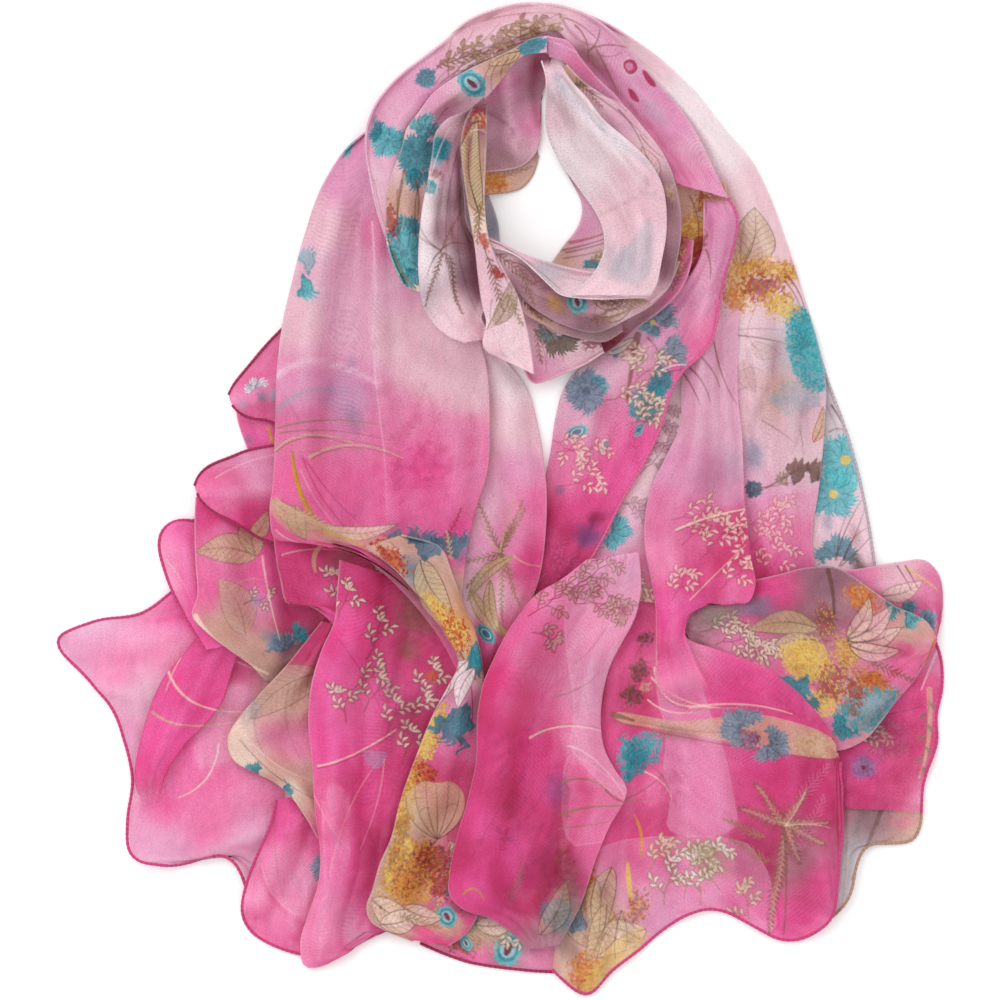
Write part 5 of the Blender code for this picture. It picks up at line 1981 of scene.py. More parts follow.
@dataclass
class UnderLayers(Laying):
    """The lobes and ruffles of both tails that lie lowest."""

    right_underlay: Stretch = Stretch(
        "right_underlay", Edge.TUCK, Edge.HEM, "sheer_chiffon",
        ((770, 335, 816, 340), (772, 385, 830, 385), (772, 430, 846, 428), (772, 475, 859, 475),
        (772, 520, 869, 525), (775, 565, 875, 567), (780, 600, 880, 600)),
        ridges=((845, 400, 862, 560, 14, 5),),
        wave=0.001, pleats=Pleats(3, 0.9), hem=Dye.SILVER,
        dyes={Dye.SILVER: ((800, 350, .7), (810, 420, .65), (850, 430, .7)), Dye.BLUSH: ((852, 500, .7),
        (860, 560, .72), (865, 600, .6))},
        prints=(*each(Bloom, ((846, 460, 34, 270),
        (834, 494, 30, 100)), deep=Ink.TEAL, pale=Ink.TEAL_PALE, heart=Ink.YELLOW),
        Bloom(838, 556, 26, 270, 250, deep=Ink.SLATE),
        *each(Stroke, ((836, 560, 1.6, (846, 525, 862, 500), .8), (845, 560, 1.6, (850, 535, 868, 528), .8),
        (832, 405, 2.2, (842, 420, 848, 435), .8)), ink=Ink.SEPIA),
        *each(Stroke, ((840, 566, 1.6, (860, 530, 866, 505), .7), (842, 566, 1.6, (866, 545, 876, 530), .7),
        (838, 560, 1.4, (838, 530, 850, 510))), ink=Ink.WINE), Haze(828, 522, 8, .5, 1.8, 80),
        Stroke(830, 432, 2, (838, 425, 848, 432), .8), Haze(800, 400, 30, ink=Ink.BLUE_GREY),
        Stroke(812, 380, 1.5, (826, 400, 838, 430)), Haze(858, 562, 9, .6, 1.8, 60, ink=Ink.SEPIA),
        Haze(856, 536, 8, .45, 1.8, 80, ink=Ink.BROWN), Haze(862, 574, 9, .5, 1.8, 70, ink=Ink.SEPIA)))

    left_wing: Stretch = Stretch(
        "left_wing", Edge.TUCK, Edge.HEM, "rose_chiffon",
        ((300, 570, 172, 592), (298, 590, 140, 614), (296, 610, 98, 621), (294, 635, 56, 640),
        (292, 660, 88, 680), (290, 685, 110, 706), (288, 715, 124, 742), (286, 745, 132, 780),
        (284, 775, 127, 820), (284, 800, 131, 856), (286, 825, 160, 866), (290, 850, 204, 859),
        (295, 870, 224, 856), (300, 885, 240, 872), (305, 900, 247, 892)),
        ridges=((235, 640, 80, 640, 22, 6), (240, 690, 110, 690, 16, 4), (262, 790, 150, 850, 26, 8),
        (262, 835, 205, 852, 12, 5)),
        wave=0.003, pleats=Pleats(5, 1.0, Way.ACROSS, 1.2, 2.0), hem=Dye.FUCHSIA,
        dyes={Dye.LILAC: ((75, 635, .78), (95, 632, .7), (132, 750, .82), (145, 830, .8), (165, 850, .78),
        (250, 845, .75)), Dye.CANDY: ((120, 655, .8), (172, 660, .82)), Dye.PETAL: ((148, 694, .8),
        (132, 785, .82), (235, 870, .7)), Dye.NEON: ((195, 605, .85), (180, 735, .85)),
        Dye.HOT: ((232, 655, .9), (157, 807, .85)), Dye.PINK: ((245, 700, .85), (208, 822, .8),
        (200, 778, .84)), Dye.SAND: ((262, 705, .85),), Dye.ROSE: ((265, 780, .85),)},
        prints=(Ply(148, 720, 2, ((170, 716), (200, 740), (196, 790), (160, 800), (140, 770)), .35,
        dye=Dye.NEON), Haze(110, 660, 26, .25, 1.6, 30, ink=Dye.PINK),
        *each(Stroke, ((168, 678, 2.4, (185, 716, 250, 712), .8), (215, 640, 1.6, (222, 660, 262, 672), .7),
        (218, 745, 2.2, (214, 786, 178, 798), .8), (200, 640, 2, (176, 660, 168, 684), .7)), ink=Ink.CREAM),
        *each(Stroke, ((150, 770, 4, (180, 762, 240, 772), .4),
        (190, 838, 5, (225, 842, 246, 850), .35)), ink=Dye.NEON, crisp_line=False),
        Stroke(152, 712, 2.2, (180, 738, 262, 716), .85, ink=Ink.BEIGE),
        Stroke(205, 700, 1.2, (230, 722, 262, 726), .5, ink=Ink.SEPIA),
        Ply(205, 690, 2.5, ((250, 680), (262, 720), (230, 765), (190, 770), (196, 730)), .4, dye=Dye.PETAL)))

    wing_pleat: Stretch = Stretch(
        "wing_pleat", Edge.FOLD, Edge.FOLD, "hot_pink_chiffon",
        ((205, 628, 245, 635), (184, 655, 232, 668), (163, 680, 222, 700), (149, 713, 204, 724),
        (139, 750, 184, 744), (135, 780, 166, 772), (144, 806, 156, 806)),
        ridges=((196, 690, 160, 760, 14, 4),),
        pleats=Pleats(2, 0.8), rim=0.0, fade=(6, 40, 0, 0),
        dyes={Dye.HOT: ((215, 645, .92), (195, 690, .92), (150, 770, .9)), Dye.NEON: ((176, 744, .92),),
        Dye.PINK: ((150, 800, .85),)},
        prints=(*each(Stroke, ((168, 672, 2.4, (185, 716, 250, 712), .8),
        (196, 634, 1.6, (176, 660, 166, 690), .7)), ink=Ink.CREAM),
        Stroke(152, 712, 2.2, (180, 738, 262, 716), .85, ink=Ink.BEIGE),
        Stroke(208, 650, 3, (180, 700, 150, 790), .3, ink=Dye.WINE, crisp_line=False)))

    ruffle_low: Stretch = Stretch(
        "ruffle_low", Edge.TUCK, Edge.HEM, "rose_chiffon",
        ((262, 505, 200, 523), (262, 515, 180, 519), (262, 530, 163, 529), (262, 545, 158, 542),
        (262, 565, 162, 565), (262, 590, 172, 592), (262, 615, 188, 622), (262, 640, 205, 650)),
        ridges=((176, 530, 200, 610, 12, 6), (205, 540, 225, 620, 10, 3)),
        wave=0.002, pleats=Pleats(3, 0.8), hem=Dye.FUCHSIA,
        dyes={Dye.NEON: ((185, 525, .85), (200, 600, .85), (200, 640, .9)), Dye.CANDY: ((170, 560, .8),
        (170, 590, .8)), Dye.FUCHSIA: ((230, 520, .9),)},
        prints=(Stroke(165, 560, 1.2, (185, 580, 200, 620), .5, ink=Ink.CREAM),
        Ply(180, 530, 1.5, ((196, 525), (200, 560), (196, 610), (184, 600), (176, 560)), .4, dye=Dye.NEON)))

    low_lobe: Stretch = Stretch(
        "low_lobe", Edge.TUCK, Edge.HEM, "rose_chiffon",
        ((335, 790, 276, 800), (335, 812, 270, 825), (335, 835, 258, 852), (335, 858, 246, 885),
        (335, 880, 242, 915), (335, 900, 250, 932), (335, 920, 270, 945), (335, 938, 300, 955),
        (336, 948, 318, 957)),
        ridges=((300, 820, 255, 905, 15, 8), (320, 870, 290, 930, 14, 6)),
        wave=0.002, pleats=Pleats(4, 1.0), hem=Dye.FUCHSIA,
        dyes={Dye.HOT: ((280, 800, .9), (276, 830, .88), (325, 850, .9)), Dye.CANDY: ((290, 860, .82),
        (262, 865, .82), (262, 895, .82), (285, 905, .78), (310, 910, .8)), Dye.PINK: ((265, 925, .85),
        (295, 942, .88), (312, 955, .88)), Dye.LILAC: ((300, 880, .8),)},
        prints=(Stroke(276, 802, 2, (270, 850, 284, 902), .35, ink=Ink.OLIVE),
        *each(Stroke, ((262, 872, 5, (275, 925, 320, 925), .5),
        (300, 826, 3, (286, 850, 284, 884), .4)), ink=Dye.FUCHSIA, crisp_line=False),
        # painted highlight along a fold
        Stroke(262, 868, 1.3, (274, 918, 318, 918), .45, ink=Dye.SHELL),
        Bloom(327, 867, 21, 180, 230, deep=Ink.SLATE, pale=Ink.BLUE_GREY)))

    leaf_lobe: Stretch = Stretch(
        "leaf_lobe", Edge.TUCK, Edge.FOLD, "rose_chiffon",
        ((300, 500, 196, 497), (300, 520, 195, 522), (300, 545, 196, 560), (302, 565, 198, 598),
        (305, 580, 193, 616), (308, 590, 207, 631), (312, 598, 230, 649), (316, 604, 252, 665),
        (320, 610, 270, 682), (326, 614, 290, 664), (332, 618, 310, 642)),
        ridges=((225, 530, 228, 620, 18, 6), (260, 560, 280, 640, 12, 4)),
        pleats=Pleats(3, 0.8),
        dyes={Dye.FUCHSIA: ((210, 510, .92), (255, 520, .9)), Dye.ROSE: ((225, 545, .9),),
        Dye.PINK: ((205, 590, .9),), Dye.SAND: ((222, 630, .9), (260, 655, .9), (215, 660, .9)),
        Dye.LILAC: ((250, 600, .9),), Dye.CERISE: ((295, 620, .92),), Dye.HOT: ((280, 560, .92),
        (262, 585, .9)), Dye.DUSK: ((300, 650, .9),)},
        prints=(*each(Leaf, ((256, 556, 60, 184, 15, .75),
        (255, 556, 50, 272, 13, .7)), line=Ink.BROWN, dots=True),
        Leaf(246, 634, 62, 244, 17, .75, 6.5, .45, fill=Dye.SAND, line=Ink.BROWN, dots=True),
        Haze(226, 606, 14, .2, 1.9, 72, ink=Ink.BROWN), Haze(256, 600, 10, .45, ink=Ink.LAVENDER),
        Sprig(244, 604, 24, 345, 3, .6, .8, 2.2),
        Stroke(196, 616, 5, (215, 650, 268, 674), .8, ink=Ink.CREAM),
        Bloom(284, 652, 24, 250, 150, deep=Ink.SLATE, pale=Ink.BLUE_GREY), Bloom(294, 640, 20, 320, 120),
        Haze(272, 640, 9, .6, 1.8, 40), Stroke(262, 556, 1.8, (268, 600, 280, 640), .7, ink=Ink.CREAM),
        Stroke(230, 590, 1.5, (246, 575, 262, 580), ink=Ink.BEIGE)))

    corner_low: Stretch = Stretch(
        "corner_low", Edge.TUCK, Edge.HEM, "sheer_chiffon",
        ((805, 780, 922, 805), (805, 800, 922, 822), (805, 820, 914, 841), (805, 840, 890, 845),
        (805, 860, 867, 847), (805, 880, 856, 868), (805, 895, 852, 892), (805, 905, 845, 906),
        (805, 915, 832, 918)),
        ridges=((850, 810, 850, 900, 14, 6),),
        wave=0.002, pleats=Pleats(3, 0.9), hem=Dye.BEIGE,
        dyes={Dye.SAND: ((915, 810, .7), (900, 840, .8)), Dye.DUSK: ((885, 828, .85),),
        Dye.GREY: ((860, 860, .55), (845, 900, .6)), Dye.MAUVE: ((815, 880, .7),),
        Dye.CERISE: ((815, 800, .85),)},
        prints=(Stroke(884, 806, 5, (872, 840, 852, 880), ink=Ink.SEPIA),
        Stroke(862, 800, 4, (852, 850, 846, 905), .5, ink=Ink.MOSS, crisp_line=False),
        Stroke(846, 800, 1.6, (850, 850, 842, 910)), Haze(905, 822, 12, .4, 1.6, ink=Dye.FUCHSIA)))

    corner_mid: Stretch = Stretch(
        "corner_mid", Edge.TUCK, Edge.HEM, "hot_pink_chiffon",
        ((812, 640, 932, 632), (812, 660, 941, 655), (812, 685, 943, 685), (812, 710, 937, 717),
        (812, 735, 938, 742), (812, 760, 928, 770), (812, 785, 923, 790), (812, 806, 922, 813)),
        ridges=((850, 700, 925, 690, 14, 6), (850, 770, 925, 760, 18, 5)),
        wave=0.002, pleats=Pleats(3, 0.9), hem=Dye.FUCHSIA,
        dyes={Dye.CERISE: ((850, 650, .9), (910, 740, .88), (895, 790, .88), (850, 800, .9)),
        Dye.ROSE: ((930, 650, .8), (925, 810, .7)), Dye.FUCHSIA: ((925, 700, .85), (880, 700, .9),
        (865, 770, .92))},
        prints=(Haze(864, 766, 15, .65, 1.4, ink=Ink.PURPLE),
        Bloom(864, 768, 15, 30, 360, 9, .6, deep=Ink.PURPLE, pale=Ink.LAVENDER, heart=Ink.WINE),
        Stroke(930, 690, 6, (934, 740, 920, 778), ink=Ink.BEIGE), Pods(930, 700, 3, (922, 776)),
        Stroke(850, 722, 1.8, (890, 716, 926, 706), ink=Dye.WINE),
        Stroke(938, 652, 3, (930, 670, 922, 690), .5, ink=Dye.WHITE), Sprig(850, 745, 34, 340),
        Bloom(888, 740, 26, 30, 360, 9, .45, deep=Ink.WINE, pale=Dye.MAUVE),
        Haze(895, 740, 22, .5, ink=Dye.MAGENTA), *each(Frond, ((860, 700, 60, 20, 13, .3),
        (870, 780, 60, 340, 13, .3)), ink=Dye.MAGENTA),
        Sprig(870, 720, 44, 20, 4, .3, .12, fill=Dye.HOT, line=Dye.MAGENTA)))

    corner_curl: Stretch = Stretch(
        "corner_curl", Edge.FOLD, Edge.TUCK, "rose_chiffon",
        ((840, 572, 840, 600), (858, 570, 850, 610), (875, 567, 862, 615), (900, 563, 880, 622),
        (927, 562, 905, 630), (939, 575, 922, 632), (943, 600, 932, 635), (941, 622, 936, 640)),
        ridges=((880, 585, 930, 590, 14, 4),),
        pleats=Pleats(2, 0.6), hem=Dye.MAUVE,
        dyes={Dye.ROSE: ((860, 580, .85), (930, 590, .8), (870, 610, .9)), Dye.BLUSH: ((900, 575, .85),),
        Dye.FUCHSIA: ((920, 620, .85),)},
        prints=(Leaf(882, 596, 44, 340, fill=Ink.CREAM, line=Ink.BROWN),
        Stroke(906, 568, 3, (920, 575, 938, 590), .8, ink=Ink.YELLOW),
        *each(Stroke, ((898, 566, 1.6, (904, 576, 912, 590), .8),
        (906, 566, 1.6, (912, 576, 918, 588), .8)), ink=Ink.SEPIA), Bloom(896, 614, 26, 10, 120),
        Bloom(925, 622, 16, 330, 200, deep=Ink.SLATE, pale=Ink.TEAL_PALE)))

    beige_lobe: Stretch = Stretch(
        "beige_lobe", Edge.FOLD, Edge.TUCK, "gold_print_chiffon",
        ((322, 622, 345, 625), (300, 650, 345, 650), (285, 668, 345, 670), (258, 697, 345, 690),
        (238, 720, 345, 712), (228, 739, 345, 735), (234, 760, 345, 760), (255, 772, 345, 780),
        (275, 782, 345, 800), (292, 797, 345, 815), (306, 817, 345, 830), (318, 838, 345, 845)),
        ridges=((320, 700, 245, 735, 16, 5), (325, 760, 270, 770, 12, 4)),
        pleats=Pleats(3, 0.8),
        dyes={Dye.CERISE: ((300, 655, .9), (322, 650, .9), (330, 720, .92)), Dye.SAND: ((300, 690, .9),
        (262, 705, .88), (285, 700, .88), (310, 800, .85), (275, 775, .85)), Dye.IVORY: ((240, 735, .85),
        (250, 762, .85), (292, 790, .85)), Dye.ROSE: ((272, 735, .85), (298, 742, .88)),
        Dye.PINK: ((330, 820, .85),)},
        prints=(Leaf(320, 672, 84, 146, 20, .5, 7, .5, fill=Dye.SAND, dots=True),
        Stroke(288, 690, 1.6, (278, 720, 300, 760), .4),
        Stroke(236, 724, 2, (270, 770, 310, 780), .75, ink=Ink.CREAM),
        Stroke(240, 740, 1.4, (270, 778, 316, 800), ink=Ink.SEPIA),
        Stroke(250, 700, 1.4, (236, 740, 262, 772), ink=Ink.CREAM),
        Stroke(256, 712, 1.2, (250, 735, 268, 760), .45, ink=Ink.SEPIA), Bloom(256, 778, 19, 195, 230),
        Bloom(281, 792, 15, 40, 230), Haze(252, 712, 10, .3, 1.8, 310, ink=Ink.BLUE_GREY)))

    ruffle_neck: Stretch = Stretch(
        "ruffle_neck", Edge.FOLD, Edge.TUCK, "hot_pink_chiffon",
        ((236, 404, 300, 400), (238, 420, 300, 420), (243, 436, 300, 440), (250, 453, 300, 460),
        (262, 478, 300, 480), (272, 505, 300, 505)),
        pleats=Pleats(2, 0.7),
        dyes={Dye.PINK: ((245, 415, .85),), Dye.NEON: ((255, 445, .88),), Dye.HOT: ((270, 480, .9),
        (295, 440, .9))},
        prints=(Stroke(267, 424, 3.6, (270, 438, 276, 450), .9, ink=Ink.GOLD, blade=True),
        Haze(249, 440, 6, .6)))

    ruffle_mid: Stretch = Stretch(
        "ruffle_mid", Edge.HEM, Edge.HEM, "rose_chiffon",
        ((195, 486, 197, 494), (198, 477, 203, 503), (209, 466, 217, 514), (228, 458, 236, 523),
        (248, 450, 256, 537), (275, 445, 280, 545), (300, 440, 305, 548)),
        ridges=((205, 488, 280, 490, 18, 9),),
        wave=0.001, pleats=Pleats(3, 0.8, Way.ACROSS), hem=Dye.MAGENTA,
        dyes={Dye.PINK: ((205, 490, .85),), Dye.ROSE: ((230, 485, .82), (290, 460, .85)),
        Dye.LILAC: ((260, 470, .8),), Dye.FUCHSIA: ((250, 520, .9),), Dye.CERISE: ((295, 510, .9),)},
        prints=(Stroke(215, 478, 1.3, (250, 455, 296, 452), .5, ink=Ink.CREAM),
        Leaf(250, 540, 34, 300, 8, .7, line=Ink.BROWN)))

    ruffle_top: Stretch = Stretch(
        "ruffle_top", Edge.HEM, Edge.HEM, "rose_chiffon",
        ((229, 395, 232, 405), (233, 386, 240, 413), (246, 369, 252, 418), (262, 349, 266, 420),
        (281, 329, 282, 427), (300, 312, 300, 430)),
        ridges=((238, 398, 295, 375, 18, 8),),
        wave=0.001, pleats=Pleats(3, 0.8, Way.ACROSS), hem=Dye.MAGENTA,
        dyes={Dye.ROSE: ((238, 395, .8), (262, 395, .78)), Dye.PINK: ((255, 375, .78), (285, 350, .8),
        (262, 412, .8)), Dye.LILAC: ((290, 400, .8),)},
        prints=(Bloom(256, 388, 14, 250, 220, 5, deep=Ink.BLUE_GREY, pale=Ink.WHITE), Haze(262, 396, 8, .6),
        Haze(276, 396, 8, .7, ink=Ink.TEAL_PALE), Haze(243, 405, 7, .5, ink=Ink.BLUE_GREY)))

    left_under: Stretch = Stretch(
        "left_under", Edge.FOLD, Edge.TUCK, "magenta_chiffon",
        ((274, 500, 400, 520), (275, 545, 400, 560), (281, 580, 400, 590), (288, 603, 395, 610),
        (303, 603, 390, 625), (320, 611, 385, 635), (334, 624, 380, 645), (345, 640, 378, 655)),
        ridges=((300, 560, 380, 600, 20, 4),),
        pleats=Pleats(3, 0.7),
        dyes={Dye.FUCHSIA: ((280, 540, .92),), Dye.CERISE: ((300, 565, .92), (370, 600, .92), (300, 600, .92),
        (285, 575, .92)), Dye.HOT: ((330, 590, .92), (340, 620, .92))},
        prints=(Haze(342, 560, 14, .55, 1.6, ink=Ink.BROWN),
        Mottle(385, 580, 14, 60, .6, 1.6, .8, ground=Ink.ORANGE, blot=Ink.BROWN),
        Stroke(328, 542, 4.5, (308, 550, 316, 574), .7, ink=Ink.BEIGE, blade=True),
        Sprig(350, 600, 30, 240, 3), Sprig(372, 604, 30, 290, 3), Haze(410, 600, 20, .7, ink=Ink.BROWN),
        Stroke(282, 555, 1.3, (310, 545, 350, 552), .5, ink=Ink.CREAM)))

    pink_lobe: Stretch = Stretch(
        "pink_lobe", Edge.FOLD, Edge.TUCK, "hot_pink_chiffon",
        ((340, 560, 462, 600), (338, 590, 466, 625), (335, 622, 470, 650), (323, 649, 468, 675),
        (312, 685, 460, 705), (309, 721, 452, 735), (313, 765, 442, 765), (316, 810, 432, 800),
        (321, 850, 424, 830), (319, 884, 418, 855), (309, 915, 412, 880), (301, 944, 408, 900),
        (306, 967, 404, 915), (325, 965, 400, 924), (345, 946, 397, 930), (364, 933, 395, 932)),
        ridges=((350, 650, 330, 820, 20, 9), (330, 830, 325, 940, 16, 8), (380, 700, 350, 900, 18, 5),
        (410, 720, 375, 880, 14, 4)),
        pleats=Pleats(6, 0.9, Way.ALONG, 1.0, 3.0),
        dyes={Dye.HOT: ((350, 645, .92), (388, 700, .92), (372, 915, .9)), Dye.CERISE: ((400, 600, .9),
        (420, 650, .92), (380, 880, .9), (398, 770, .92), (385, 850, .9)), Dye.NEON: ((335, 690, .86),
        (335, 740, .88), (330, 860, .85)), Dye.PINK: ((352, 700, .9), (322, 800, .85), (340, 955, .82)),
        Dye.FUCHSIA: ((370, 790, .9),), Dye.MAGENTA: ((404, 716, .92),), Dye.LILAC: ((350, 930, .85),),
        Dye.CANDY: ((318, 935, .82),)},
        prints=(*each(Stroke, ((318, 766, 2, (352, 760, 396, 730), .8),
        (330, 872, 1.4, (345, 800, 380, 760), .4), (312, 790, 1.3, (330, 830, 350, 850), .4)), ink=Ink.CREAM),
        *each(Haze, ((416, 612, 26, .75, 1.3, 80), (408, 650, 14, .6, 1.2, 30)), ink=Ink.BROWN),
        Haze(432, 677, 7, .8, 1.4, ink=Ink.ORANGE), Stroke(318, 768, 1.2, (352, 763, 396, 733), ink=Dye.WINE),
        Ply(430, 600, 1.2, ((438, 700), (420, 760), (400, 820), (392, 880), (400, 900), (412, 860), (430,
        780), (452, 700)), .4, dye=Dye.MAGENTA), *each(Sprig, ((338, 622, 34, 290, 3), (366, 660, 42, 290, 3),
        (352, 690, 36, 320, 3), (364, 712, 38, 300, 3), (346, 722, 30, 260, 3), (384, 738, 38, 290, 3),
        (404, 726, 36, 310, 3), (402, 764, 34, 290, 3), (420, 700, 34, 300, 3))),
        Stroke(340, 640, 1.1, (372, 680, 400, 760), .5, ink=Dye.WINE),
        Ply(360, 748, 1.2, ((374, 752), (390, 752), (378, 772), (366, 764)), dye=Ink.LAVENDER),
        Stroke(384, 760, 1.3, (382, 800, 360, 850), .35, ink=Dye.SHELL),
        Ply(326, 780, 2.2, ((350, 790), (352, 850), (340, 900), (322, 960), (312, 900), (320, 840)),
        dye=Dye.CANDY), Stroke(356, 930, 5, (378, 900, 390, 850), .45, ink=Dye.CERISE, crisp_line=False),
        *each(Frond, ((345, 800, 60, 285, 12, .2), (370, 850, 70, 280, 12, .22)), ink=Dye.MAGENTA),
        # painted shade in the deep fold beside the gold panel
        *each(Haze, ((406, 716, 14, .45, 3, 112), (392, 688, 12, .35, 2.4, 112)), ink=Dye.WINE),
        # painted highlight along the fold edge on the left
        Stroke(318, 960, 2, (330, 900, 322, 800), .3, ink=Dye.SHELL, crisp_line=False)))

    hem_band: Stretch = Stretch(
        "hem_band", Edge.TUCK, Edge.HEM, "gold_print_chiffon",
        ((430, 885, 420, 944), (445, 885, 440, 953), (460, 885, 465, 962), (480, 885, 490, 967),
        (500, 890, 515, 970), (520, 900, 535, 972), (545, 908, 561, 973)),
        wave=0.001, pleats=Pleats(3, 0.6, Way.ACROSS), hem=Dye.MAGENTA,
        dyes={Dye.PINK: ((430, 925, .85),), Dye.BEIGE: ((450, 920, .85),), Dye.MAUVE: ((480, 930, .85),
        (510, 950, .8)), Dye.ROSE: ((540, 955, .8),), Dye.HOT: ((470, 955, .8),)},
        prints=(Eye(448, 918, 14, 60, .85, .6), Eye(508, 950, 18, 110, .85, .6),
        Mottle(465, 944, 14, 0, .85, 1.2, ground=Ink.BROWN, blot=Ink.WINE, fleck=Ink.RED),
        Frond(452, 938, 66, 345, 9, .75, ink=Ink.BEIGE), Frond(470, 925, 50, 20, 9),
        Bloom(470, 925, 12, deep=Ink.MOSS, pale=Ink.SLATE), Sprig(490, 925, 30, 20, line=Ink.BROWN),
        Haze(480, 936, 18, .5, 1.6, 10, ink=Ink.BEIGE), Eye(466, 944, 9, 60, .6, .6),
        Leaf(476, 926, 44, 350, 10, .55, 7, fill=Ink.CREAM), Haze(492, 906, 16, .5, 1.8, 15, ink=Ink.SEPIA)))


@dataclass
class NeckHole(Laying):
    """The cloth that shows inside the wound ring."""

    neck_inner_right: Stretch = Stretch(
        "neck_inner_right", Edge.FOLD, Edge.TUCK, "rose_chiffon",
        ((560, 158, 600, 150), (572, 180, 615, 175), (582, 200, 625, 200), (583, 214, 628, 225),
        (577, 230, 625, 250), (566, 244, 615, 270), (553, 262, 600, 285)),
        ring=True, pleats=Pleats(3, 0.5),
        dyes={Dye.MAUVE: ((565, 170, .9),), Dye.PETAL: ((585, 205, .88),), Dye.LILAC: ((585, 235, .85),),
        Dye.SHELL: ((600, 250, .85),), Dye.SAND: ((560, 258, .85),)},
        prints=(Stroke(570, 242, 3.5, (588, 240, 612, 230), ink=Ink.RED),
        Stroke(566, 252, 2.2, (590, 248, 612, 240), .7), Haze(598, 256, 10, .7, ink=Ink.BEIGE),
        Bloom(592, 268, 12, 270, 200), Frond(590, 262, 26, 320, 6),
        Stroke(560, 250, 2.4, (584, 246, 606, 238), ink=Ink.WINE),
        Stroke(564, 258, 1.6, (590, 254, 610, 248), ink=Ink.SEPIA)))

    neck_inner_left: Stretch = Stretch(
        "neck_inner_left", Edge.FOLD, Edge.TUCK, "sheer_chiffon",
        ((484, 188, 465, 188), (491, 203, 465, 205), (497, 222, 465, 222), (499, 240, 468, 240),
        (500, 252, 472, 262)),
        ring=True, pleats=Pleats(2, 0.4),
        dyes={Dye.GREY: ((488, 205, .8),), Dye.STEEL: ((492, 230, .75),), Dye.SHELL: ((495, 250, .8),)})

    pouch_flap: Stretch = Stretch(
        "pouch_flap", Edge.TUCK, Edge.HEM, "gold_print_chiffon",
        ((484, 150, 484, 194), (497, 150, 497, 193), (510, 148, 511, 191), (522, 140, 524, 186),
        (531, 130, 534, 172), (534, 120, 539, 155)),
        ring=True, pleats=Pleats(3, 0.4, Way.ACROSS), hem=Dye.SAND,
        dyes={Dye.APRICOT: ((490, 180, .9),), Dye.SAND: ((505, 180, .88), (525, 165, .85)),
        Dye.MAUVE: ((535, 145, .85),)},
        prints=(Mottle(495, 182, 11, 0, .85, 1.5, .3, blot=Ink.ORANGE, fleck=Ink.BROWN),
        Frond(505, 176, 30, 330, 5, .6)))

    pouch: Stretch = Stretch(
        "pouch", Edge.TUCK, Edge.HEM, "rose_chiffon",
        ((484, 80, 485, 171), (489, 66, 500, 170), (497, 58, 515, 167), (510, 52, 528, 160),
        (525, 49, 538, 148), (540, 50, 540, 122), (552, 56, 540, 104)),
        ridges=((505, 70, 515, 150, 12, 6),),
        ring=True, pleats=Pleats(3, 0.4, Way.ALONG, 0.8, 4.0), hem=Dye.BLUSH,
        dyes={Dye.ROSE: ((500, 80, .95), (532, 125, .95)), Dye.MAUVE: ((508, 160, .95), (534, 90, .95),
        (502, 112, .95), (495, 150, .95)), Dye.PETAL: ((520, 62, .95), (516, 100, .95), (510, 135, .95)),
        Dye.WINE: ((535, 62, .95),), Dye.BLUSH: ((525, 150, .95),)},
        # painted shade in the folds (the dusk and the wine strokes) and a painted highlight along the ridge
        # (the blush stroke)
        prints=(Stroke(490, 112, 4, (512, 122, 520, 150), .4, ink=Dye.DUSK, crisp_line=False),
        Stroke(506, 66, 5, (512, 110, 506, 140), .5, ink=Dye.BLUSH, crisp_line=False),
        *each(Stroke, ((536, 62, 9, (528, 90, 538, 122), .55), (486, 112, 2.4, (504, 116, 516, 134), .35),
        (498, 84, 3, (502, 104, 498, 124), .25)), ink=Dye.WINE, crisp_line=False)))


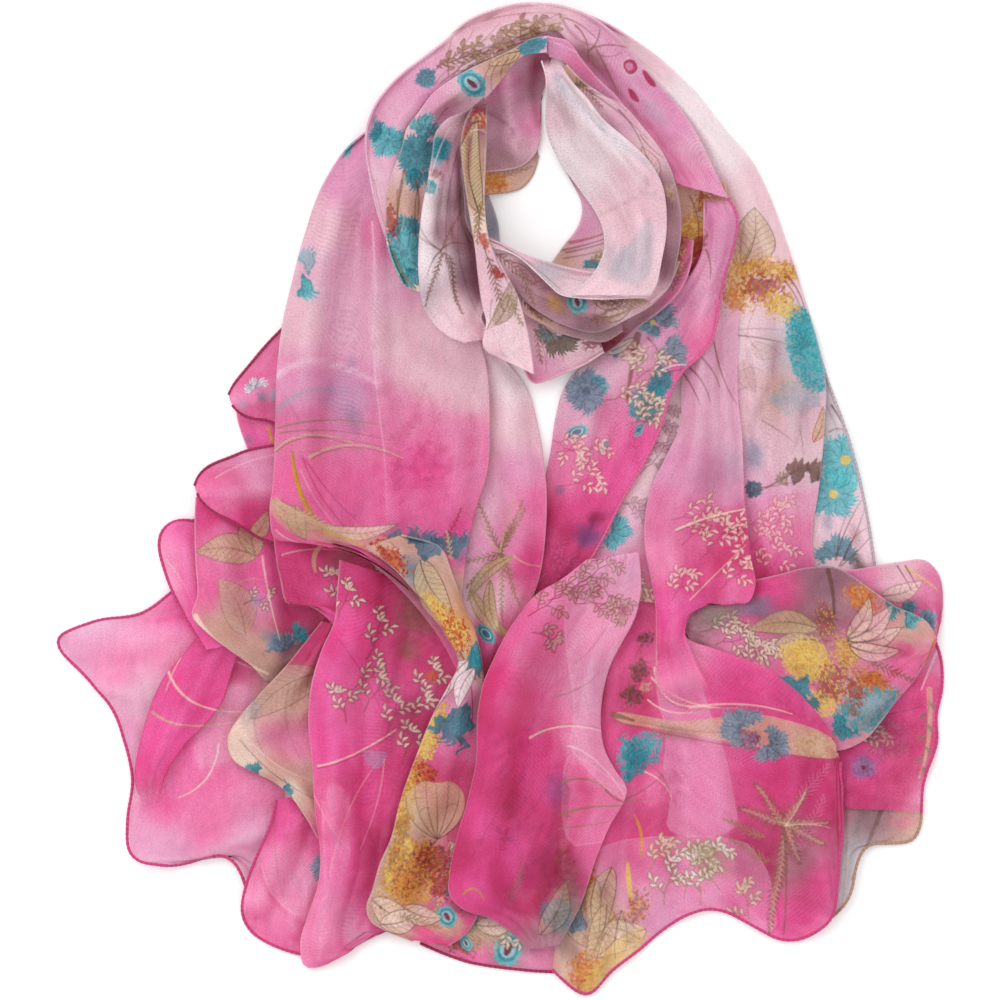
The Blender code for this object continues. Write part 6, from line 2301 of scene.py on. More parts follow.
@dataclass
class RightTail(Laying):
    """The tail that fans out to the lower right."""

    right_veil: Stretch = Stretch(
        "right_veil", Edge.TUCK, Edge.FOLD, "sheer_chiffon",
        ((545, 36, 552, 6), (583, 50, 596, 18), (620, 70, 652, 52), (650, 95, 694, 90), (676, 128, 725, 129),
        (694, 165, 752, 161), (705, 205, 772, 202), (710, 250, 788, 248), (710, 295, 803, 294),
        (705, 335, 816, 337), (700, 380, 825, 378), (700, 430, 824, 430), (705, 480, 819, 485),
        (715, 525, 812, 535), (728, 556, 814, 562), (738, 576, 820, 582), (746, 590, 816, 601),
        (752, 598, 796, 611), (757, 603, 772, 612)),
        ridges=((700, 120, 770, 260, 18, 5), (780, 260, 790, 460, 18, 5), (745, 420, 780, 590, 16, 6)),
        pleats=Pleats(4, 0.8, Way.ALONG, 0.8, 2.5), rim=0.35,
        dyes={Dye.PETAL: ((590, 30, .75), (742, 475, .86), (800, 498, .84), (715, 400, .85)),
        Dye.SHELL: ((640, 62, .75), (750, 195, .72), (735, 240, .8), (765, 280, .82), (800, 300, .8),
        (745, 350, .84), (810, 465, .8)), Dye.WHITE: ((690, 110, .75), (725, 140, .72)),
        Dye.SILVER: ((788, 352, .82),), Dye.SAND: ((775, 395, .84),), Dye.BLUSH: ((735, 420, .88),
        (752, 392, .84), (800, 410, .8), (780, 450, .84)), Dye.LILAC: ((760, 508, .86), (735, 520, .88)),
        Dye.ROSE: ((785, 535, .85),), Dye.FUCHSIA: ((775, 580, .85),), Dye.HOT: ((745, 560, .88),)},
        prints=(*each(Sprig, ((735, 560, 40, 320), (760, 580, 40, 310), (742, 525, 40, 350),
        (770, 545, 40, 290)), line=Dye.MAGENTA), Leaf(742, 268, 62, 282, 22, .65, 7),
        *each(Stroke, ((742, 268, 1.4, (738, 240, 748, 212), .7), (742, 268, 1.4, (752, 240, 764, 222), .7),
        (742, 268, 1.4, (728, 245, 734, 216), .7)), ink=Ink.OLIVE),
        Mottle(790, 272, 12, 0, .85, 1.5, ground=Ink.YELLOW, blot=Ink.GOLD, fleck=Ink.RED),
        Haze(800, 322, 18, .65, 1.4, 60, ink=Ink.TEAL_PALE),
        *each(Stroke, ((782, 272, 2, (800, 284, 806, 312), .8),
        (784, 280, 1.8, (796, 292, 802, 310), .7)), ink=Dye.WINE),
        Ply(778, 385, 2.5, ((800, 378), (822, 395), (820, 410), (790, 415), (770, 408)), .45, 5,
        dye=Ink.BLUE_GREY), Haze(754, 455, 14, .65, 1.5, 85), Leaf(814, 442, 36, 285, 6, .8, line=Ink.RED),
        Stroke(768, 395, 1.4, (795, 400, 822, 395), .5, ink=Ink.BLUE_GREY),
        # painted shadow where the ring's turns lie over this stretch
        Stroke(548, 42, 5, (566, 34, 596, 48), ink=Dye.WINE, crisp_line=False),
        *each(Stroke, ((716, 334, 1.8, (765, 335, 792, 346), .75), (716, 332, 1.6, (750, 326, 785, 330), .45),
        (766, 488, 2, (785, 478, 800, 468), .8), (552, 30, 1.6, (570, 34, 586, 48), .8),
        (574, 24, 1.4, (584, 36, 580, 50), .8))),
        Ply(786, 310, 1.4, ((804, 304), (818, 322), (826, 350), (830, 376), (824, 394), (808, 390), (794,
        376), (786, 344)), .85, 4, dye=Ink.TEAL),
        Bloom(802, 312, 88, 72, 50, 9, .55, deep=Ink.TEAL, pale=Ink.TEAL_PALE),
        *each(Mottle, ((740, 282, 18, 75, .8, 1.7, .5),
        (764, 268, 13, 8, .8, 1.9, .4)), ground=Ink.YELLOW, blot=Ink.GOLD, fleck=Ink.ORANGE),
        Bloom(812, 345, 30, 200, 100, 9, .6, pale=Ink.TEAL_PALE),
        Bloom(754, 489, 11, 200, deep=Ink.DEEP_LINE, pale=Ink.SLATE),
        Mottle(764, 288, 15, 8, .75, 1.8, .8, ground=Dye.WINE, fleck=Ink.GOLD),
        Mottle(780, 305, 15, 30, .85, 1.3, .4, ground=Ink.YELLOW, blot=Ink.YELLOW, fleck=Ink.ORANGE),
        Mottle(732, 300, 10, 60, .8, 1.5, .4, blot=Ink.ORANGE, fleck=Ink.ORANGE),
        Ply(744, 500, 1.2, ((790, 494), (828, 484), (840, 520), (830, 600), (740, 600)), .25, dye=Dye.PINK),
        Stroke(762, 420, 1.4, (780, 430, 794, 442), ink=Ink.SEPIA),
        *each(Stroke, ((776, 346, 8, (774, 385, 744, 440), .5),
        (804, 405, 6, (800, 430, 794, 450), .5)), ink=Dye.MAUVE, crisp_line=False),
        Stroke(748, 350, 5, (760, 400, 752, 450), .22, ink=Dye.DUSK, crisp_line=False),
        Stroke(772, 398, 5, (795, 404, 826, 396), .35, ink=Ink.BLUE_GREY, crisp_line=False),
        *each(Stroke, ((740, 372, 1.2, (752, 362, 764, 372), .5),
        (738, 392, 1.2, (752, 380, 768, 392), .4)), ink=Dye.DUSK),
        Stroke(760, 300, 1.2, (742, 330, 748, 360), .5, ink=Dye.MAUVE),
        *each(Leaf, ((744, 360, 34, 70, 9, .3, 6.5, .35),
        (752, 344, 30, 20, 8, .3, 6.5, .35)), fill=Dye.SAND, line=Dye.DUSK),
        Stroke(742, 330, 1.2, (760, 350, 770, 372), .35, ink=Dye.DUSK),
        Bloom(794, 486, 30, 282, 76, 6, .85, deep=Ink.SEPIA, pale=Ink.BROWN),
        Bloom(788, 486, 20, 235, 80, 6, .75, deep=Ink.SEPIA, pale=Ink.BEIGE),
        *each(Bloom, ((812, 484, 28, 290, 80, 6, .85),
        (816, 480, 18, 330, 80, 6, .8)), deep=Ink.SEPIA, pale=Ink.BROWN),
        Stroke(758, 488, 1.6, (776, 486, 794, 482), .7), Frond(760, 400, 50, 70, 9, .3, ink=Dye.MAUVE),
        Stroke(800, 430, 1.3, (806, 452, 800, 474), .5, ink=Ink.SEPIA)))

    pocket: Stretch = Stretch(
        "pocket", Edge.TUCK, Edge.FOLD, "gold_print_chiffon",
        ((668, 168, 724, 183), (676, 200, 728, 205), (680, 225, 722, 228), (682, 250, 708, 250),
        (678, 272, 690, 275)),
        ring=True, pleats=Pleats(3, 0.5),
        dyes={Dye.SAND: ((690, 200, .9),), Dye.APRICOT: ((712, 200, .88), (700, 235, .9)),
        Dye.CERISE: ((690, 255, .9),)},
        prints=(Mottle(692, 235, 16, 100, .85, ground=Ink.YELLOW, blot=Ink.GOLD, fleck=Ink.RED),
        Leaf(694, 212, 36, 330, 13, line=Ink.BROWN), Mottle(700, 246, 9, 130, .8, 1.5, ground=Ink.RED),
        Stroke(690, 196, 2, (702, 216, 698, 246), ink=Ink.WINE),
        Stroke(700, 190, 1.6, (712, 206, 708, 226), .7, ink=Ink.RED),
        Stroke(706, 188, 1.4, (722, 200, 716, 222), .7), Mottle(706, 206, 9, 60, .7, 1.6, .9)))

    gold_lobe: Stretch = Stretch(
        "gold_lobe", Edge.FOLD, Edge.FOLD, "gold_print_chiffon",
        ((684, 622, 686, 634), (697, 600, 702, 655), (740, 585, 745, 690), (780, 575, 790, 720),
        (811, 568, 820, 744), (838, 569, 840, 750), (858, 581, 857, 744), (879, 596, 870, 735),
        (897, 608, 882, 720), (912, 614, 895, 702), (927, 623, 914, 680), (937, 640, 928, 658)),
        ridges=((830, 610, 900, 640, 18, 6), (810, 660, 870, 700, 18, 5), (720, 640, 800, 660, 14, 3)),
        pleats=Pleats(3, 0.8, Way.ALONG, 1.0, 5.0),
        dyes={Dye.MAUVE: ((700, 620, .88), (800, 625, .88), (845, 605, .88)), Dye.ROSE: ((740, 640, .9),
        (870, 630, .85), (870, 668, .88), (820, 710, .9)), Dye.FUCHSIA: ((775, 600, .9),),
        Dye.PINK: ((790, 690, .88), (905, 665, .88)), Dye.DUSK: ((830, 590, .88),),
        Dye.SAND: ((905, 630, .85), (860, 690, .88))},
        prints=(Frond(872, 664, 56, 12, 8, .8), *each(Leaf, ((818, 628, 70, 178, 12, .85, 8),
        (816, 640, 50, 165, 8, .7)), line=Ink.BROWN), *each(Sprig, ((700, 632, 36, 345), (715, 645, 34, 350),
        (740, 655, 32, 350), (748, 668, 26, 300))),
        Stroke(748, 620, 1.8, (755, 645, 764, 668), .8, ink=Ink.BEIGE),
        Frond(870, 672, 46, 28, ink=Ink.OLIVE), Haze(720, 614, 15, .55, 1.8, 345, ink=Ink.MOSS),
        Haze(756, 606, 15, .7, 1.9, 10), Mottle(852, 706, 8, 340, .7, ground=Ink.BROWN, blot=Ink.BROWN),
        *each(Stroke, ((848, 712, 1.5, (885, 680, 925, 650), .8),
        (935, 640, 2.2, (928, 660, 918, 676), .8)), ink=Ink.ORANGE), Bloom(885, 600, 26, 25, 110),
        Bloom(905, 612, 22, 20, 150, pale=Ink.TEAL_PALE),
        Mottle(862, 598, 14, 30, .85, 1.5, .7, blot=Ink.ORANGE, fleck=Ink.RED),
        Ply(780, 648, 1.6, ((796, 638), (818, 640), (832, 652), (834, 676), (816, 684), (796, 680), (784,
        668)), .85, 8, dye=Ink.YELLOW),
        Mottle(806, 660, 17, 20, .7, 1.3, .35, ground=Ink.YELLOW, blot=Ink.YELLOW, fleck=Ink.BROWN),
        Ply(806, 696, 1.6, ((820, 688), (838, 694), (840, 710), (826, 718), (810, 712)), .85, 8,
        dye=Ink.YELLOW),
        Mottle(848, 652, 14, 80, .85, 1.5, .5, ground=Ink.YELLOW, blot=Ink.GOLD, fleck=Ink.BROWN),
        *each(Mottle, ((832, 682, 17, 110, .75, 1.3, .8),
        (826, 622, 12, 80, .6, 1.8, .7)), ground=Ink.BROWN, fleck=Ink.YELLOW),
        Mottle(872, 682, 13, 40, .85, 1.5, .7, blot=Ink.ORANGE, fleck=Ink.RED),
        Ply(838, 706, 1.6, ((856, 692), (880, 688), (904, 692), (898, 712), (878, 730), (850, 736), (836,
        724)), .7, 9, dye=Ink.TEAL), *each(Leaf, ((848, 642, 56, 345, 10, .5, 14, .8),
        (848, 640, 58, 322, 10, .5, 14, .8), (848, 638, 46, 298, 9, .5, 14, .8),
        (850, 646, 52, 5, 9, .5, 14, .8)), fill=Ink.CREAM),
        Ply(895, 640, 2, ((910, 642), (918, 654), (900, 660)), dye=Dye.FUCHSIA),
        Stroke(828, 570, 5, (834, 592, 834, 614), .85, ink=Ink.SEPIA),
        Ply(856, 700, 1.4, ((872, 694), (884, 702), (876, 716), (860, 714)), .7, 7, dye=Ink.BLUE_GREY),
        Ply(846, 706, 1.4, ((858, 704), (860, 714), (850, 718)), .7, 5, dye=Ink.BROWN),
        Bloom(846, 726, 18, 150, 260), Bloom(774, 676, 50, 32, 60),
        Mottle(855, 692, 10, 60, .8, 1.4, .6, ground=Ink.BROWN),
        Bloom(800, 700, 26, 60, 140, pale=Ink.SLATE)))

    lower_flap: Stretch = Stretch(
        "lower_flap", Edge.TUCK, Edge.TUCK, "magenta_chiffon",
        ((716, 655, 745, 662), (720, 690, 788, 695), (724, 740, 828, 745), (728, 800, 832, 800),
        (735, 855, 831, 850), (745, 900, 824, 900), (762, 922, 812, 925)),
        pleats=Pleats(3, 0.8),
        dyes={Dye.PINK: ((760, 690, .9), (820, 850, .88)), Dye.SAND: ((800, 720, .9),),
        Dye.FUCHSIA: ((815, 770, .9), (800, 910, .85))},
        prints=(Stroke(790, 700, 8, (815, 735, 832, 760), .5, crisp_line=False), Bloom(770, 672, 40, 35, 70)))

    right_lower: Stretch = Stretch(
        "right_lower", Edge.TUCK, Edge.HEM, "hot_pink_chiffon",
        ((585, 700, 553, 970), (590, 680, 568, 985), (598, 665, 586, 996), (606, 640, 608, 975),
        (618, 614, 640, 950), (635, 598, 672, 924), (652, 600, 698, 911), (670, 620, 723, 911),
        (690, 640, 755, 927), (715, 649, 781, 940), (742, 659, 806, 938), (768, 670, 832, 918),
        (790, 686, 838, 880), (808, 703, 842, 830), (824, 722, 842, 785), (835, 742, 840, 762)),
        ridges=((660, 690, 650, 900, 22, 9), (610, 790, 590, 970, 18, 8), (700, 720, 730, 890, 20, 7),
        (790, 730, 790, 910, 18, 7), (640, 850, 690, 900, 14, 5)),
        wave=0.003, pleats=Pleats(6, 1.1, Way.ACROSS, 1.2, 6.0), hem=Dye.FUCHSIA,
        dyes={Dye.FUCHSIA: ((640, 640, .85), (640, 760, .86), (610, 760, .88), (770, 780, .9),
        (770, 700, .88), (735, 692, .88), (815, 880, .85), (650, 850, .88), (600, 830, .85)),
        Dye.CANDY: ((680, 655, .85),), Dye.CERISE: ((655, 820, .86), (640, 700, .86), (820, 790, .88)),
        Dye.HOT: ((690, 706, .87), (745, 670, .88), (745, 910, .84), (790, 930, .85)),
        Dye.PINK: ((650, 790, .85), (696, 800, .84), (700, 755, .84)), Dye.MAUVE: ((800, 868, .7),
        (570, 900, .85)), Dye.MAGENTA: ((762, 860, .9),), Dye.ROSE: ((700, 890, .82),),
        Dye.SAND: ((610, 930, .85), (580, 975, .8)), Dye.LILAC: ((650, 920, .8),)},
        prints=(*each(Ply, ((657, 640, 1.6, ((690, 632), (700, 680), (710, 714), (724, 750), (733, 790),
        (740, 836), (664, 838), (672, 800), (662, 772), (668, 735), (655, 690)), .5, 0, .1),
        (600, 838, 1, ((740, 836), (760, 858), (772, 880), (780, 950), (600, 950), (586, 880)), .4, 0, .12)),
        dye=Dye.LILAC),
        Ply(734, 764, 1, ((800, 768), (848, 775), (846, 852), (800, 846), (742, 836), (735, 790)), .3,
        dye=Dye.CERISE), *each(Frond, ((765, 838, 46, 195), (770, 862, 46, 200)), ink=Ink.OLIVE),
        Mottle(590, 890, 9, 82, .9, 3.4, .8, blot=Ink.ORANGE, fleck=Ink.RED),
        *each(Sprig, ((664, 905, 44, 285, 4, .75), (684, 900, 50, 290, 4, .75), (700, 905, 46, 270, 4, .75),
        (720, 890, 40, 240, 4, .75), (690, 865, 36, 340, 4, .75)), fill=Ink.WHITE, line=Ink.OLIVE),
        *each(Sprig, ((752, 925, 36, 260, 4, .6, .7), (650, 870, 30, 300, 4, .6, .7)), line=Ink.OLIVE),
        Stroke(634, 815, 3, (646, 835, 640, 860), .85, ink=Ink.GOLD, blade=True),
        Stroke(628, 862, 5, (628, 880, 632, 905), .9, ink=Ink.YELLOW, blade=True),
        *each(Haze, ((708, 852, 12, .4, 2.4, 15), (716, 868, 12, .3, 2.2, 10)), ink=Ink.OLIVE),
        Mottle(638, 908, 11, 100, .7, 1.8, .6, blot=Ink.BROWN, fleck=Ink.RED),
        Mottle(612, 935, 18, 110, .7, 1.6, .6, ground=Ink.BEIGE, blot=Ink.GOLD, fleck=Ink.RED),
        Mottle(585, 975, 18, 100, .85, 1.4, ground=Ink.ORANGE, blot=Ink.GOLD, fleck=Ink.RED),
        Leaf(570, 900, 60, 60, 13, .6, 7, line=Ink.BROWN),
        Ply(612, 711, 1, ((644, 716), (676, 722), (712, 719), (750, 713), (776, 717), (822, 730), (842, 748),
        (840, 760), (800, 756), (774, 750), (727, 742), (696, 736), (653, 728), (618, 723)), .62),
        *each(Stroke, ((614, 722, 1.6, (700, 744, 842, 762), .7), (613, 715, 6, (622, 717, 634, 721), .85),
        (640, 722, 1.2, (700, 736, 745, 732), .5), (560, 800, 2.4, (610, 822, 662, 776), .75))),
        *each(Stroke, ((655, 668, 2.4, (658, 712, 705, 706), .85),
        (640, 770, 1.6, (668, 780, 672, 800), .7)), ink=Ink.CREAM),
        Mottle(812, 744, 13, 12, .7, 1.7, .2, ground=Ink.BEIGE, blot=Ink.BEIGE, fleck=Ink.BROWN),
        Stroke(560, 812, 2.2, (610, 800, 655, 800), .7, ink=Ink.OLIVE),
        Stroke(656, 672, 1, (660, 715, 706, 708)), Stroke(648, 764, 1.6, (676, 780, 668, 812)),
        Ply(618, 746, 1.4, ((632, 736), (652, 732), (664, 738), (662, 748), (646, 760), (634, 772), (626,
        786), (619, 770)), .8, 6, dye=Ink.TEAL),
        Stroke(648, 700, 1.6, (672, 722, 712, 708), .7, ink=Ink.CREAM),
        *each(Ply, ((622, 690, 1.8, ((634, 684), (646, 696), (634, 708), (622, 700)), .75, 6),
        (632, 664, 1.8, ((644, 658), (652, 672), (640, 684), (630, 674)), .7, 6),
        (634, 642, 1.8, ((648, 630), (657, 634), (646, 648)), .7, 5)), dye=Ink.SEPIA),
        Bloom(628, 784, 56, 292, 62, 11, .8), *each(Bloom, ((572, 935, 30, 285, 110),
        (742, 728, 27, 215, 280, 7), (770, 744, 24, 25, 280, 7)), deep=Ink.SLATE, pale=Ink.BLUE_GREY),
        Frond(562, 880, 52, 30, 8, .75, ink=Ink.MOSS),
        Ply(640, 684, 1.8, ((652, 682), (650, 692), (640, 692)), .5, 4),
        Sprig(650, 830, 50, 290, 4, .25, .12, fill=Dye.HOT, line=Dye.MAGENTA),
        Haze(754, 738, 8, .7, ink=Ink.PURPLE),
        *palm(784, 824, ((226, 50), (296, 42), (350, 48), (190, 48), (18, 48), (58, 44)), Ink.BROWN, 12, .85),
        Mottle(755, 739, 6, 20, .8, 1.3, ground=Ink.WINE, blot=Ink.PURPLE),
        *palm(784, 824, ((226, 46), (296, 38), (350, 44), (190, 44), (18, 44), (58, 40)), Ink.BEIGE, 5, .45),
        Frond(784, 832, 104, 89, 12, .9), Leaf(612, 868, 74, 98, 14, .6, 8),
        Mottle(748, 740, 10, 20, .75, 1.3, .5, ground=Ink.PURPLE, blot=Ink.SLATE),
        *each(Leaf, ((646, 930, 56, 150, 14, .6, 8), (640, 940, 44, 195, 10, .6, 8)), fill=Ink.CREAM),
        Frond(784, 836, 96, 89, 6, .45, ink=Ink.BEIGE), Leaf(596, 880, 60, 88, 10, .6, 7, line=Ink.WINE),
        Stroke(628, 712, 1.6, (626, 670, 646, 636), .8), Stroke(784, 826, 3.4, (789, 880, 784, 935), .8),
        Haze(598, 820, 12, .35, 1.8, 90, ink=Dye.MAGENTA), Leaf(607, 905, 60, 110, 14, .5, 7, line=Ink.BROWN),
        Ply(605, 950, 1.5, ((632, 930), (650, 925), (640, 960), (610, 985), (580, 995), (590, 970)), .5, 7,
        dye=Ink.YELLOW), Stroke(575, 880, 5, (590, 910, 585, 945), .5, ink=Dye.WINE, crisp_line=False),
        Haze(570, 952, 12, .45, 1.6, 70, ink=Ink.SEPIA),
        *each(Stroke, ((622, 912, 1.3, (612, 936, 616, 960), .7), (622, 912, 1.3, (630, 932, 626, 950)),
        (622, 912, 1.3, (602, 926, 596, 946))), ink=Ink.SEPIA), *each(Haze, ((676, 734, 10, .5, 3, 10),
        (628, 932, 12, .4, 1.8, 70), (603, 894, 11, .45, 1.8, 80)), ink=Ink.BROWN),
        *each(Stroke, ((786, 826, 1.6, (800, 806, 806, 790), .5), (784, 826, 1.4, (810, 822, 830, 828), .5),
        (652, 678, 2, (684, 712, 739, 708), .7)), ink=Ink.CREAM), *each(Frond, ((770, 700, 60, 15, 13, .3),
        (720, 680, 50, 340, 12, .25), (830, 840, 60, 265, 14, .3)), ink=Dye.MAGENTA),
        Stroke(690, 708, 2, (745, 698, 792, 714), .7, ink=Ink.CREAM),
        Stroke(694, 712, 1.2, (745, 702, 792, 717)), Stroke(640, 648, 1.2, (650, 690, 640, 712), .5),
        Frond(800, 850, 60, 285, 14, .16, ink=Dye.PETAL), Frond(760, 790, 50, 330, 12, .25, ink=Dye.MAGENTA),
        Frond(800, 800, 46, 300, 12, .16, ink=Dye.PETAL)))

    right_pale: Stretch = Stretch(
        "right_pale", Edge.TUCK, Edge.TUCK, "blush_chiffon",
        ((640, 360, 700, 350), (620, 400, 705, 400), (600, 450, 700, 450), (585, 500, 690, 500),
        (578, 540, 680, 545), (580, 572, 672, 585), (590, 592, 668, 606)),
        ridges=((655, 450, 620, 580, 16, 5),),
        pleats=Pleats(3, 0.6),
        dyes={Dye.SHELL: ((650, 420, .85), (640, 480, .85)), Dye.PETAL: ((610, 540, .85), (660, 520, .85)),
        Dye.ROSE: ((640, 580, .85), (600, 575, .85))},
        prints=(*each(Sprig, ((606, 572, 38, 30), (600, 585, 34, 350), (630, 570, 34, 60)), line=Ink.BROWN),
        Bloom(612, 530, 24, 10, 250, deep=Ink.TEAL, pale=Ink.TEAL_PALE), *each(Sprig, ((618, 500, 30, 20),
        (645, 455, 34, 330), (648, 440, 34, 300), (640, 475, 34, 315), (655, 465, 24, 20)), fill=Dye.PETAL)))

    right_front: Stretch = Stretch(
        "right_front", Edge.FOLD, Edge.TUCK, "rose_chiffon",
        ((690, 330, 740, 300), (683, 374, 738, 350), (682, 400, 738, 400), (682, 422, 742, 433),
        (668, 455, 744, 470), (654, 483, 745, 500), (646, 517, 748, 530), (646, 548, 752, 560),
        (651, 575, 756, 585), (655, 596, 748, 603), (657, 615, 716, 603), (657, 635, 694, 612),
        (657, 655, 685, 632), (657, 672, 692, 652), (660, 690, 703, 676), (669, 704, 714, 698)),
        ridges=((705, 350, 690, 520, 14, 7), (725, 380, 730, 520, 12, 5), (672, 500, 668, 640, 14, 7),
        (700, 520, 690, 590, 14, 5), (735, 520, 720, 590, 12, 4)),
        pleats=Pleats(4, 0.9, Way.ALONG, 0.9, 7.0), fade=(14, 34, 0, 0),
        dyes={Dye.PETAL: ((705, 330, .88), (700, 370, .88), (692, 425, .88), (722, 400, .88),
        (735, 450, .85)), Dye.LILAC: ((682, 468, .88), (720, 490, .86)), Dye.ROSE: ((660, 520, .88),),
        Dye.PINK: ((700, 530, .88), (670, 655, .84), (735, 592, .92)), Dye.CERISE: ((735, 530, .9),
        (722, 560, .9), (707, 588, .9)), Dye.HOT: ((696, 580, .9),), Dye.CANDY: ((660, 560, .88),
        (676, 695, .8)), Dye.NEON: ((655, 610, .88), (690, 610, .88))},
        prints=(Haze(730, 466, 17, .22, 1.6, 80), Haze(716, 482, 20, .25, 1.6, 30, ink=Dye.MAUVE),
        *each(Sprig, ((672, 520, 44, 350), (682, 545, 40, 320), (700, 560, 44, 310), (712, 545, 40, 330),
        (672, 600, 30, 300), (720, 590, 36, 320), (735, 525, 34, 60)), line=Dye.MAGENTA),
        *each(Stroke, ((676, 530, 2.4, (715, 512, 756, 508), .85),
        (690, 600, 1.4, (720, 570, 746, 545))), ink=Ink.CREAM),
        *each(Stroke, ((684, 374, 1.8, (694, 388, 700, 405), .8), (690, 368, 1.8, (706, 382, 710, 402), .8),
        (702, 358, 1.8, (716, 372, 720, 388), .75), (714, 342, 1.8, (722, 385, 738, 405), .75),
        (676, 532, 1.1, (715, 515, 756, 510), .7)))))

    right_band: Stretch = Stretch(
        "right_band", Edge.FOLD, Edge.HEM, "hot_pink_chiffon",
        ((704, 198, 728, 198), (704, 225, 736, 214), (703, 250, 734, 242), (688, 280, 724, 276),
        (662, 309, 718, 308), (640, 326, 712, 338), (610, 347, 698, 358), (583, 366, 684, 370),
        (566, 387, 672, 390), (557, 416, 662, 425), (551, 455, 645, 462), (541, 500, 622, 500),
        (528, 550, 598, 548), (512, 600, 572, 590), (500, 640, 545, 635)),
        ridges=((720, 225, 700, 330, 14, 8), (660, 345, 600, 400, 16, 6), (640, 400, 590, 520, 16, 6),
        (590, 400, 570, 520, 14, 5)),
        pleats=Pleats(3, 0.8, Way.ALONG, 1.0, 8.0), fade=(8, 0, 0, 0), hem=Dye.PINK,
        dyes={Dye.LILAC: ((715, 210, .9), (720, 250, .88), (690, 300, .9), (665, 335, .88)),
        Dye.PINK: ((713, 335, .9),), Dye.HOT: ((690, 354, .9), (640, 445, .9), (615, 480, .92)),
        Dye.PETAL: ((635, 350, .86), (600, 370, .86), (580, 415, .86)), Dye.ROSE: ((650, 390, .86),
        (610, 415, .88), (565, 465, .88)), Dye.SHELL: ((580, 372, .86),), Dye.FUCHSIA: ((590, 510, .92),),
        Dye.CERISE: ((560, 530, .92), (580, 570, .92), (530, 590, .92)), Dye.MAGENTA: ((515, 625, .92),)},
        prints=(Ply(700, 250, 2, ((716, 262), (716, 310), (708, 345), (690, 362), (672, 366), (690, 330),
        (698, 290)), .14, 0, .12, dye=Dye.SHELL),
        Stroke(716, 300, 2, (716, 345, 684, 367), .7, ink=Dye.NEON, crisp_line=False),
        Haze(588, 536, 17, .85, ink=Ink.PURPLE), *each(Sprig, ((545, 600, 40, 300, 4, .35, .4),
        (575, 590, 40, 250, 4, .35, .4), (560, 560, 34, 60, 4, .35, .4)), fill=Dye.HOT, line=Dye.WINE),
        *each(Sprig, ((545, 625, 26, 320), (520, 632, 24, 320)), fill=Dye.PETAL),
        Haze(596, 518, 8, .6, 1.6, ink=Ink.WINE), *each(Bloom, ((586, 391, 27, 200),
        (653, 322, 30, 325, 120)), deep=Ink.SLATE, pale=Ink.BLUE_GREY),
        Bloom(653, 322, 18, 150, 230, deep=Ink.SLATE, pale=Ink.TEAL_PALE, heart=Ink.YELLOW),
        Bloom(667, 356, 27, 335, 140, deep=Ink.SLATE, pale=Ink.BLUE_GREY),
        *each(Bloom, ((598, 386, 14, 320, 200),
        (666, 356, 12, 180, 200)), deep=Ink.SLATE, pale=Ink.TEAL_PALE),
        Bloom(660, 383, 24, 290, 360, 9, .9, .6), Bloom(646, 404, 26, 315, 360, 9, .9, .8),
        Bloom(612, 352, 15, 330, 200, 9, .9, .6, pale=Ink.TEAL_PALE),
        Eye(577, 432, 13, 340, .55, petal=Ink.BLUE_GREY, heart=Ink.SLATE),
        Eye(604, 447, 8, 300, .55, heart=Ink.SLATE), *each(Sprig, ((556, 452, 44, 355), (560, 486, 38, 345),
        (552, 440, 30, 30)), line=Dye.MAGENTA), Eye(639, 430, 8, 300, .55, heart=Ink.TEAL_DEEP),
        Haze(560, 490, 6, .5), Stroke(638, 335, 7, (632, 365, 627, 400), .85),
        Stroke(706, 250, 2.4, (712, 262, 710, 278), .7),
        Stroke(634, 345, 1.2, (633, 370, 628, 400), .7, ink=Ink.RED),
        *each(Stroke, ((634, 352, 2.2, (626, 345, 622, 335), .8), (633, 364, 2.4, (642, 362, 646, 352), .8),
        (648, 338, 2.2, (656, 345, 660, 356), .7))), *each(Sprig, ((632, 385, 38, 320), (606, 400, 38, 350),
        (625, 425, 40, 345), (640, 430, 34, 310), (655, 345, 26, 150)), line=Ink.BROWN),
        *each(Frond, ((610, 520, 60, 300, 12, .3), (640, 470, 50, 250, 12, .3),
        (600, 470, 50, 280, 12, .3)), ink=Dye.MAGENTA), Leaf(602, 352, 36, 335, 5, fill=Ink.CREAM),
        Mottle(700, 240, 7, 100, .6, ground=Ink.RED, blot=Ink.BROWN),
        Stroke(662, 370, 2.4, (676, 362, 690, 366), ink=Dye.WHITE),
        Stroke(664, 374, 1.6, (676, 368, 690, 371), ink=Dye.WINE)))


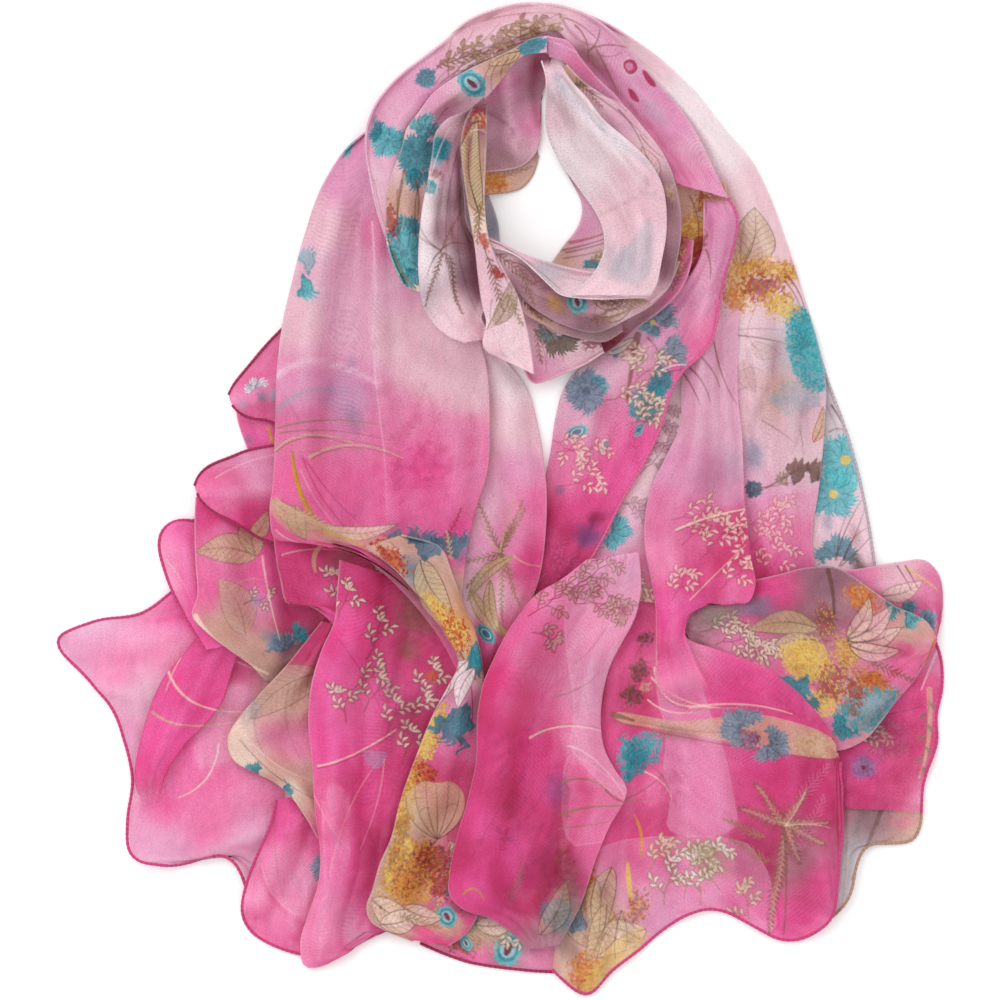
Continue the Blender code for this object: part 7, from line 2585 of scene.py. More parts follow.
@dataclass
class LeftTail(Laying):
    """The tail that fans out to the lower left."""

    left_edge_flap: Stretch = Stretch(
        "left_edge_flap", Edge.TUCK, Edge.TUCK, "magenta_chiffon",
        ((537, 470, 541, 474), (530, 490, 541, 492), (519, 528, 541, 522), (511, 568, 538, 552),
        (507, 605, 527, 597), (505, 636, 510, 634)),
        pleats=Pleats(2, 0.5),
        dyes={Dye.LILAC: ((538, 480, .9),), Dye.PINK: ((535, 510, .9),), Dye.FUCHSIA: ((528, 540, .9),
        (520, 570, .9)), Dye.CERISE: ((508, 620, .9),)},
        prints=(Frond(510, 574, 34, 55, 6, .8, ink=Ink.BEIGE),
        Stroke(512, 556, 1.8, (525, 568, 541, 566), .7, ink=Ink.BEIGE),
        Stroke(512, 554, 1.2, (525, 566, 541, 564), ink=Dye.WINE)))

    left_back: Stretch = Stretch(
        "left_back", Edge.TUCK, Edge.FOLD, "blush_chiffon",
        ((380, 150, 450, 200), (350, 200, 455, 260), (330, 250, 470, 310), (315, 300, 498, 352),
        (305, 350, 526, 388), (302, 400, 538, 430), (302, 450, 544, 470), (310, 500, 546, 500),
        (345, 540, 543, 552), (400, 590, 533, 595), (440, 640, 512, 640), (462, 680, 498, 678)),
        ridges=((510, 400, 515, 560, 16, 6), (500, 560, 490, 650, 14, 4)),
        pleats=Pleats(4, 0.8, Way.ALONG, 0.7, 9.0),
        dyes={Dye.SHELL: ((490, 350, .86), (500, 420, .84)), Dye.WHITE: ((514, 376, .84),),
        Dye.BLUSH: ((530, 430, .82), (480, 600, .86)), Dye.LILAC: ((520, 470, .84), (500, 550, .86)),
        Dye.PINK: ((530, 500, .86), (480, 650, .9), (500, 640, .9)), Dye.PETAL: ((500, 500, .85),),
        Dye.FUCHSIA: ((528, 560, .9),), Dye.CERISE: ((495, 670, .9),)},
        prints=(*palm(501, 552, ((236, 56), (284, 56), (290, 50), (155, 60), (125, 50), (62, 56), (80, 70)),
        Ink.OLIVE, 6, .75), *each(Leaf, ((512, 556, 64, 135, 6, .8, 5), (470, 590, 62, 48, 7, .8, 5),
        (490, 580, 60, 78, 6, .8, 5)), line=Ink.OLIVE),
        *each(Stroke, ((500, 552, 2.2, (506, 520, 516, 496), .8), (500, 552, 2.2, (480, 530, 468, 505), .8),
        (514, 556, 1.8, (525, 566, 540, 566), .7)), ink=Ink.BEIGE),
        Eye(486, 634, 13, 45, .55, heart=Ink.TEAL_DEEP), Haze(476, 585, 12, .3, 2, 120, ink=Ink.SEPIA)))

    left_front: Stretch = Stretch(
        "left_front", Edge.FOLD, Edge.FOLD, "rose_chiffon",
        ((376, 124, 420, 115), (347, 148, 425, 150), (323, 185, 430, 190), (306, 232, 438, 240),
        (291, 288, 452, 290), (282, 330, 475, 330), (278, 365, 485, 362), (276, 420, 489, 427),
        (274, 481, 486, 475), (271, 517, 473, 517), (276, 538, 467, 545), (300, 541, 464, 570),
        (330, 543, 461, 600), (360, 552, 459, 625), (393, 572, 457, 645)),
        ridges=((373, 230, 378, 380, 12, 6), (380, 390, 392, 520, 12, 5), (330, 220, 300, 400, 22, 7),
        (300, 420, 300, 520, 18, 5), (440, 350, 450, 500, 24, 8), (420, 270, 415, 380, 14, 4)),
        pleats=Pleats(3, 0.5, Way.ALONG, 0.8, 10.0), rim=0.2,
        dyes={Dye.LILAC: ((380, 140, .9), (350, 180, .9), (385, 190, .9), (350, 385, .9), (300, 388, .9)),
        Dye.BLUSH: ((325, 230, .9), (300, 320, .88), (400, 335, .9), (440, 325, .9), (478, 345, .9),
        (472, 385, .88), (425, 372, .9)), Dye.ROSE: ((384, 240, .9), (290, 430, .88), (340, 440, .9),
        (400, 418, .9), (460, 440, .9), (478, 492, .92)), Dye.PETAL: ((400, 288, .9), (352, 260, .9),
        (345, 320, .9)), Dye.PINK: ((440, 500, .9), (300, 490, .9), (350, 480, .9), (420, 510, .9),
        (300, 530, .9), (360, 520, .9)), Dye.HOT: ((420, 470, .9), (460, 540, .9)),
        Dye.SAND: ((455, 600, .9),)},
        prints=(Bloom(309, 276, 34, 265, 62, 9, .7, deep=Ink.BLUE_GREY, pale=Ink.TEAL_PALE),
        *each(Bloom, ((302, 272, 36, 75, 55), (352, 146, 16, 200, 200)), deep=Ink.TEAL, pale=Ink.TEAL_PALE),
        Haze(345, 400, 30, .35, 1.4, 70, ink=Ink.LAVENDER),
        Stroke(342, 150, 3, (345, 220, 332, 330), .18, ink=Dye.DUSK, crisp_line=False),
        Haze(355, 420, 12, .35, 1.4, 60), Haze(350, 362, 8, .3),
        Stroke(277, 376, 5, (310, 345, 375, 382), .5, ink=Ink.WHITE, crisp_line=False),
        Stroke(278, 412, 5, (300, 382, 345, 392), .55, ink=Ink.BLUE_GREY, crisp_line=False),
        Stroke(278, 428, 2.2, (330, 413, 385, 426), .65, ink=Ink.OLIVE),
        Stroke(280, 433, 1.6, (330, 425, 390, 440), .5),
        Stroke(276, 450, 2.6, (300, 424, 352, 442), .85, ink=Ink.BEIGE),
        Stroke(276, 452, 1.2, (302, 427, 352, 445), .7),
        Stroke(292, 448, 5.4, (296, 505, 332, 540), .95, ink=Ink.GOLD, blade=True),
        Stroke(310, 457, 2.4, (350, 432, 402, 458), .85, ink=Ink.BEIGE),
        Stroke(312, 459, 1.1, (350, 435, 402, 460), .7), Stroke(293, 452, 1.2, (300, 505, 332, 540)),
        *each(Stroke, ((303, 458, 2, (318, 500, 350, 532)),
        (306, 460, 1.6, (335, 505, 366, 528))), ink=Dye.MAGENTA),
        # painted highlight along the fold ridge
        *each(Stroke, ((372, 222, 2.2, (378, 300, 372, 335), .5),
        (372, 335, 2, (376, 395, 384, 450), .45)), ink=Dye.SHELL),
        Stroke(300, 400, 1.2, (330, 396, 372, 410), .35, ink=Ink.BLUE_GREY),
        Stroke(301, 470, 1.2, (315, 505, 345, 535), .4, ink=Ink.CREAM), *each(Leaf, ((272, 500, 66, 25),
        (296, 505, 36, 75)), line=Ink.BROWN), Leaf(322, 528, 76, 357, 7, .7, fill=Ink.CREAM, line=Ink.BROWN),
        Stroke(276, 530, 1.5, (290, 545, 320, 545), ink=Ink.CREAM),
        Frond(300, 512, 46, 20, 8, .8, ink=Ink.BEIGE),
        Stroke(276, 498, 2.2, (300, 520, 360, 534), .8, ink=Ink.BEIGE),
        Stroke(326, 532, 4.5, (360, 540, 396, 568), .85, ink=Ink.GOLD),
        Stroke(330, 541, 2, (370, 545, 404, 580), .7, ink=Dye.WINE),
        Bloom(424, 562, 42, 283, 100, deep=Ink.SLATE, pale=Ink.SLATE),
        Bloom(456, 560, 36, 262, 90, deep=Ink.SLATE, pale=Ink.DEEP_LINE),
        Bloom(396, 540, 13, 250, 260, deep=Ink.SLATE, pale=Ink.BLUE_GREY), Haze(414, 560, 18, .7, 1.3, 40),
        Haze(462, 550, 12, .6, 1.4, 110),
        Ply(262, 492, 1.2, ((285, 506), (310, 520), (345, 530), (398, 540), (400, 552), (360, 546), (320,
        542), (290, 534), (272, 516))),
        Ply(400, 552, 1.5, ((430, 556), (450, 580), (462, 610), (440, 605), (415, 575)), .45),
        Mottle(389, 550, 12, 20, .9, 1.8, .9, ground=Ink.ORANGE),
        Frond(445, 545, 40, 285, 5, .6, ink=Ink.RED), Frond(452, 560, 30, 250, 5, .75, ink=Ink.BEIGE),
        # painted highlight: the same fold ridge further down
        Stroke(384, 450, 1.6, (386, 490, 388, 532), .35, ink=Dye.PETAL),
        *each(Sprig, ((420, 478, 44, 250, 4, .28, .12), (450, 500, 44, 255, 4, .28, .12),
        (400, 505, 40, 300, 4, .25, .1)), fill=Dye.HOT, line=Dye.MAGENTA),
        *each(Frond, ((440, 450, 60, 250, 12, .25), (410, 430, 50, 280, 10, .2),
        (470, 470, 56, 262, 10, .25)), ink=Dye.CERISE),
        Stroke(400, 480, 1.2, (430, 440, 446, 400), .35, ink=Dye.CERISE),
        Stroke(286, 396, 1.2, (300, 430, 330, 444), .4, ink=Ink.OLIVE),
        Stroke(296, 436, 1.3, (350, 436, 400, 452), .35, ink=Ink.SEPIA),
        Stroke(290, 452, 1.3, (340, 452, 380, 446), .35, ink=Ink.OLIVE)))

    gold_panel: Stretch = Stretch(
        "gold_panel", Edge.FOLD, Edge.FOLD, "gold_print_chiffon",
        ((366, 547, 402, 535), (392, 566, 440, 548), (413, 588, 452, 575), (430, 608, 463, 605),
        (446, 634, 474, 630), (459, 662, 481, 660), (447, 690, 484, 690), (435, 712, 487, 712),
        (417, 756, 491, 750), (401, 801, 488, 800), (391, 840, 482, 840), (380, 865, 478, 870),
        (373, 890, 478, 892), (367, 908, 478, 908), (371, 921, 474, 922), (385, 930, 464, 935),
        (412, 941, 448, 946)),
        ridges=((455, 600, 470, 670, 9, 4), (460, 700, 440, 800, 14, 6), (420, 800, 405, 900, 14, 5)),
        pleats=Pleats(3, 0.8, Way.ALONG, 0.8, 11.0),
        dyes={Dye.SAND: ((400, 560, .9), (430, 590, .9), (470, 665, .9), (420, 830, .9), (405, 870, .9),
        (390, 915, .88)), Dye.APRICOT: ((450, 630, .9),), Dye.LILAC: ((465, 700, .9), (448, 715, .9)),
        Dye.PINK: ((466, 742, .9), (450, 880, .9)), Dye.CERISE: ((440, 790, .9), (460, 830, .9),
        (470, 780, .9)), Dye.FUCHSIA: ((440, 925, .88),)},
        prints=(Haze(414, 572, 18, .75, 1.5, 40),
        Mottle(388, 905, 14, 70, .8, 1.6, .3, ground=Ink.BEIGE, blot=Ink.BEIGE, fleck=Ink.BROWN),
        Stroke(470, 885, 1.5, (476, 905, 460, 915), .8, ink=Ink.GOLD),
        Mottle(392, 560, 12, 40, .9, 1.8, .9, ground=Ink.ORANGE), Leaf(420, 560, 60, 58, 14, .8),
        Mottle(436, 608, 9, 48, .95, 2.2, .5, ground=Ink.YELLOW, blot=Ink.YELLOW, fleck=Ink.OLIVE),
        Mottle(455, 632, 14, 55, .95, 2, .9, ground=Ink.YELLOW, blot=Ink.ORANGE, fleck=Ink.RED),
        Bloom(424, 562, 42, 283, 100, deep=Ink.SLATE, pale=Ink.SLATE),
        Bloom(472, 648, 34, 80, 70, pale=Ink.SLATE), Bloom(476, 640, 30, 90, 60),
        Stroke(460, 652, 2, (475, 675, 472, 725), .8, ink=Dye.WINE),
        Mottle(430, 735, 12, 112, .95, 3.4, .5, ground=Ink.YELLOW, blot=Ink.YELLOW, fleck=Ink.OLIVE),
        Mottle(424, 774, 12, 40, .9, 1.6, .9, ground=Ink.ORANGE),
        Mottle(405, 800, 12, 105, .95, 3.2, .6, ground=Ink.YELLOW, blot=Ink.GOLD, fleck=Ink.OLIVE),
        Bloom(456, 560, 36, 262, 90, deep=Ink.SLATE, pale=Ink.DEEP_LINE),
        Frond(452, 866, 56, 100, 9, ink=Ink.BEIGE), Frond(430, 870, 44, 70, 8, .6, ink=Ink.OLIVE),
        Sprig(448, 830, 40, 80),
        Ply(437, 840, 1, ((416, 832), (402, 812), (406, 792), (424, 780), (436, 784), (452, 780), (466, 796),
        (462, 818), (450, 832)), .62), *each(Stroke, ((437, 840, 1.2, (404, 824, 406, 796), .85),
        (437, 840, 1.2, (414, 818, 415, 786), .85), (437, 840, 1.2, (425, 812, 426, 780), .85),
        (437, 840, 1.2, (438, 810, 436, 784), .85), (437, 840, 1.2, (450, 812, 448, 781), .85),
        (437, 840, 1.2, (460, 818, 459, 788), .85), (437, 840, 1.2, (466, 826, 466, 800), .85),
        (420, 812, 1, (424, 806, 430, 808)), (446, 808, 1, (452, 802, 458, 806)),
        (412, 800, 1, (418, 796, 424, 798))), ink=Ink.SEPIA),
        Bloom(468, 702, 62, 122, 62, 11, pale=Ink.SLATE), Bloom(470, 704, 40, 105, 50, 11, deep=Ink.SLATE),
        *each(Leaf, ((468, 660, 46, 122, 8, .9, 9), (474, 668, 44, 112, 8, .9, 9),
        (450, 680, 40, 118, 7, .85, 9)), fill=Ink.WHITE, line=Ink.BROWN),
        Ply(395, 838, 2, ((440, 842), (438, 880), (428, 905), (400, 908), (382, 890), (386, 860)), .8, 9,
        dye=Ink.GOLD), Bloom(452, 898, 16, 290, 200, deep=Ink.DEEP_LINE, pale=Ink.SLATE),
        *each(Leaf, ((372, 900, 50, 25, 13, .5, 6), (380, 925, 46, 340, 12, .5, 6)), fill=Ink.CREAM),
        Ply(396, 838, 1.6, ((412, 840), (408, 862), (396, 880), (384, 884), (386, 862)), .85, 7,
        dye=Ink.YELLOW), Mottle(420, 868, 13, 100, .6, 2.2, .9),
        Mottle(402, 884, 12, 80, .7, 1.9, .9, blot=Ink.ORANGE), Frond(450, 842, 40, 60, 7, .6, ink=Ink.BEIGE),
        Mottle(438, 862, 17, 60, .85, 1.2, .6, ground=Ink.RED, blot=Ink.WINE, fleck=Ink.GOLD),
        Mottle(440, 886, 12, 100, .8, 1.3, .7, ground=Ink.WINE, fleck=Ink.ORANGE),
        Mottle(398, 858, 12, 100, .7, 2, .7, blot=Ink.BROWN, fleck=Ink.RED),
        Mottle(404, 826, 8, 100, .8, 2.2, .6, blot=Ink.OLIVE, fleck=Ink.RED),
        Haze(446, 926, 16, .7, 1.6, 15, ink=Ink.BEIGE), Haze(428, 914, 12, .4, 1.8, 20, ink=Ink.OLIVE),
        Eye(447, 917, 12, 60, .85, .6), Haze(462, 906, 10, .6, 1.8, 20, ink=Ink.SEPIA),
        Leaf(404, 908, 40, 15, 10, .55, 7, fill=Ink.CREAM), Frond(400, 916, 44, 8, 7, .6, ink=Ink.OLIVE)))


@dataclass
class MiddleLobes(Laying):
    """The lobes where both tails meet."""

    centre_flap: Stretch = Stretch(
        "centre_flap", Edge.TUCK, Edge.TUCK, "magenta_chiffon",
        ((547, 597, 562, 600), (514, 636, 566, 640), (492, 683, 571, 680), (486, 720, 571, 715),
        (485, 760, 565, 760), (477, 800, 561, 800), (465, 838, 560, 842), (458, 873, 562, 868),
        (462, 893, 565, 888)),
        pleats=Pleats(3, 0.6),
        dyes={Dye.PINK: ((540, 605, .9), (515, 650, .9)), Dye.ROSE: ((500, 700, .9),),
        Dye.FUCHSIA: ((490, 800, .9),), Dye.CERISE: ((480, 880, .9),)})

    centre_lobe: Stretch = Stretch(
        "centre_lobe", Edge.FOLD, Edge.FOLD, "hot_pink_chiffon",
        ((588, 560, 638, 552), (562, 580, 640, 572), (538, 594, 640, 592), (520, 615, 634, 618),
        (506, 636, 621, 643), (494, 660, 609, 667), (484, 684, 602, 695), (478, 720, 600, 725),
        (477, 760, 604, 750), (469, 798, 614, 770), (458, 836, 626, 791), (450, 875, 607, 830),
        (451, 896, 594, 862), (464, 909, 587, 885), (488, 917, 580, 905), (510, 931, 570, 925),
        (530, 950, 560, 945)),
        ridges=((540, 620, 500, 700, 26, 10), (510, 700, 480, 880, 26, 11), (560, 740, 530, 860, 22, 7),
        (590, 660, 590, 780, 12, 5), (570, 860, 540, 920, 14, 5)),
        pleats=Pleats(5, 0.9, Way.ALONG, 0.9, 12.0), rim=0.25,
        dyes={Dye.LILAC: ((612, 566, .85), (590, 690, .84)), Dye.CANDY: ((555, 592, .86), (592, 622, .86),
        (590, 740, .84)), Dye.PINK: ((530, 625, .9), (525, 700, .9), (600, 850, .88)),
        Dye.ROSE: ((535, 672, .9),), Dye.FUCHSIA: ((500, 680, .9), (485, 730, .9), (530, 750, .9),
        (560, 780, .9), (495, 868, .9)), Dye.CERISE: ((500, 800, .92), (465, 850, .9), (540, 830, .92),
        (530, 892, .88)), Dye.HOT: ((480, 820, .9), (470, 895, .88), (506, 846, .9)),
        Dye.MAGENTA: ((556, 866, .6),), Dye.MAUVE: ((560, 930, .85),)},
        prints=(Stroke(464, 893, 2.4, (476, 880, 484, 900), .85, ink=Ink.GOLD),
        Ply(564, 596, 1, ((590, 566), (645, 546), (655, 600), (612, 660), (602, 700), (608, 745), (640, 800),
        (618, 800), (582, 764), (568, 744), (575, 722), (573, 690), (566, 650)), .36, 0, .22, dye=Dye.PETAL),
        # painted highlight: the thin white stroke after this patch, along a fold
        Ply(563, 748, 1, ((590, 764), (620, 785), (652, 800), (652, 838), (600, 842), (562, 848)), .35, 0,
        .2, dye=Dye.CANDY), Stroke(568, 746, 1.5, (594, 750, 624, 794), .65, ink=Dye.WHITE),
        Stroke(606, 628, 1.6, (590, 655, 572, 665), .3),
        Ply(560, 770, 1.5, ((572, 790), (562, 860), (545, 930), (530, 900), (545, 850)), .3, dye=Dye.WINE),
        *each(Sprig, ((528, 616, 44, 325, 4, .7, .5), (548, 600, 44, 335, 4, .7, .5),
        (572, 588, 44, 325, 4, .7, .5), (575, 604, 36, 0, 4, .7, .5), (604, 588, 32, 50, 4, .7, .5),
        (532, 632, 24, 20, 3, .7, .5)), line=Dye.WINE), Haze(566, 908, 17, .6, 2, 95, ink=Ink.MOSS),
        Stroke(530, 738, 2.2, (560, 718, 604, 732), .75, ink=Ink.CREAM),
        Haze(556, 790, 14, .55, 1.6, 95, ink=Ink.PURPLE), *each(Frond, ((500, 850, 60, 300, 10, .2),
        (520, 885, 60, 290, 10, .2)), ink=Ink.WINE),
        Bloom(556, 914, 20, 250, 360, 9, .7, deep=Ink.SLATE, pale=Ink.SLATE),
        *each(Stroke, ((562, 783, 2.2, (590, 772, 606, 790), .8), (560, 829, 1.8, (590, 826, 626, 818), .55),
        (552, 698, 2, (585, 690, 600, 672), .45)), ink=Ink.OLIVE),
        Stroke(532, 736, 1, (562, 716, 604, 730), .5), Stroke(606, 790, 2.2, (620, 807, 648, 804), .8),
        Stroke(560, 815, 2.4, (600, 800, 650, 810), .75, ink=Ink.OLIVE),
        Mottle(566, 870, 12, 80, .35, 2.2, .5, ground=Ink.BROWN, blot=Ink.WINE),
        Leaf(540, 935, 60, 295, 12, .3, 6), *each(Frond, ((540, 905, 54, 300, 10, .35),
        (560, 800, 70, 260, 14, .16), (500, 780, 70, 290, 14, .16)), ink=Dye.WINE),
        Sprig(480, 790, 50, 290, 4, .25, .1, fill=Dye.HOT, line=Dye.MAGENTA),
        Frond(510, 905, 44, 280, 10, .35, ink=Ink.MOSS),
        Sprig(520, 860, 50, 270, 4, .25, .1, fill=Dye.HOT, line=Dye.WINE),
        Stroke(470, 860, 1.3, (500, 800, 540, 760), .3, ink=Dye.WINE)))


@dataclass
class NeckRing(Laying):
    """The turns of the wound ring."""

    ring_under_band: Stretch = Stretch(
        "ring_under_band", Edge.TUCK, Edge.FOLD, "rose_chiffon",
        ((530, 335, 541, 379), (560, 330, 581, 366), (590, 325, 612, 349), (620, 312, 638, 327),
        (645, 298, 662, 309), (660, 280, 680, 290), (666, 255, 690, 266), (668, 232, 693, 240)),
        ring=True, pleats=Pleats(2, 0.5),
        dyes={Dye.ROSE: ((545, 360, .9), (670, 285, .9)), Dye.MAUVE: ((580, 350, .9), (640, 310, .9),
        (684, 225, .9)), Dye.WINE: ((600, 340, .9),), Dye.PINK: ((680, 250, .9),)},
        prints=(Mottle(612, 336, 8, 340, .6, 1.8, ground=Ink.RED, blot=Ink.WINE, fleck=Ink.BROWN),
        Haze(668, 275, 10, .4, 2.6, 110, ink=Ink.SEPIA),
        Mottle(683, 240, 6, 100, .6, 2.4, ground=Ink.BROWN, blot=Ink.ORANGE, fleck=Ink.RED),
        Frond(672, 290, 40, 290, 6, .6), Stroke(640, 306, 2, (664, 286, 678, 256), .5, ink=Ink.WINE),
        Mottle(676, 262, 8, 110, .8, 2.4, .7, ground=Ink.BEIGE, blot=Ink.ORANGE)))

    outer_turn: Stretch = Stretch(
        "outer_turn", Edge.FOLD, Edge.FOLD, "blush_chiffon",
        ((386, 238, 389, 241), (378, 213, 388, 220), (371, 182, 389, 190), (366, 150, 395, 168),
        (367, 128, 402, 148), (375, 106, 407, 130), (388, 88, 418, 115), (405, 71, 432, 97),
        (425, 56, 447, 84), (447, 39, 466, 69), (467, 21, 492, 58), (495, 9, 506, 52), (520, 4, 528, 41),
        (540, 4, 545, 32), (560, 6, 558, 32), (588, 16, 568, 43), (616, 36, 580, 61), (639, 62, 597, 80),
        (657, 85, 611, 99), (675, 104, 622, 118), (694, 130, 636, 138), (708, 158, 652, 156),
        (718, 180, 670, 170), (727, 199, 677, 184)),
        ridges=((395, 130, 440, 70, 14, 5), (460, 45, 540, 18, 12, 5), (600, 45, 690, 150, 14, 6)),
        ring=True, pleats=Pleats(3, 0.6, Way.ALONG, 0.9, 13.0), rim=0.3,
        dyes={Dye.PETAL: ((376, 130, .92), (385, 190, .92), (400, 100, .92), (425, 65, .92), (590, 35, .9),
        (640, 62, .9), (695, 150, .9)), Dye.BLUSH: ((392, 240, .9), (470, 50, .92), (500, 18, .92),
        (540, 8, .92), (560, 22, .92)), Dye.LILAC: ((432, 98, .92), (600, 70, .9), (640, 95, .9),
        (670, 125, .9), (712, 188, .9)), Dye.ROSE: ((650, 135, .92), (680, 170, .92))},
        prints=(Bloom(426, 78, 13, 80, deep=Ink.SLATE),
        Bloom(388, 142, 21, 255, deep=Ink.TEAL, pale=Ink.TEAL_PALE), Bloom(382, 134, 16, 205, 160),
        Haze(380, 185, 16, .25, 2.2, 80, ink=Dye.WHITE), Stroke(445, 36, 1.4, (500, 6, 566, 16), .5),
        # painted shadow: the soft wine strokes here, where the second turn and the thin strip lie over this
        # turn
        Leaf(520, 40, 44, 338, 8, line=Ink.BROWN), *each(Stroke, ((560, 15, 2.6, (572, 45, 600, 48), .55),
        (424, 108, 4, (462, 74, 530, 48), .5)), ink=Dye.WINE, crisp_line=False),
        *each(Stroke, ((575, 26, 1.8, (590, 38, 588, 62), .85), (588, 52, 2.2, (598, 46, 600, 30), .8),
        (590, 50, 1.8, (612, 40, 640, 52), .8), (596, 50, 1.6, (610, 75, 618, 94), .8),
        (600, 56, 1.4, (612, 60, 622, 52), .7))),
        Ply(620, 62, 1, ((634, 57), (640, 70), (628, 78)), .9, 0, .5, dye=Dye.MAGENTA),
        Ply(624, 64, 1, ((632, 62), (634, 69), (628, 72)), .8, dye=Dye.LILAC),
        *each(Ply, ((640, 68, 1, ((651, 73), (658, 88), (648, 85)), .95),
        (627, 87, 1, ((635, 91), (641, 104), (630, 99)), .95)), dye=Dye.MAGENTA),
        Haze(655, 112, 12, .3, 1.8, 50, ink=Ink.BLUE_GREY),
        Stroke(610, 88, 4.5, (660, 130, 690, 185), .45, ink=Dye.MAGENTA, crisp_line=False),
        Stroke(646, 66, 2, (690, 110, 716, 178), .35, ink=Dye.WHITE, crisp_line=False),
        # painted shadow along the second turn's edge
        Stroke(500, 52, 4, (540, 36, 600, 60), .45, crisp_line=False),
        *each(Stroke, ((450, 62, 1.4, (500, 44, 560, 14), .7),
        (560, 18, 1.6, (580, 20, 600, 44), .7)), ink=Ink.SEPIA), Leaf(500, 30, 40, 350, 7, .5),
        Frond(436, 66, 66, 338, 10, .7, 7, .1), Frond(510, 34, 56, 335, 7, .7, 5.5, ink=Ink.BEIGE),
        # painted shadow where the second turn and the thin strip lie over this turn: these soft wine and
        # brown strokes and the brown haze
        *each(Stroke, ((548, 40, 7, (586, 50, 612, 90), .5),
        (500, 50, 5, (524, 36, 548, 34))), ink=Dye.WINE, crisp_line=False),
        Haze(594, 58, 11, .4, 2, 50, ink=Ink.BROWN),
        Stroke(604, 70, 6, (618, 92, 650, 128), .5, ink=Dye.WINE, crisp_line=False),
        Stroke(580, 46, 6, (592, 56, 600, 70), .5, crisp_line=False),
        *each(Stroke, ((430, 74, 1.3, (470, 40, 520, 30)), (440, 66, 1.2, (450, 50, 452, 36)),
        (456, 56, 1.2, (470, 40, 474, 28)), (478, 46, 1.2, (492, 34, 500, 22)),
        (500, 38, 1.2, (514, 28, 524, 16), .5), (446, 62, 1.2, (462, 66, 478, 58), .5),
        (470, 50, 1.2, (488, 54, 500, 46), .5))), *each(Stroke, ((374, 180, 1.4, (380, 210, 388, 236), .35),
        # painted shadow: the dark wine line along the second turn's edge
        (498, 52, 2.6, (520, 42, 536, 40), .9), (470, 66, 1.5, (486, 56, 500, 52))), ink=Dye.WINE),
        Stroke(452, 78, 1.2, (458, 66, 470, 60), .7), Stroke(436, 84, 1.2, (440, 74, 452, 68), .7),
        *each(Sprig, ((440, 84, 44, 318, 4, .8, .45), (462, 66, 44, 332, 4, .8, .45),
        (490, 48, 44, 340, 4, .8, .45), (520, 28, 34, 20, 4, .8, .45)), fill=Ink.BEIGE, line=Ink.BROWN)))

    thin_strip: Stretch = Stretch(
        "thin_strip", Edge.FOLD, Edge.TUCK, "rose_chiffon",
        ((547, 38, 549, 57), (566, 42, 563, 62), (582, 62, 578, 76), (598, 80, 592, 92), (614, 95, 606, 101),
        (627, 111, 618, 109)),
        ring=True, pleats=Pleats(1, 0.3),
        dyes={Dye.LILAC: ((550, 45, .92), (610, 100, .92)), Dye.ROSE: ((580, 70, .92),)},
        prints=(Stroke(548, 42, 1.2, (590, 52, 618, 96), .5, ink=Dye.WHITE),))

    second_turn: Stretch = Stretch(
        "second_turn", Edge.FOLD, Edge.TUCK, "blush_chiffon",
        ((547, 38, 547, 54), (530, 41, 524, 57), (514, 50, 511, 68), (499, 57, 500, 82), (483, 64, 488, 96),
        (466, 72, 470, 112), (448, 83, 450, 121), (434, 94, 437, 132), (419, 114, 433, 150),
        (408, 129, 432, 165), (403, 147, 430, 180), (393, 174, 427, 195), (388, 190, 425, 210),
        (387, 215, 423, 235), (387, 240, 422, 258), (393, 262, 422, 278), (404, 286, 424, 294)),
        ridges=((405, 180, 405, 260, 10, 5), (440, 105, 500, 68, 9, 4)),
        ring=True, bed=0.0009, pleats=Pleats(2, 0.6, Way.ALONG, 0.8, 14.0), rim=0.3,
        dyes={Dye.PETAL: ((540, 46, .93),), Dye.BEIGE: ((505, 62, .93),), Dye.BLUSH: ((468, 98, .93),
        (428, 130, .93), (410, 175, .93), (395, 245, .93)), Dye.LILAC: ((440, 112, .93),),
        Dye.SAND: ((400, 200, .93), (415, 220, .93)), Dye.IVORY: ((405, 285, .93),)},
        prints=(Bloom(532, 47, 20, 340, 360, 9, .9, .6), Leaf(520, 52, 34, 155, 10),
        # painted shade in the fold: the soft brown stroke here and the soft wine stroke below
        Eye(472, 84, 17, 40, .75, .5), Stroke(455, 100, 6, (435, 112, 425, 122), .5, crisp_line=False),
        Stroke(430, 120, 5, (460, 90, 500, 72), .35, ink=Dye.WINE, crisp_line=False),
        Bloom(421, 140, 30, 285, 120, pale=Ink.TEAL_PALE),
        *each(Stroke, ((500, 62, 1.3, (488, 74, 492, 92), .7), (508, 60, 1.3, (498, 70, 502, 84), .7),
        (516, 56, 1.3, (506, 64, 510, 76)), (490, 68, 1.3, (480, 80, 486, 98))), ink=Ink.SEPIA),
        Bloom(416, 155, 27, 100), Bloom(414, 168, 26, 85, 130),
        *each(Stroke, ((405, 172, 3.6, (398, 200, 397, 226), .8), (416, 182, 2.4, (421, 200, 418, 216), .8),
        (448, 108, 1.6, (436, 120, 430, 134)))), Bloom(407, 236, 24, 260, 200),
        Bloom(405, 254, 27, 190, deep=Ink.TEAL, pale=Ink.TEAL_PALE), Bloom(410, 268, 28, 85, 130),
        Mottle(391, 222, 7, 82, .8, 3, ground=Ink.BROWN),
        Stroke(393, 252, 3, (402, 275, 420, 296), ink=Ink.OLIVE),
        *each(Stroke, ((388, 235, 1.4, (392, 268, 418, 300)),
        (424, 168, 1.8, (410, 205, 418, 244))), ink=Ink.SEPIA),
        # painted shade down a fold
        Stroke(398, 190, 1.5, (396, 220, 402, 260), .5, ink=Dye.WINE),
        Stroke(404, 176, 3, (408, 205, 402, 232), .5, ink=Ink.BEIGE)))

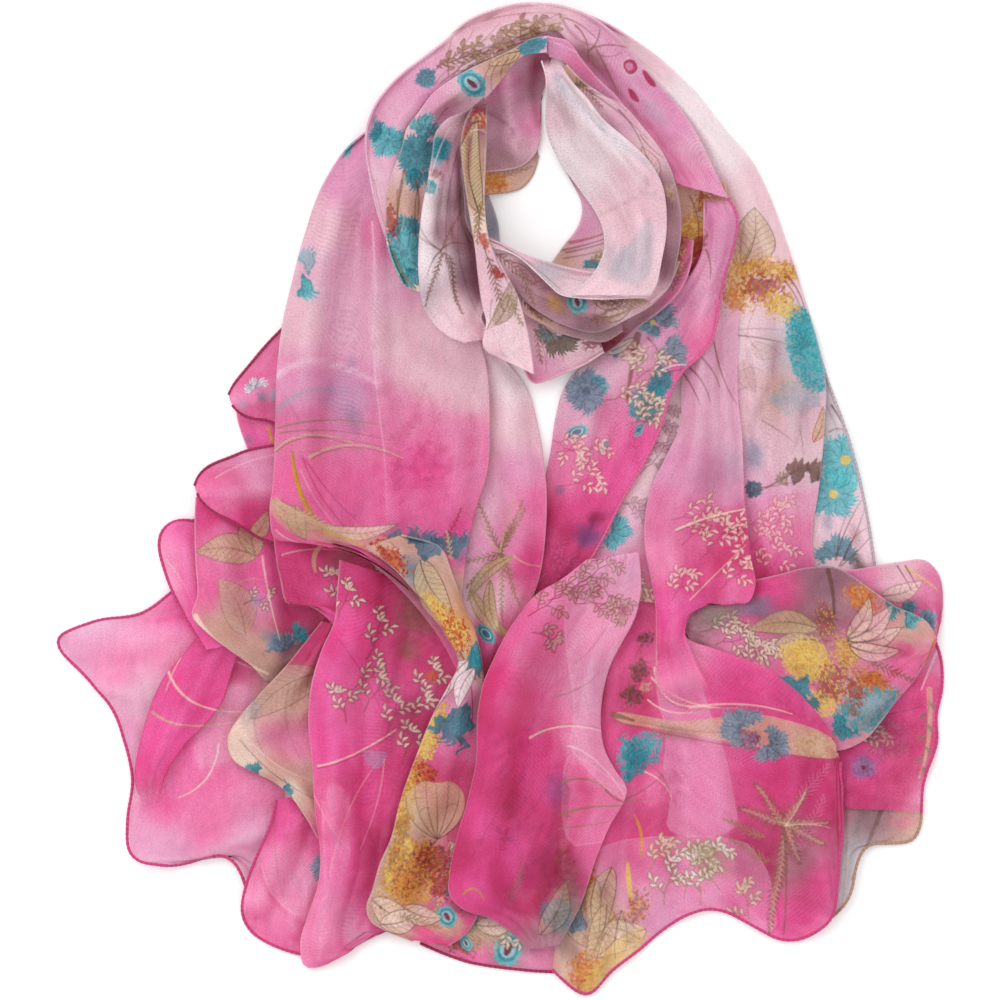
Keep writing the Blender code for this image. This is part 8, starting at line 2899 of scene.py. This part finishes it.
    left_fold: Stretch = Stretch(
        "left_fold", Edge.FOLD, Edge.FOLD, "cream_chiffon",
        ((484, 98, 486, 108), (466, 112, 478, 117), (447, 121, 470, 128), (437, 133, 463, 142),
        (433, 155, 462, 167), (429, 180, 465, 195), (424, 205, 467, 222), (420, 243, 480, 250),
        (420, 278, 485, 280), (424, 305, 487, 303), (434, 323, 481, 318), (448, 336, 486, 329),
        (465, 343, 486, 339)),
        ridges=((430, 200, 428, 290, 8, 6), (456, 150, 459, 230, 6, 2), (450, 270, 460, 320, 9, 4)),
        ring=True, pleats=Pleats(4, 0.9, Way.ALONG, 0.7, 15.0), rim=0.35,
        # the dusk spots in these dyes are painted shade in the fold valleys
        dyes={Dye.MAUVE: ((480, 108, .95), (440, 150, .95), (452, 230, .95)), Dye.BLUSH: ((456, 130, .95),
        (478, 335, .95)), Dye.DUSK: ((458, 165, .95), (455, 198, .95), (470, 240, .95), (474, 280, .95)),
        Dye.PETAL: ((440, 168, .95),), Dye.WHITE: ((428, 188, .95), (424, 215, .95), (430, 262, .95)),
        Dye.SHELL: ((440, 310, .95), (460, 325, .95)), Dye.SILVER: ((425, 300, .95),)},
        prints=(Haze(440, 150, 11, .8, 1.2, 90), Haze(437, 160, 9, .75, 1.3, 90, ink=Ink.BLUE_GREY),
        Bloom(440, 150, 15, 100), Mottle(435, 174, 5, 0, .6, 1.2, ground=Ink.BROWN),
        Bloom(430, 188, 9, 100, deep=Ink.TEAL, pale=Ink.TEAL_PALE), Frond(442, 253, 56, 98, 5, .75, 4.5),
        Frond(444, 253, 62, 56, 6, .75, 4.5, .3), Frond(450, 256, 46, 74, 5, .6, 4.5, ink=Ink.SEPIA),
        Frond(443, 249, 50, 286, 4, .6, 4.5), *each(Stroke, ((441, 252, 1.6, (432, 258, 427, 279), .8),
        (441, 251, 2.2, (452, 238, 470, 246), .7), (441, 251, 2, (430, 246, 420, 238), .7))),
        # painted shade down the fold valleys: the soft and the thin wine strokes
        *each(Stroke, ((466, 116, 4, (440, 165, 437, 235), .45), (463, 150, 3.5, (455, 200, 452, 240), .4),
        (472, 215, 5, (466, 260, 480, 300), .55)), ink=Dye.WINE, crisp_line=False),
        *each(Stroke, ((470, 118, 1.8, (446, 172, 446, 240), .55), (446, 240, 1.6, (446, 285, 466, 322), .35),
        (476, 124, 1.6, (456, 185, 458, 250), .5)), ink=Dye.WINE),
        # painted highlights on the fold edges
        *each(Stroke, ((450, 128, 1.6, (427, 170, 424, 230), .5),
        (424, 300, 1.3, (446, 326, 476, 340), .5)), ink=Dye.WHITE),
        *each(Stroke, ((436, 248, 1.4, (424, 240, 420, 226)), (458, 250, 1.5, (464, 290, 480, 318), .45),
        (482, 128, 1.4, (468, 180, 470, 250), .5)), ink=Ink.SEPIA),
        # a painted highlight on a fold edge, then a brown strip of painted shade in a fold
        Stroke(432, 190, 4, (428, 210, 430, 240), .4, ink=Dye.WHITE, crisp_line=False),
        Haze(472, 205, 8, .35, 4, 92, ink=Ink.BROWN), Frond(468, 168, 44, 98, 5, .5, 4.5)))

    bottom_fold: Stretch = Stretch(
        "bottom_fold", Edge.TUCK, Edge.FOLD, "rose_chiffon",
        ((512, 300, 520, 360), (525, 305, 533, 382), (540, 312, 547, 380), (558, 320, 563, 373),
        (578, 328, 583, 365), (598, 334, 604, 352)),
        ridges=((535, 330, 545, 370, 8, 3),),
        ring=True, pleats=Pleats(2, 0.5),
        dyes={Dye.BLUSH: ((525, 350, .93), (590, 345, .93)), Dye.PETAL: ((545, 365, .93),),
        Dye.SHELL: ((566, 342, .93),), Dye.ROSE: ((532, 375, .93),)},
        prints=(Bloom(560, 336, 25, 80, 220, deep=Ink.SEPIA, pale=Ink.MOSS),
        Bloom(548, 330, 14, 120, 200, deep=Ink.MOSS, pale=Ink.BLUE_GREY),
        Mottle(598, 340, 9, 340, .7, 1.8, ground=Ink.RED, blot=Ink.WINE, fleck=Ink.BROWN),
        Frond(535, 328, 36, 70, 7, .75), *each(Stroke, ((534, 330, 1.4, (548, 350, 546, 372)),
        (544, 326, 1.4, (560, 344, 564, 362))), ink=Ink.SEPIA)))

    inner_strip: Stretch = Stretch(
        "inner_strip", Edge.TUCK, Edge.FOLD, "cream_chiffon",
        ((503, 262, 500, 285), (515, 278, 510, 298), (530, 295, 522, 312), (548, 308, 540, 322),
        (562, 318, 562, 333), (580, 322, 585, 339), (602, 322, 605, 341), (620, 314, 622, 331)),
        ring=True, pleats=Pleats(1, 0.3),
        dyes={Dye.BLUSH: ((515, 288, .93),), Dye.SAND: ((545, 312, .93),), Dye.MAUVE: ((580, 330, .93),
        (610, 325, .93))},
        prints=(Mottle(545, 312, 6, 25, .75, 3.6, ground=Ink.RED), Frond(505, 278, 56, 40),
        Stroke(560, 325, 1.5, (590, 332, 612, 325), ink=Ink.SEPIA),
        Haze(596, 330, 16, .35, 1.6, 350, ink=Ink.MOSS)))

    eye_turn: Stretch = Stretch(
        "eye_turn", Edge.TUCK, Edge.FOLD, "cream_chiffon",
        ((490, 238, 492, 262), (510, 250, 508, 280), (530, 262, 528, 303), (548, 275, 550, 318),
        (568, 285, 570, 327), (596, 288, 596, 332), (625, 285, 628, 318), (648, 272, 653, 303),
        (660, 258, 668, 287), (664, 242, 679, 262)),
        ring=True, pleats=Pleats(2, 0.5),
        dyes={Dye.BLUSH: ((495, 250, .94), (606, 302, .94), (630, 302, .94)), Dye.MAUVE: ((526, 290, .94),
        (550, 304, .94)), Dye.DUSK: ((592, 326, .94),), Dye.SAND: ((655, 280, .94),),
        Dye.BEIGE: ((668, 255, .94),)},
        prints=(Eye(577, 302, 13, 75, .85, .5), Haze(555, 303, 9, .7, 1.5, 40, ink=Ink.GOLD),
        Frond(597, 296, 50, 350, 8, .75, ink=Ink.OLIVE), Frond(496, 254, 50, 30, 8, .75),
        Frond(520, 268, 40, 60, 8), Frond(604, 312, 46, 335, ink=Ink.SEPIA),
        Stroke(596, 292, 1.4, (598, 306, 592, 322), .7), Stroke(520, 285, 1.4, (540, 300, 560, 306)),
        Leaf(634, 300, 36, 318, 8, line=Ink.BROWN), Pods(614, 296, 4, (640, 290), 4, .7, ink=Ink.BEIGE),
        Mottle(662, 262, 8, 110, .7, 2, .3, ground=Ink.BEIGE, blot=Ink.BROWN, fleck=Ink.SEPIA),
        Haze(598, 322, 14, .25, 2, 350, ink=Ink.SEPIA),
        *each(Stroke, ((505, 262, 1.3, (528, 262, 536, 282), .7), (512, 272, 1.3, (530, 280, 526, 294)),
        (606, 300, 1.2, (620, 290, 640, 296)), (612, 316, 1.2, (632, 312, 650, 300), .55),
        (500, 256, 1.2, (516, 250, 530, 268))), ink=Ink.SEPIA), Stroke(604, 308, 1.2, (626, 300, 648, 284)),
        Stroke(538, 290, 1.2, (552, 286, 562, 294)), Leaf(592, 296, 30, 20, 6, .4),
        Leaf(600, 318, 34, 340, 6, .4), Stroke(640, 276, 1.2, (652, 284, 648, 298), ink=Ink.SEPIA),
        Stroke(534, 284, 1.2, (544, 278, 552, 284), ink=Ink.RED),
        Frond(600, 304, 44, 345, 6, .6, 4, ink=Ink.SEPIA), Stroke(586, 318, 1.2, (610, 326, 634, 306), .5),
        Haze(640, 298, 12, .5, 2, 330, ink=Ink.BEIGE), Haze(566, 308, 12, .35, 2, 20, ink=Ink.SEPIA),
        Mottle(600, 320, 8, 340, .5, 1.4, .4, ground=Ink.BROWN, blot=Ink.SEPIA)))

    second_right: Stretch = Stretch(
        "second_right", Edge.TUCK, Edge.FOLD, "cream_chiffon",
        ((556, 72, 566, 66), (566, 88, 582, 82), (580, 105, 604, 97), (597, 120, 622, 106),
        (612, 135, 644, 130), (625, 150, 657, 146), (635, 165, 667, 163), (642, 185, 675, 186),
        (646, 205, 680, 212), (646, 228, 680, 236), (643, 250, 676, 260), (636, 272, 668, 287),
        (628, 288, 650, 303)),
        ring=True, pleats=Pleats(3, 0.5, Way.ALONG, 0.7, 16.0), rim=0.35,
        dyes={Dye.SAND: ((572, 78, .93),), Dye.BLUSH: ((595, 105, .93), (645, 145, .93), (650, 290, .93),
        (635, 160, .93)), Dye.PETAL: ((620, 125, .93),), Dye.MAUVE: ((655, 195, .93), (640, 205, .93),
        (668, 220, .93)), Dye.DUSK: ((665, 268, .93),)},
        prints=(Bloom(580, 82, 10, 60, 200, deep=Ink.BROWN, pale=Ink.BEIGE),
        Stroke(585, 90, 1.4, (620, 110, 648, 140), ink=Ink.SEPIA),
        Stroke(618, 110, 1.5, (645, 135, 652, 182), .8), Stroke(640, 135, 1.4, (650, 150, 664, 158), .7),
        Leaf(652, 186, 40, 255, 9, .3, fill=Ink.CREAM, line=Ink.BROWN),
        Stroke(654, 172, 1.6, (672, 195, 664, 235), .7),
        Stroke(668, 185, 1.3, (676, 210, 668, 250), ink=Ink.OLIVE),
        Mottle(668, 192, 6, 60, .6, ground=Ink.BEIGE, blot=Ink.BEIGE, fleck=Ink.BROWN),
        Stroke(590, 98, 3.5, (640, 150, 656, 215), .5, ink=Dye.MAUVE, crisp_line=False),
        Stroke(590, 92, 2.2, (612, 96, 626, 112), .5), Frond(576, 78, 40, 40, 7, .6),
        Leaf(646, 224, 36, 100, 7, .4),
        Stroke(660, 236, 4, (672, 260, 660, 290), .5, ink=Dye.WINE, crisp_line=False)))

    pale_neck_band: Stretch = Stretch(
        "pale_neck_band", Edge.FOLD, Edge.HEM, "cream_chiffon",
        ((484, 238, 487, 247), (500, 244, 513, 255), (522, 255, 535, 273), (551, 264, 549, 286),
        (580, 271, 562, 296), (600, 274, 582, 299), (620, 275, 603, 300), (640, 270, 627, 298),
        (652, 262, 646, 298)),
        ring=True, pleats=Pleats(2, 0.5), hem=Dye.WHITE,
        dyes={Dye.BLUSH: ((495, 248, .94), (520, 262, .94)), Dye.SILVER: ((545, 275, .92),),
        Dye.SHELL: ((575, 285, .92), (610, 288, .92), (640, 285, .92))},
        prints=(Stroke(486, 240, 1.4, (520, 252, 560, 290), ink=Ink.SEPIA), Frond(500, 250, 40, 35, 6, .5),
        Stroke(540, 268, 5, (570, 280, 600, 284), .25, ink=Ink.BLUE_GREY, crisp_line=False)))

    leaf_strip: Stretch = Stretch(
        "leaf_strip", Edge.FOLD, Edge.FOLD, "gold_print_chiffon",
        ((476, 104, 486, 104), (467, 120, 486, 120), (462, 138, 486, 138), (463, 165, 485, 165),
        (467, 196, 484, 196), (471, 220, 485, 220), (476, 250, 490, 246), (479, 278, 504, 272),
        (483, 306, 517, 297), (487, 322, 525, 325), (485, 349, 531, 355), (500, 358, 533, 374)),
        ring=True, pleats=Pleats(2, 0.5), rim=0.35, fade=(9, 0, 0, 0),
        dyes={Dye.WINE: ((480, 115, .95),), Dye.MAUVE: ((466, 140, .95),), Dye.BEIGE: ((478, 160, .95),),
        Dye.SAND: ((475, 200, .95),), Dye.IVORY: ((480, 225, .95),), Dye.BLUSH: ((482, 255, .95),
        (495, 285, .95)), Dye.SHELL: ((505, 320, .95), (515, 350, .95), (490, 330, .95))},
        prints=(Mottle(479, 121, 8, 30, .75, ground=Ink.BEIGE, blot=Ink.ORANGE, fleck=Ink.RED),
        Mottle(497, 274, 5, 30, .95, 2, ground=Ink.RED),
        Mottle(466, 152, 6, 88, .8, 4.2, .7, ground=Ink.ORANGE), Leaf(479, 214, 96, 269, 12, .9, 4, .8),
        *each(Stroke, ((476, 112, 2.2, (472, 116, 468, 122), .8),
        (474, 124, 3, (480, 120, 486, 126), .8)), ink=Dye.WINE),
        Stroke(472, 132, 1.6, (478, 128, 487, 134), ink=Ink.CREAM), Frond(480, 205, 40, 85, 8),
        Frond(484, 196, 44, 95, ink=Ink.OLIVE), Mottle(484, 242, 6, 60, .8, 1.8, ground=Ink.ORANGE),
        Frond(488, 258, 56, 65, 9, .8), Leaf(494, 326, 50, 292, 9, .5, fill=Ink.OLIVE, line=Ink.BROWN),
        Frond(507, 294, 36, 55, 7, .75, ink=Ink.OLIVE),
        Stroke(487, 330, 1.5, (492, 318, 508, 296), .8, ink=Ink.OLIVE),
        Stroke(487, 318, 1.2, (500, 330, 516, 352), .4, ink=Dye.WHITE),
        *each(Stroke, ((489, 232, 1.5, (494, 262, 512, 290), .7), (474, 198, 1.3, (482, 215, 478, 236), .7),
        (484, 246, 1.3, (488, 266, 500, 280), .7), (492, 300, 1.2, (488, 318, 494, 336), .5)), ink=Ink.SEPIA),
        Stroke(498, 290, 1.3, (512, 300, 508, 322), .8, ink=Ink.OLIVE),
        Stroke(470, 140, 5, (466, 170, 468, 200), .55, ink=Dye.WINE, crisp_line=False)))

    pale_turn: Stretch = Stretch(
        "pale_turn", Edge.HEM, Edge.FOLD, "cream_chiffon",
        ((542, 62, 556, 60), (547, 79, 570, 82), (547, 100, 585, 98), (547, 126, 603, 121),
        (554, 148, 628, 142), (567, 170, 648, 162), (584, 193, 661, 185), (597, 212, 665, 205),
        (605, 235, 665, 235), (603, 258, 660, 263), (591, 278, 656, 283), (570, 296, 649, 296)),
        ridges=((562, 90, 640, 175, 12, 5), (600, 180, 640, 230, 16, 4), (635, 190, 640, 280, 8, 3)),
        ring=True, bed=0.0005, pleats=Pleats(4, 0.7, Way.ALONG, 0.8, 17.0), rim=0.4, fade=(12, 0, 0, 0),
        hem=Dye.WHITE,
        dyes={Dye.BLUSH: ((548, 70, .93), (648, 200, .93)), Dye.SILVER: ((560, 95, .93), (620, 265, .92)),
        Dye.SHELL: ((555, 120, .93), (622, 180, .93), (610, 205, .93), (632, 235, .93), (610, 285, .9),
        (645, 265, .93), (580, 290, .88)), Dye.WHITE: ((575, 95, .93), (590, 125, .93), (570, 150, .93),
        (605, 150, .93), (590, 182, .93))},
        prints=(Stroke(556, 78, 7, (590, 125, 648, 165), .45, ink=Ink.BLUE_GREY, crisp_line=False),
        *each(Stroke, ((552, 90, 4, (575, 140, 612, 190), .7),
        (563, 82, 4, (600, 140, 652, 195))), ink=Ink.WHITE, crisp_line=False),
        Stroke(575, 100, 3, (620, 150, 660, 200), .3, ink=Dye.DUSK, crisp_line=False),
        Haze(566, 118, 7, .35, 4, 62, ink=Dye.MAUVE), *each(Stroke, ((600, 215, 3, (640, 195, 662, 190), .35),
        (562, 78, 3.5, (582, 104, 606, 126))), ink=Dye.MAUVE, crisp_line=False),
        Ply(612, 258, 4, ((636, 238), (652, 210), (655, 270), (640, 285), (604, 282)), .32,
        dye=Ink.BLUE_GREY), Stroke(596, 226, 2, (606, 250, 604, 282), .5, ink=Dye.WHITE, crisp_line=False)))


@dataclass
class RingCore:
    """The heaped layers inside the ring, gathered into one roll under the turns."""
    rows: tuple[tuple[float, float, float], ...] = (
        (556, 38, 9), (508, 60, 12), (458, 98, 16), (424, 150, 20), (414, 205, 20), (424, 258, 20),
        (458, 302, 19), (506, 322, 15), (560, 320, 13), (610, 306, 15), (646, 276, 14), (658, 234, 14),
        (654, 190, 14), (634, 150, 14), (604, 112, 14), (580, 70, 11))
    section: tuple[tuple[float, float], ...] = (
        (-1.0, 0.0), (-0.9, 0.45), (-0.5, 0.88), (0.0, 1.0), (0.5, 0.88), (0.9, 0.45), (1.0, 0.0))
    height: float = CORE_HEIGHT
    points_across: int = 25
    gathers: float = 3.5        # folds seen across the roll
    gather_depth: float = 0.0008
    gather_sway: float = 1.3    # how far they sway along it, in radians of their wave
    sways: int = 5
    shade: float = 0.15         # painted shade: how much deeper the colour is in the troughs between them
    node: str = "ring_core"

    def roll(self, section: np.ndarray) -> np.ndarray:
        """Sweeps a section round the ring.

        Args:
            section: Shares of the half width and of the height.

        Returns:
            The points, row by row.
        """
        rows = smooth_rows(self.rows, CELL_RING / STEP, closed=True)
        middle = np.array(plan_point(rows[:, 0], rows[:, 1])).T
        tangent = np.roll(middle, -1, axis=0) - np.roll(middle, 1, axis=0)
        tangent /= np.linalg.norm(tangent, axis=1)[:, None]
        side = np.stack([-tangent[:, 1], tangent[:, 0]], axis=1)
        grid = np.zeros((len(middle), len(section), 3))
        for place, (across, up) in enumerate(section):
            grid[:, place, :2] = middle + side * (rows[:, 2:] * STEP * across)
            grid[:, place, 2] = self.height * up
        return np.concatenate([grid, grid[:1]])

    def make(self, bed: Bed) -> bpy.types.Object:
        """Lays the roll on the surface.

        Args:
            bed: What lies on the surface; the roll is added to it.

        Returns:
            The roll.
        """
        bed.add(self.node, self.roll(np.array(self.section)))
        share = np.linspace(0, len(self.section) - 1, self.points_across)
        rounded = np.stack([np.interp(share, range(len(self.section)), column)
                            for column in np.array(self.section).T], axis=1)
        grid = self.roll(rounded)
        across, along = np.meshgrid(np.linspace(0, 1, grid.shape[1]), np.linspace(0, 1, grid.shape[0]))
        sway = self.gather_sway * np.sin(2 * math.pi * self.sways * along)
        fold = waver(2 * math.pi * self.gathers * across + sway, 2.0)
        grid[:, :, 2] += self.gather_depth * (fold - 1.0) * np.sin(math.pi * across)
        lines, columns = grid.shape[0] - 1, grid.shape[1]
        number = np.arange(lines * columns).reshape(lines, columns)
        number = np.vstack([number, number[:1]])
        faces = np.stack([number[:-1, :-1], number[1:, :-1], number[1:, 1:], number[:-1, 1:]], axis=2)
        points = grid[:-1].reshape(-1, 3)
        roll = add_mesh(self.node + "_cloth", points, faces.reshape(-1, 4).tolist())
        wide = float(np.linalg.norm(np.diff(grid, axis=1), axis=2).sum(axis=1).mean())
        long = float(np.linalg.norm(np.diff(grid, axis=0), axis=2).sum(axis=0).max())
        lay_out(roll, np.stack([across[:-1].ravel() * wide, along[:-1].ravel() * long], axis=1))
        # painted shade in the troughs between the gathers
        tone = 1.0 - self.shade + self.shade * fold[:-1].reshape(-1, 1)
        colour_points(roll, linear(Dye.BLUSH)[None, :] * tone, np.full(len(points), HEM_COVER))
        roll.data.materials.append(Chiffon("blush_chiffon").material())
        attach(roll, "root")
        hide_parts(self.node)
        log.info("%s: %d faces", roll.name, len(roll.data.polygons))
        return roll


# ---------------------------------------------------------------- the studio

@dataclass
class Studio:
    """A pale board, plain soft light and a camera that looks straight down."""
    board_half: float = 1.6
    board_drop: float = 0.0002
    sky: float = 1.08
    key: float = 1.05
    key_angle: float = 50.0         # degrees that the key light's source spans
    key_tilt: tuple[float, float] = (32.0, 26.0)
    lens: float = 400.0
    sensor: float = 36.0
    eye_level: float = 0.015        # mean height of the cloth
    frame_middle: tuple[float, float] = (500.0, 500.0)

    def make(self) -> None:
        """Sets up the board, the light and the camera."""
        self.board()
        self.light()
        self.camera()

    def board(self) -> bpy.types.Object:
        """Makes the floor.

        Returns:
            The floor.
        """
        half = self.board_half
        corners = ((-half, -half), (half, -half), (half, half), (-half, half))
        points = np.array([(x, y, -self.board_drop) for x, y in corners])
        board = add_mesh("floor", points, [(0, 1, 2, 3)])
        board.data.materials.append(PaintedBoard().material())
        return board

    def light(self) -> None:
        """Lights the scene with an even sky and one soft key from the upper left."""
        world = bpy.data.worlds.new("softbox_room")
        world.use_nodes = True
        world.node_tree.nodes.clear()
        sky = add_node(world.node_tree, "ShaderNodeBackground",
                       values={"Color": (1.0, 1.0, 1.0, 1.0), "Strength": self.sky})
        add_node(world.node_tree, "ShaderNodeOutputWorld", links={"Surface": sky.outputs[0]})
        bpy.context.scene.world = world
        lamp = bpy.data.lights.new("key", "SUN")
        lamp.energy = self.key
        lamp.angle = math.radians(self.key_angle)
        key = bpy.data.objects.new("key", lamp)
        key.rotation_euler = (math.radians(-self.key_tilt[0]), math.radians(-self.key_tilt[1]), 0.0)
        bpy.context.scene.collection.objects.link(key)

    def camera(self) -> bpy.types.Object:
        """Hangs the camera over the middle of the picture.

        Returns:
            The camera.
        """
        lens = bpy.data.cameras.new("overhead")
        lens.lens, lens.sensor_width = self.lens, self.sensor
        distance = PLAN_SIZE * STEP * self.lens / self.sensor
        lens.clip_start, lens.clip_end = 0.1, 10 * distance
        lens.dof.use_dof = False
        camera = bpy.data.objects.new("overhead", lens)
        camera.location = (*plan_point(*self.frame_middle), self.eye_level + distance)
        bpy.context.scene.collection.objects.link(camera)
        bpy.context.scene.camera = camera
        bpy.context.scene.view_settings.view_transform = "Standard"
        return camera


def main() -> None:
    """Lays the scarf from its lowest stretch to its highest one."""
    logging.basicConfig(level=logging.INFO, format="%(message)s")
    Studio().make()
    bed = Bed()
    RingCore().make(bed)
    for laying in (UnderLayers(), NeckHole(), RightTail(), LeftTail(), MiddleLobes(), NeckRing()):
        sheets = laying.make(bed)
        log.info("%s: %d sheets", type(laying).__name__, len(sheets))


if __name__ == "__main__":
    main()
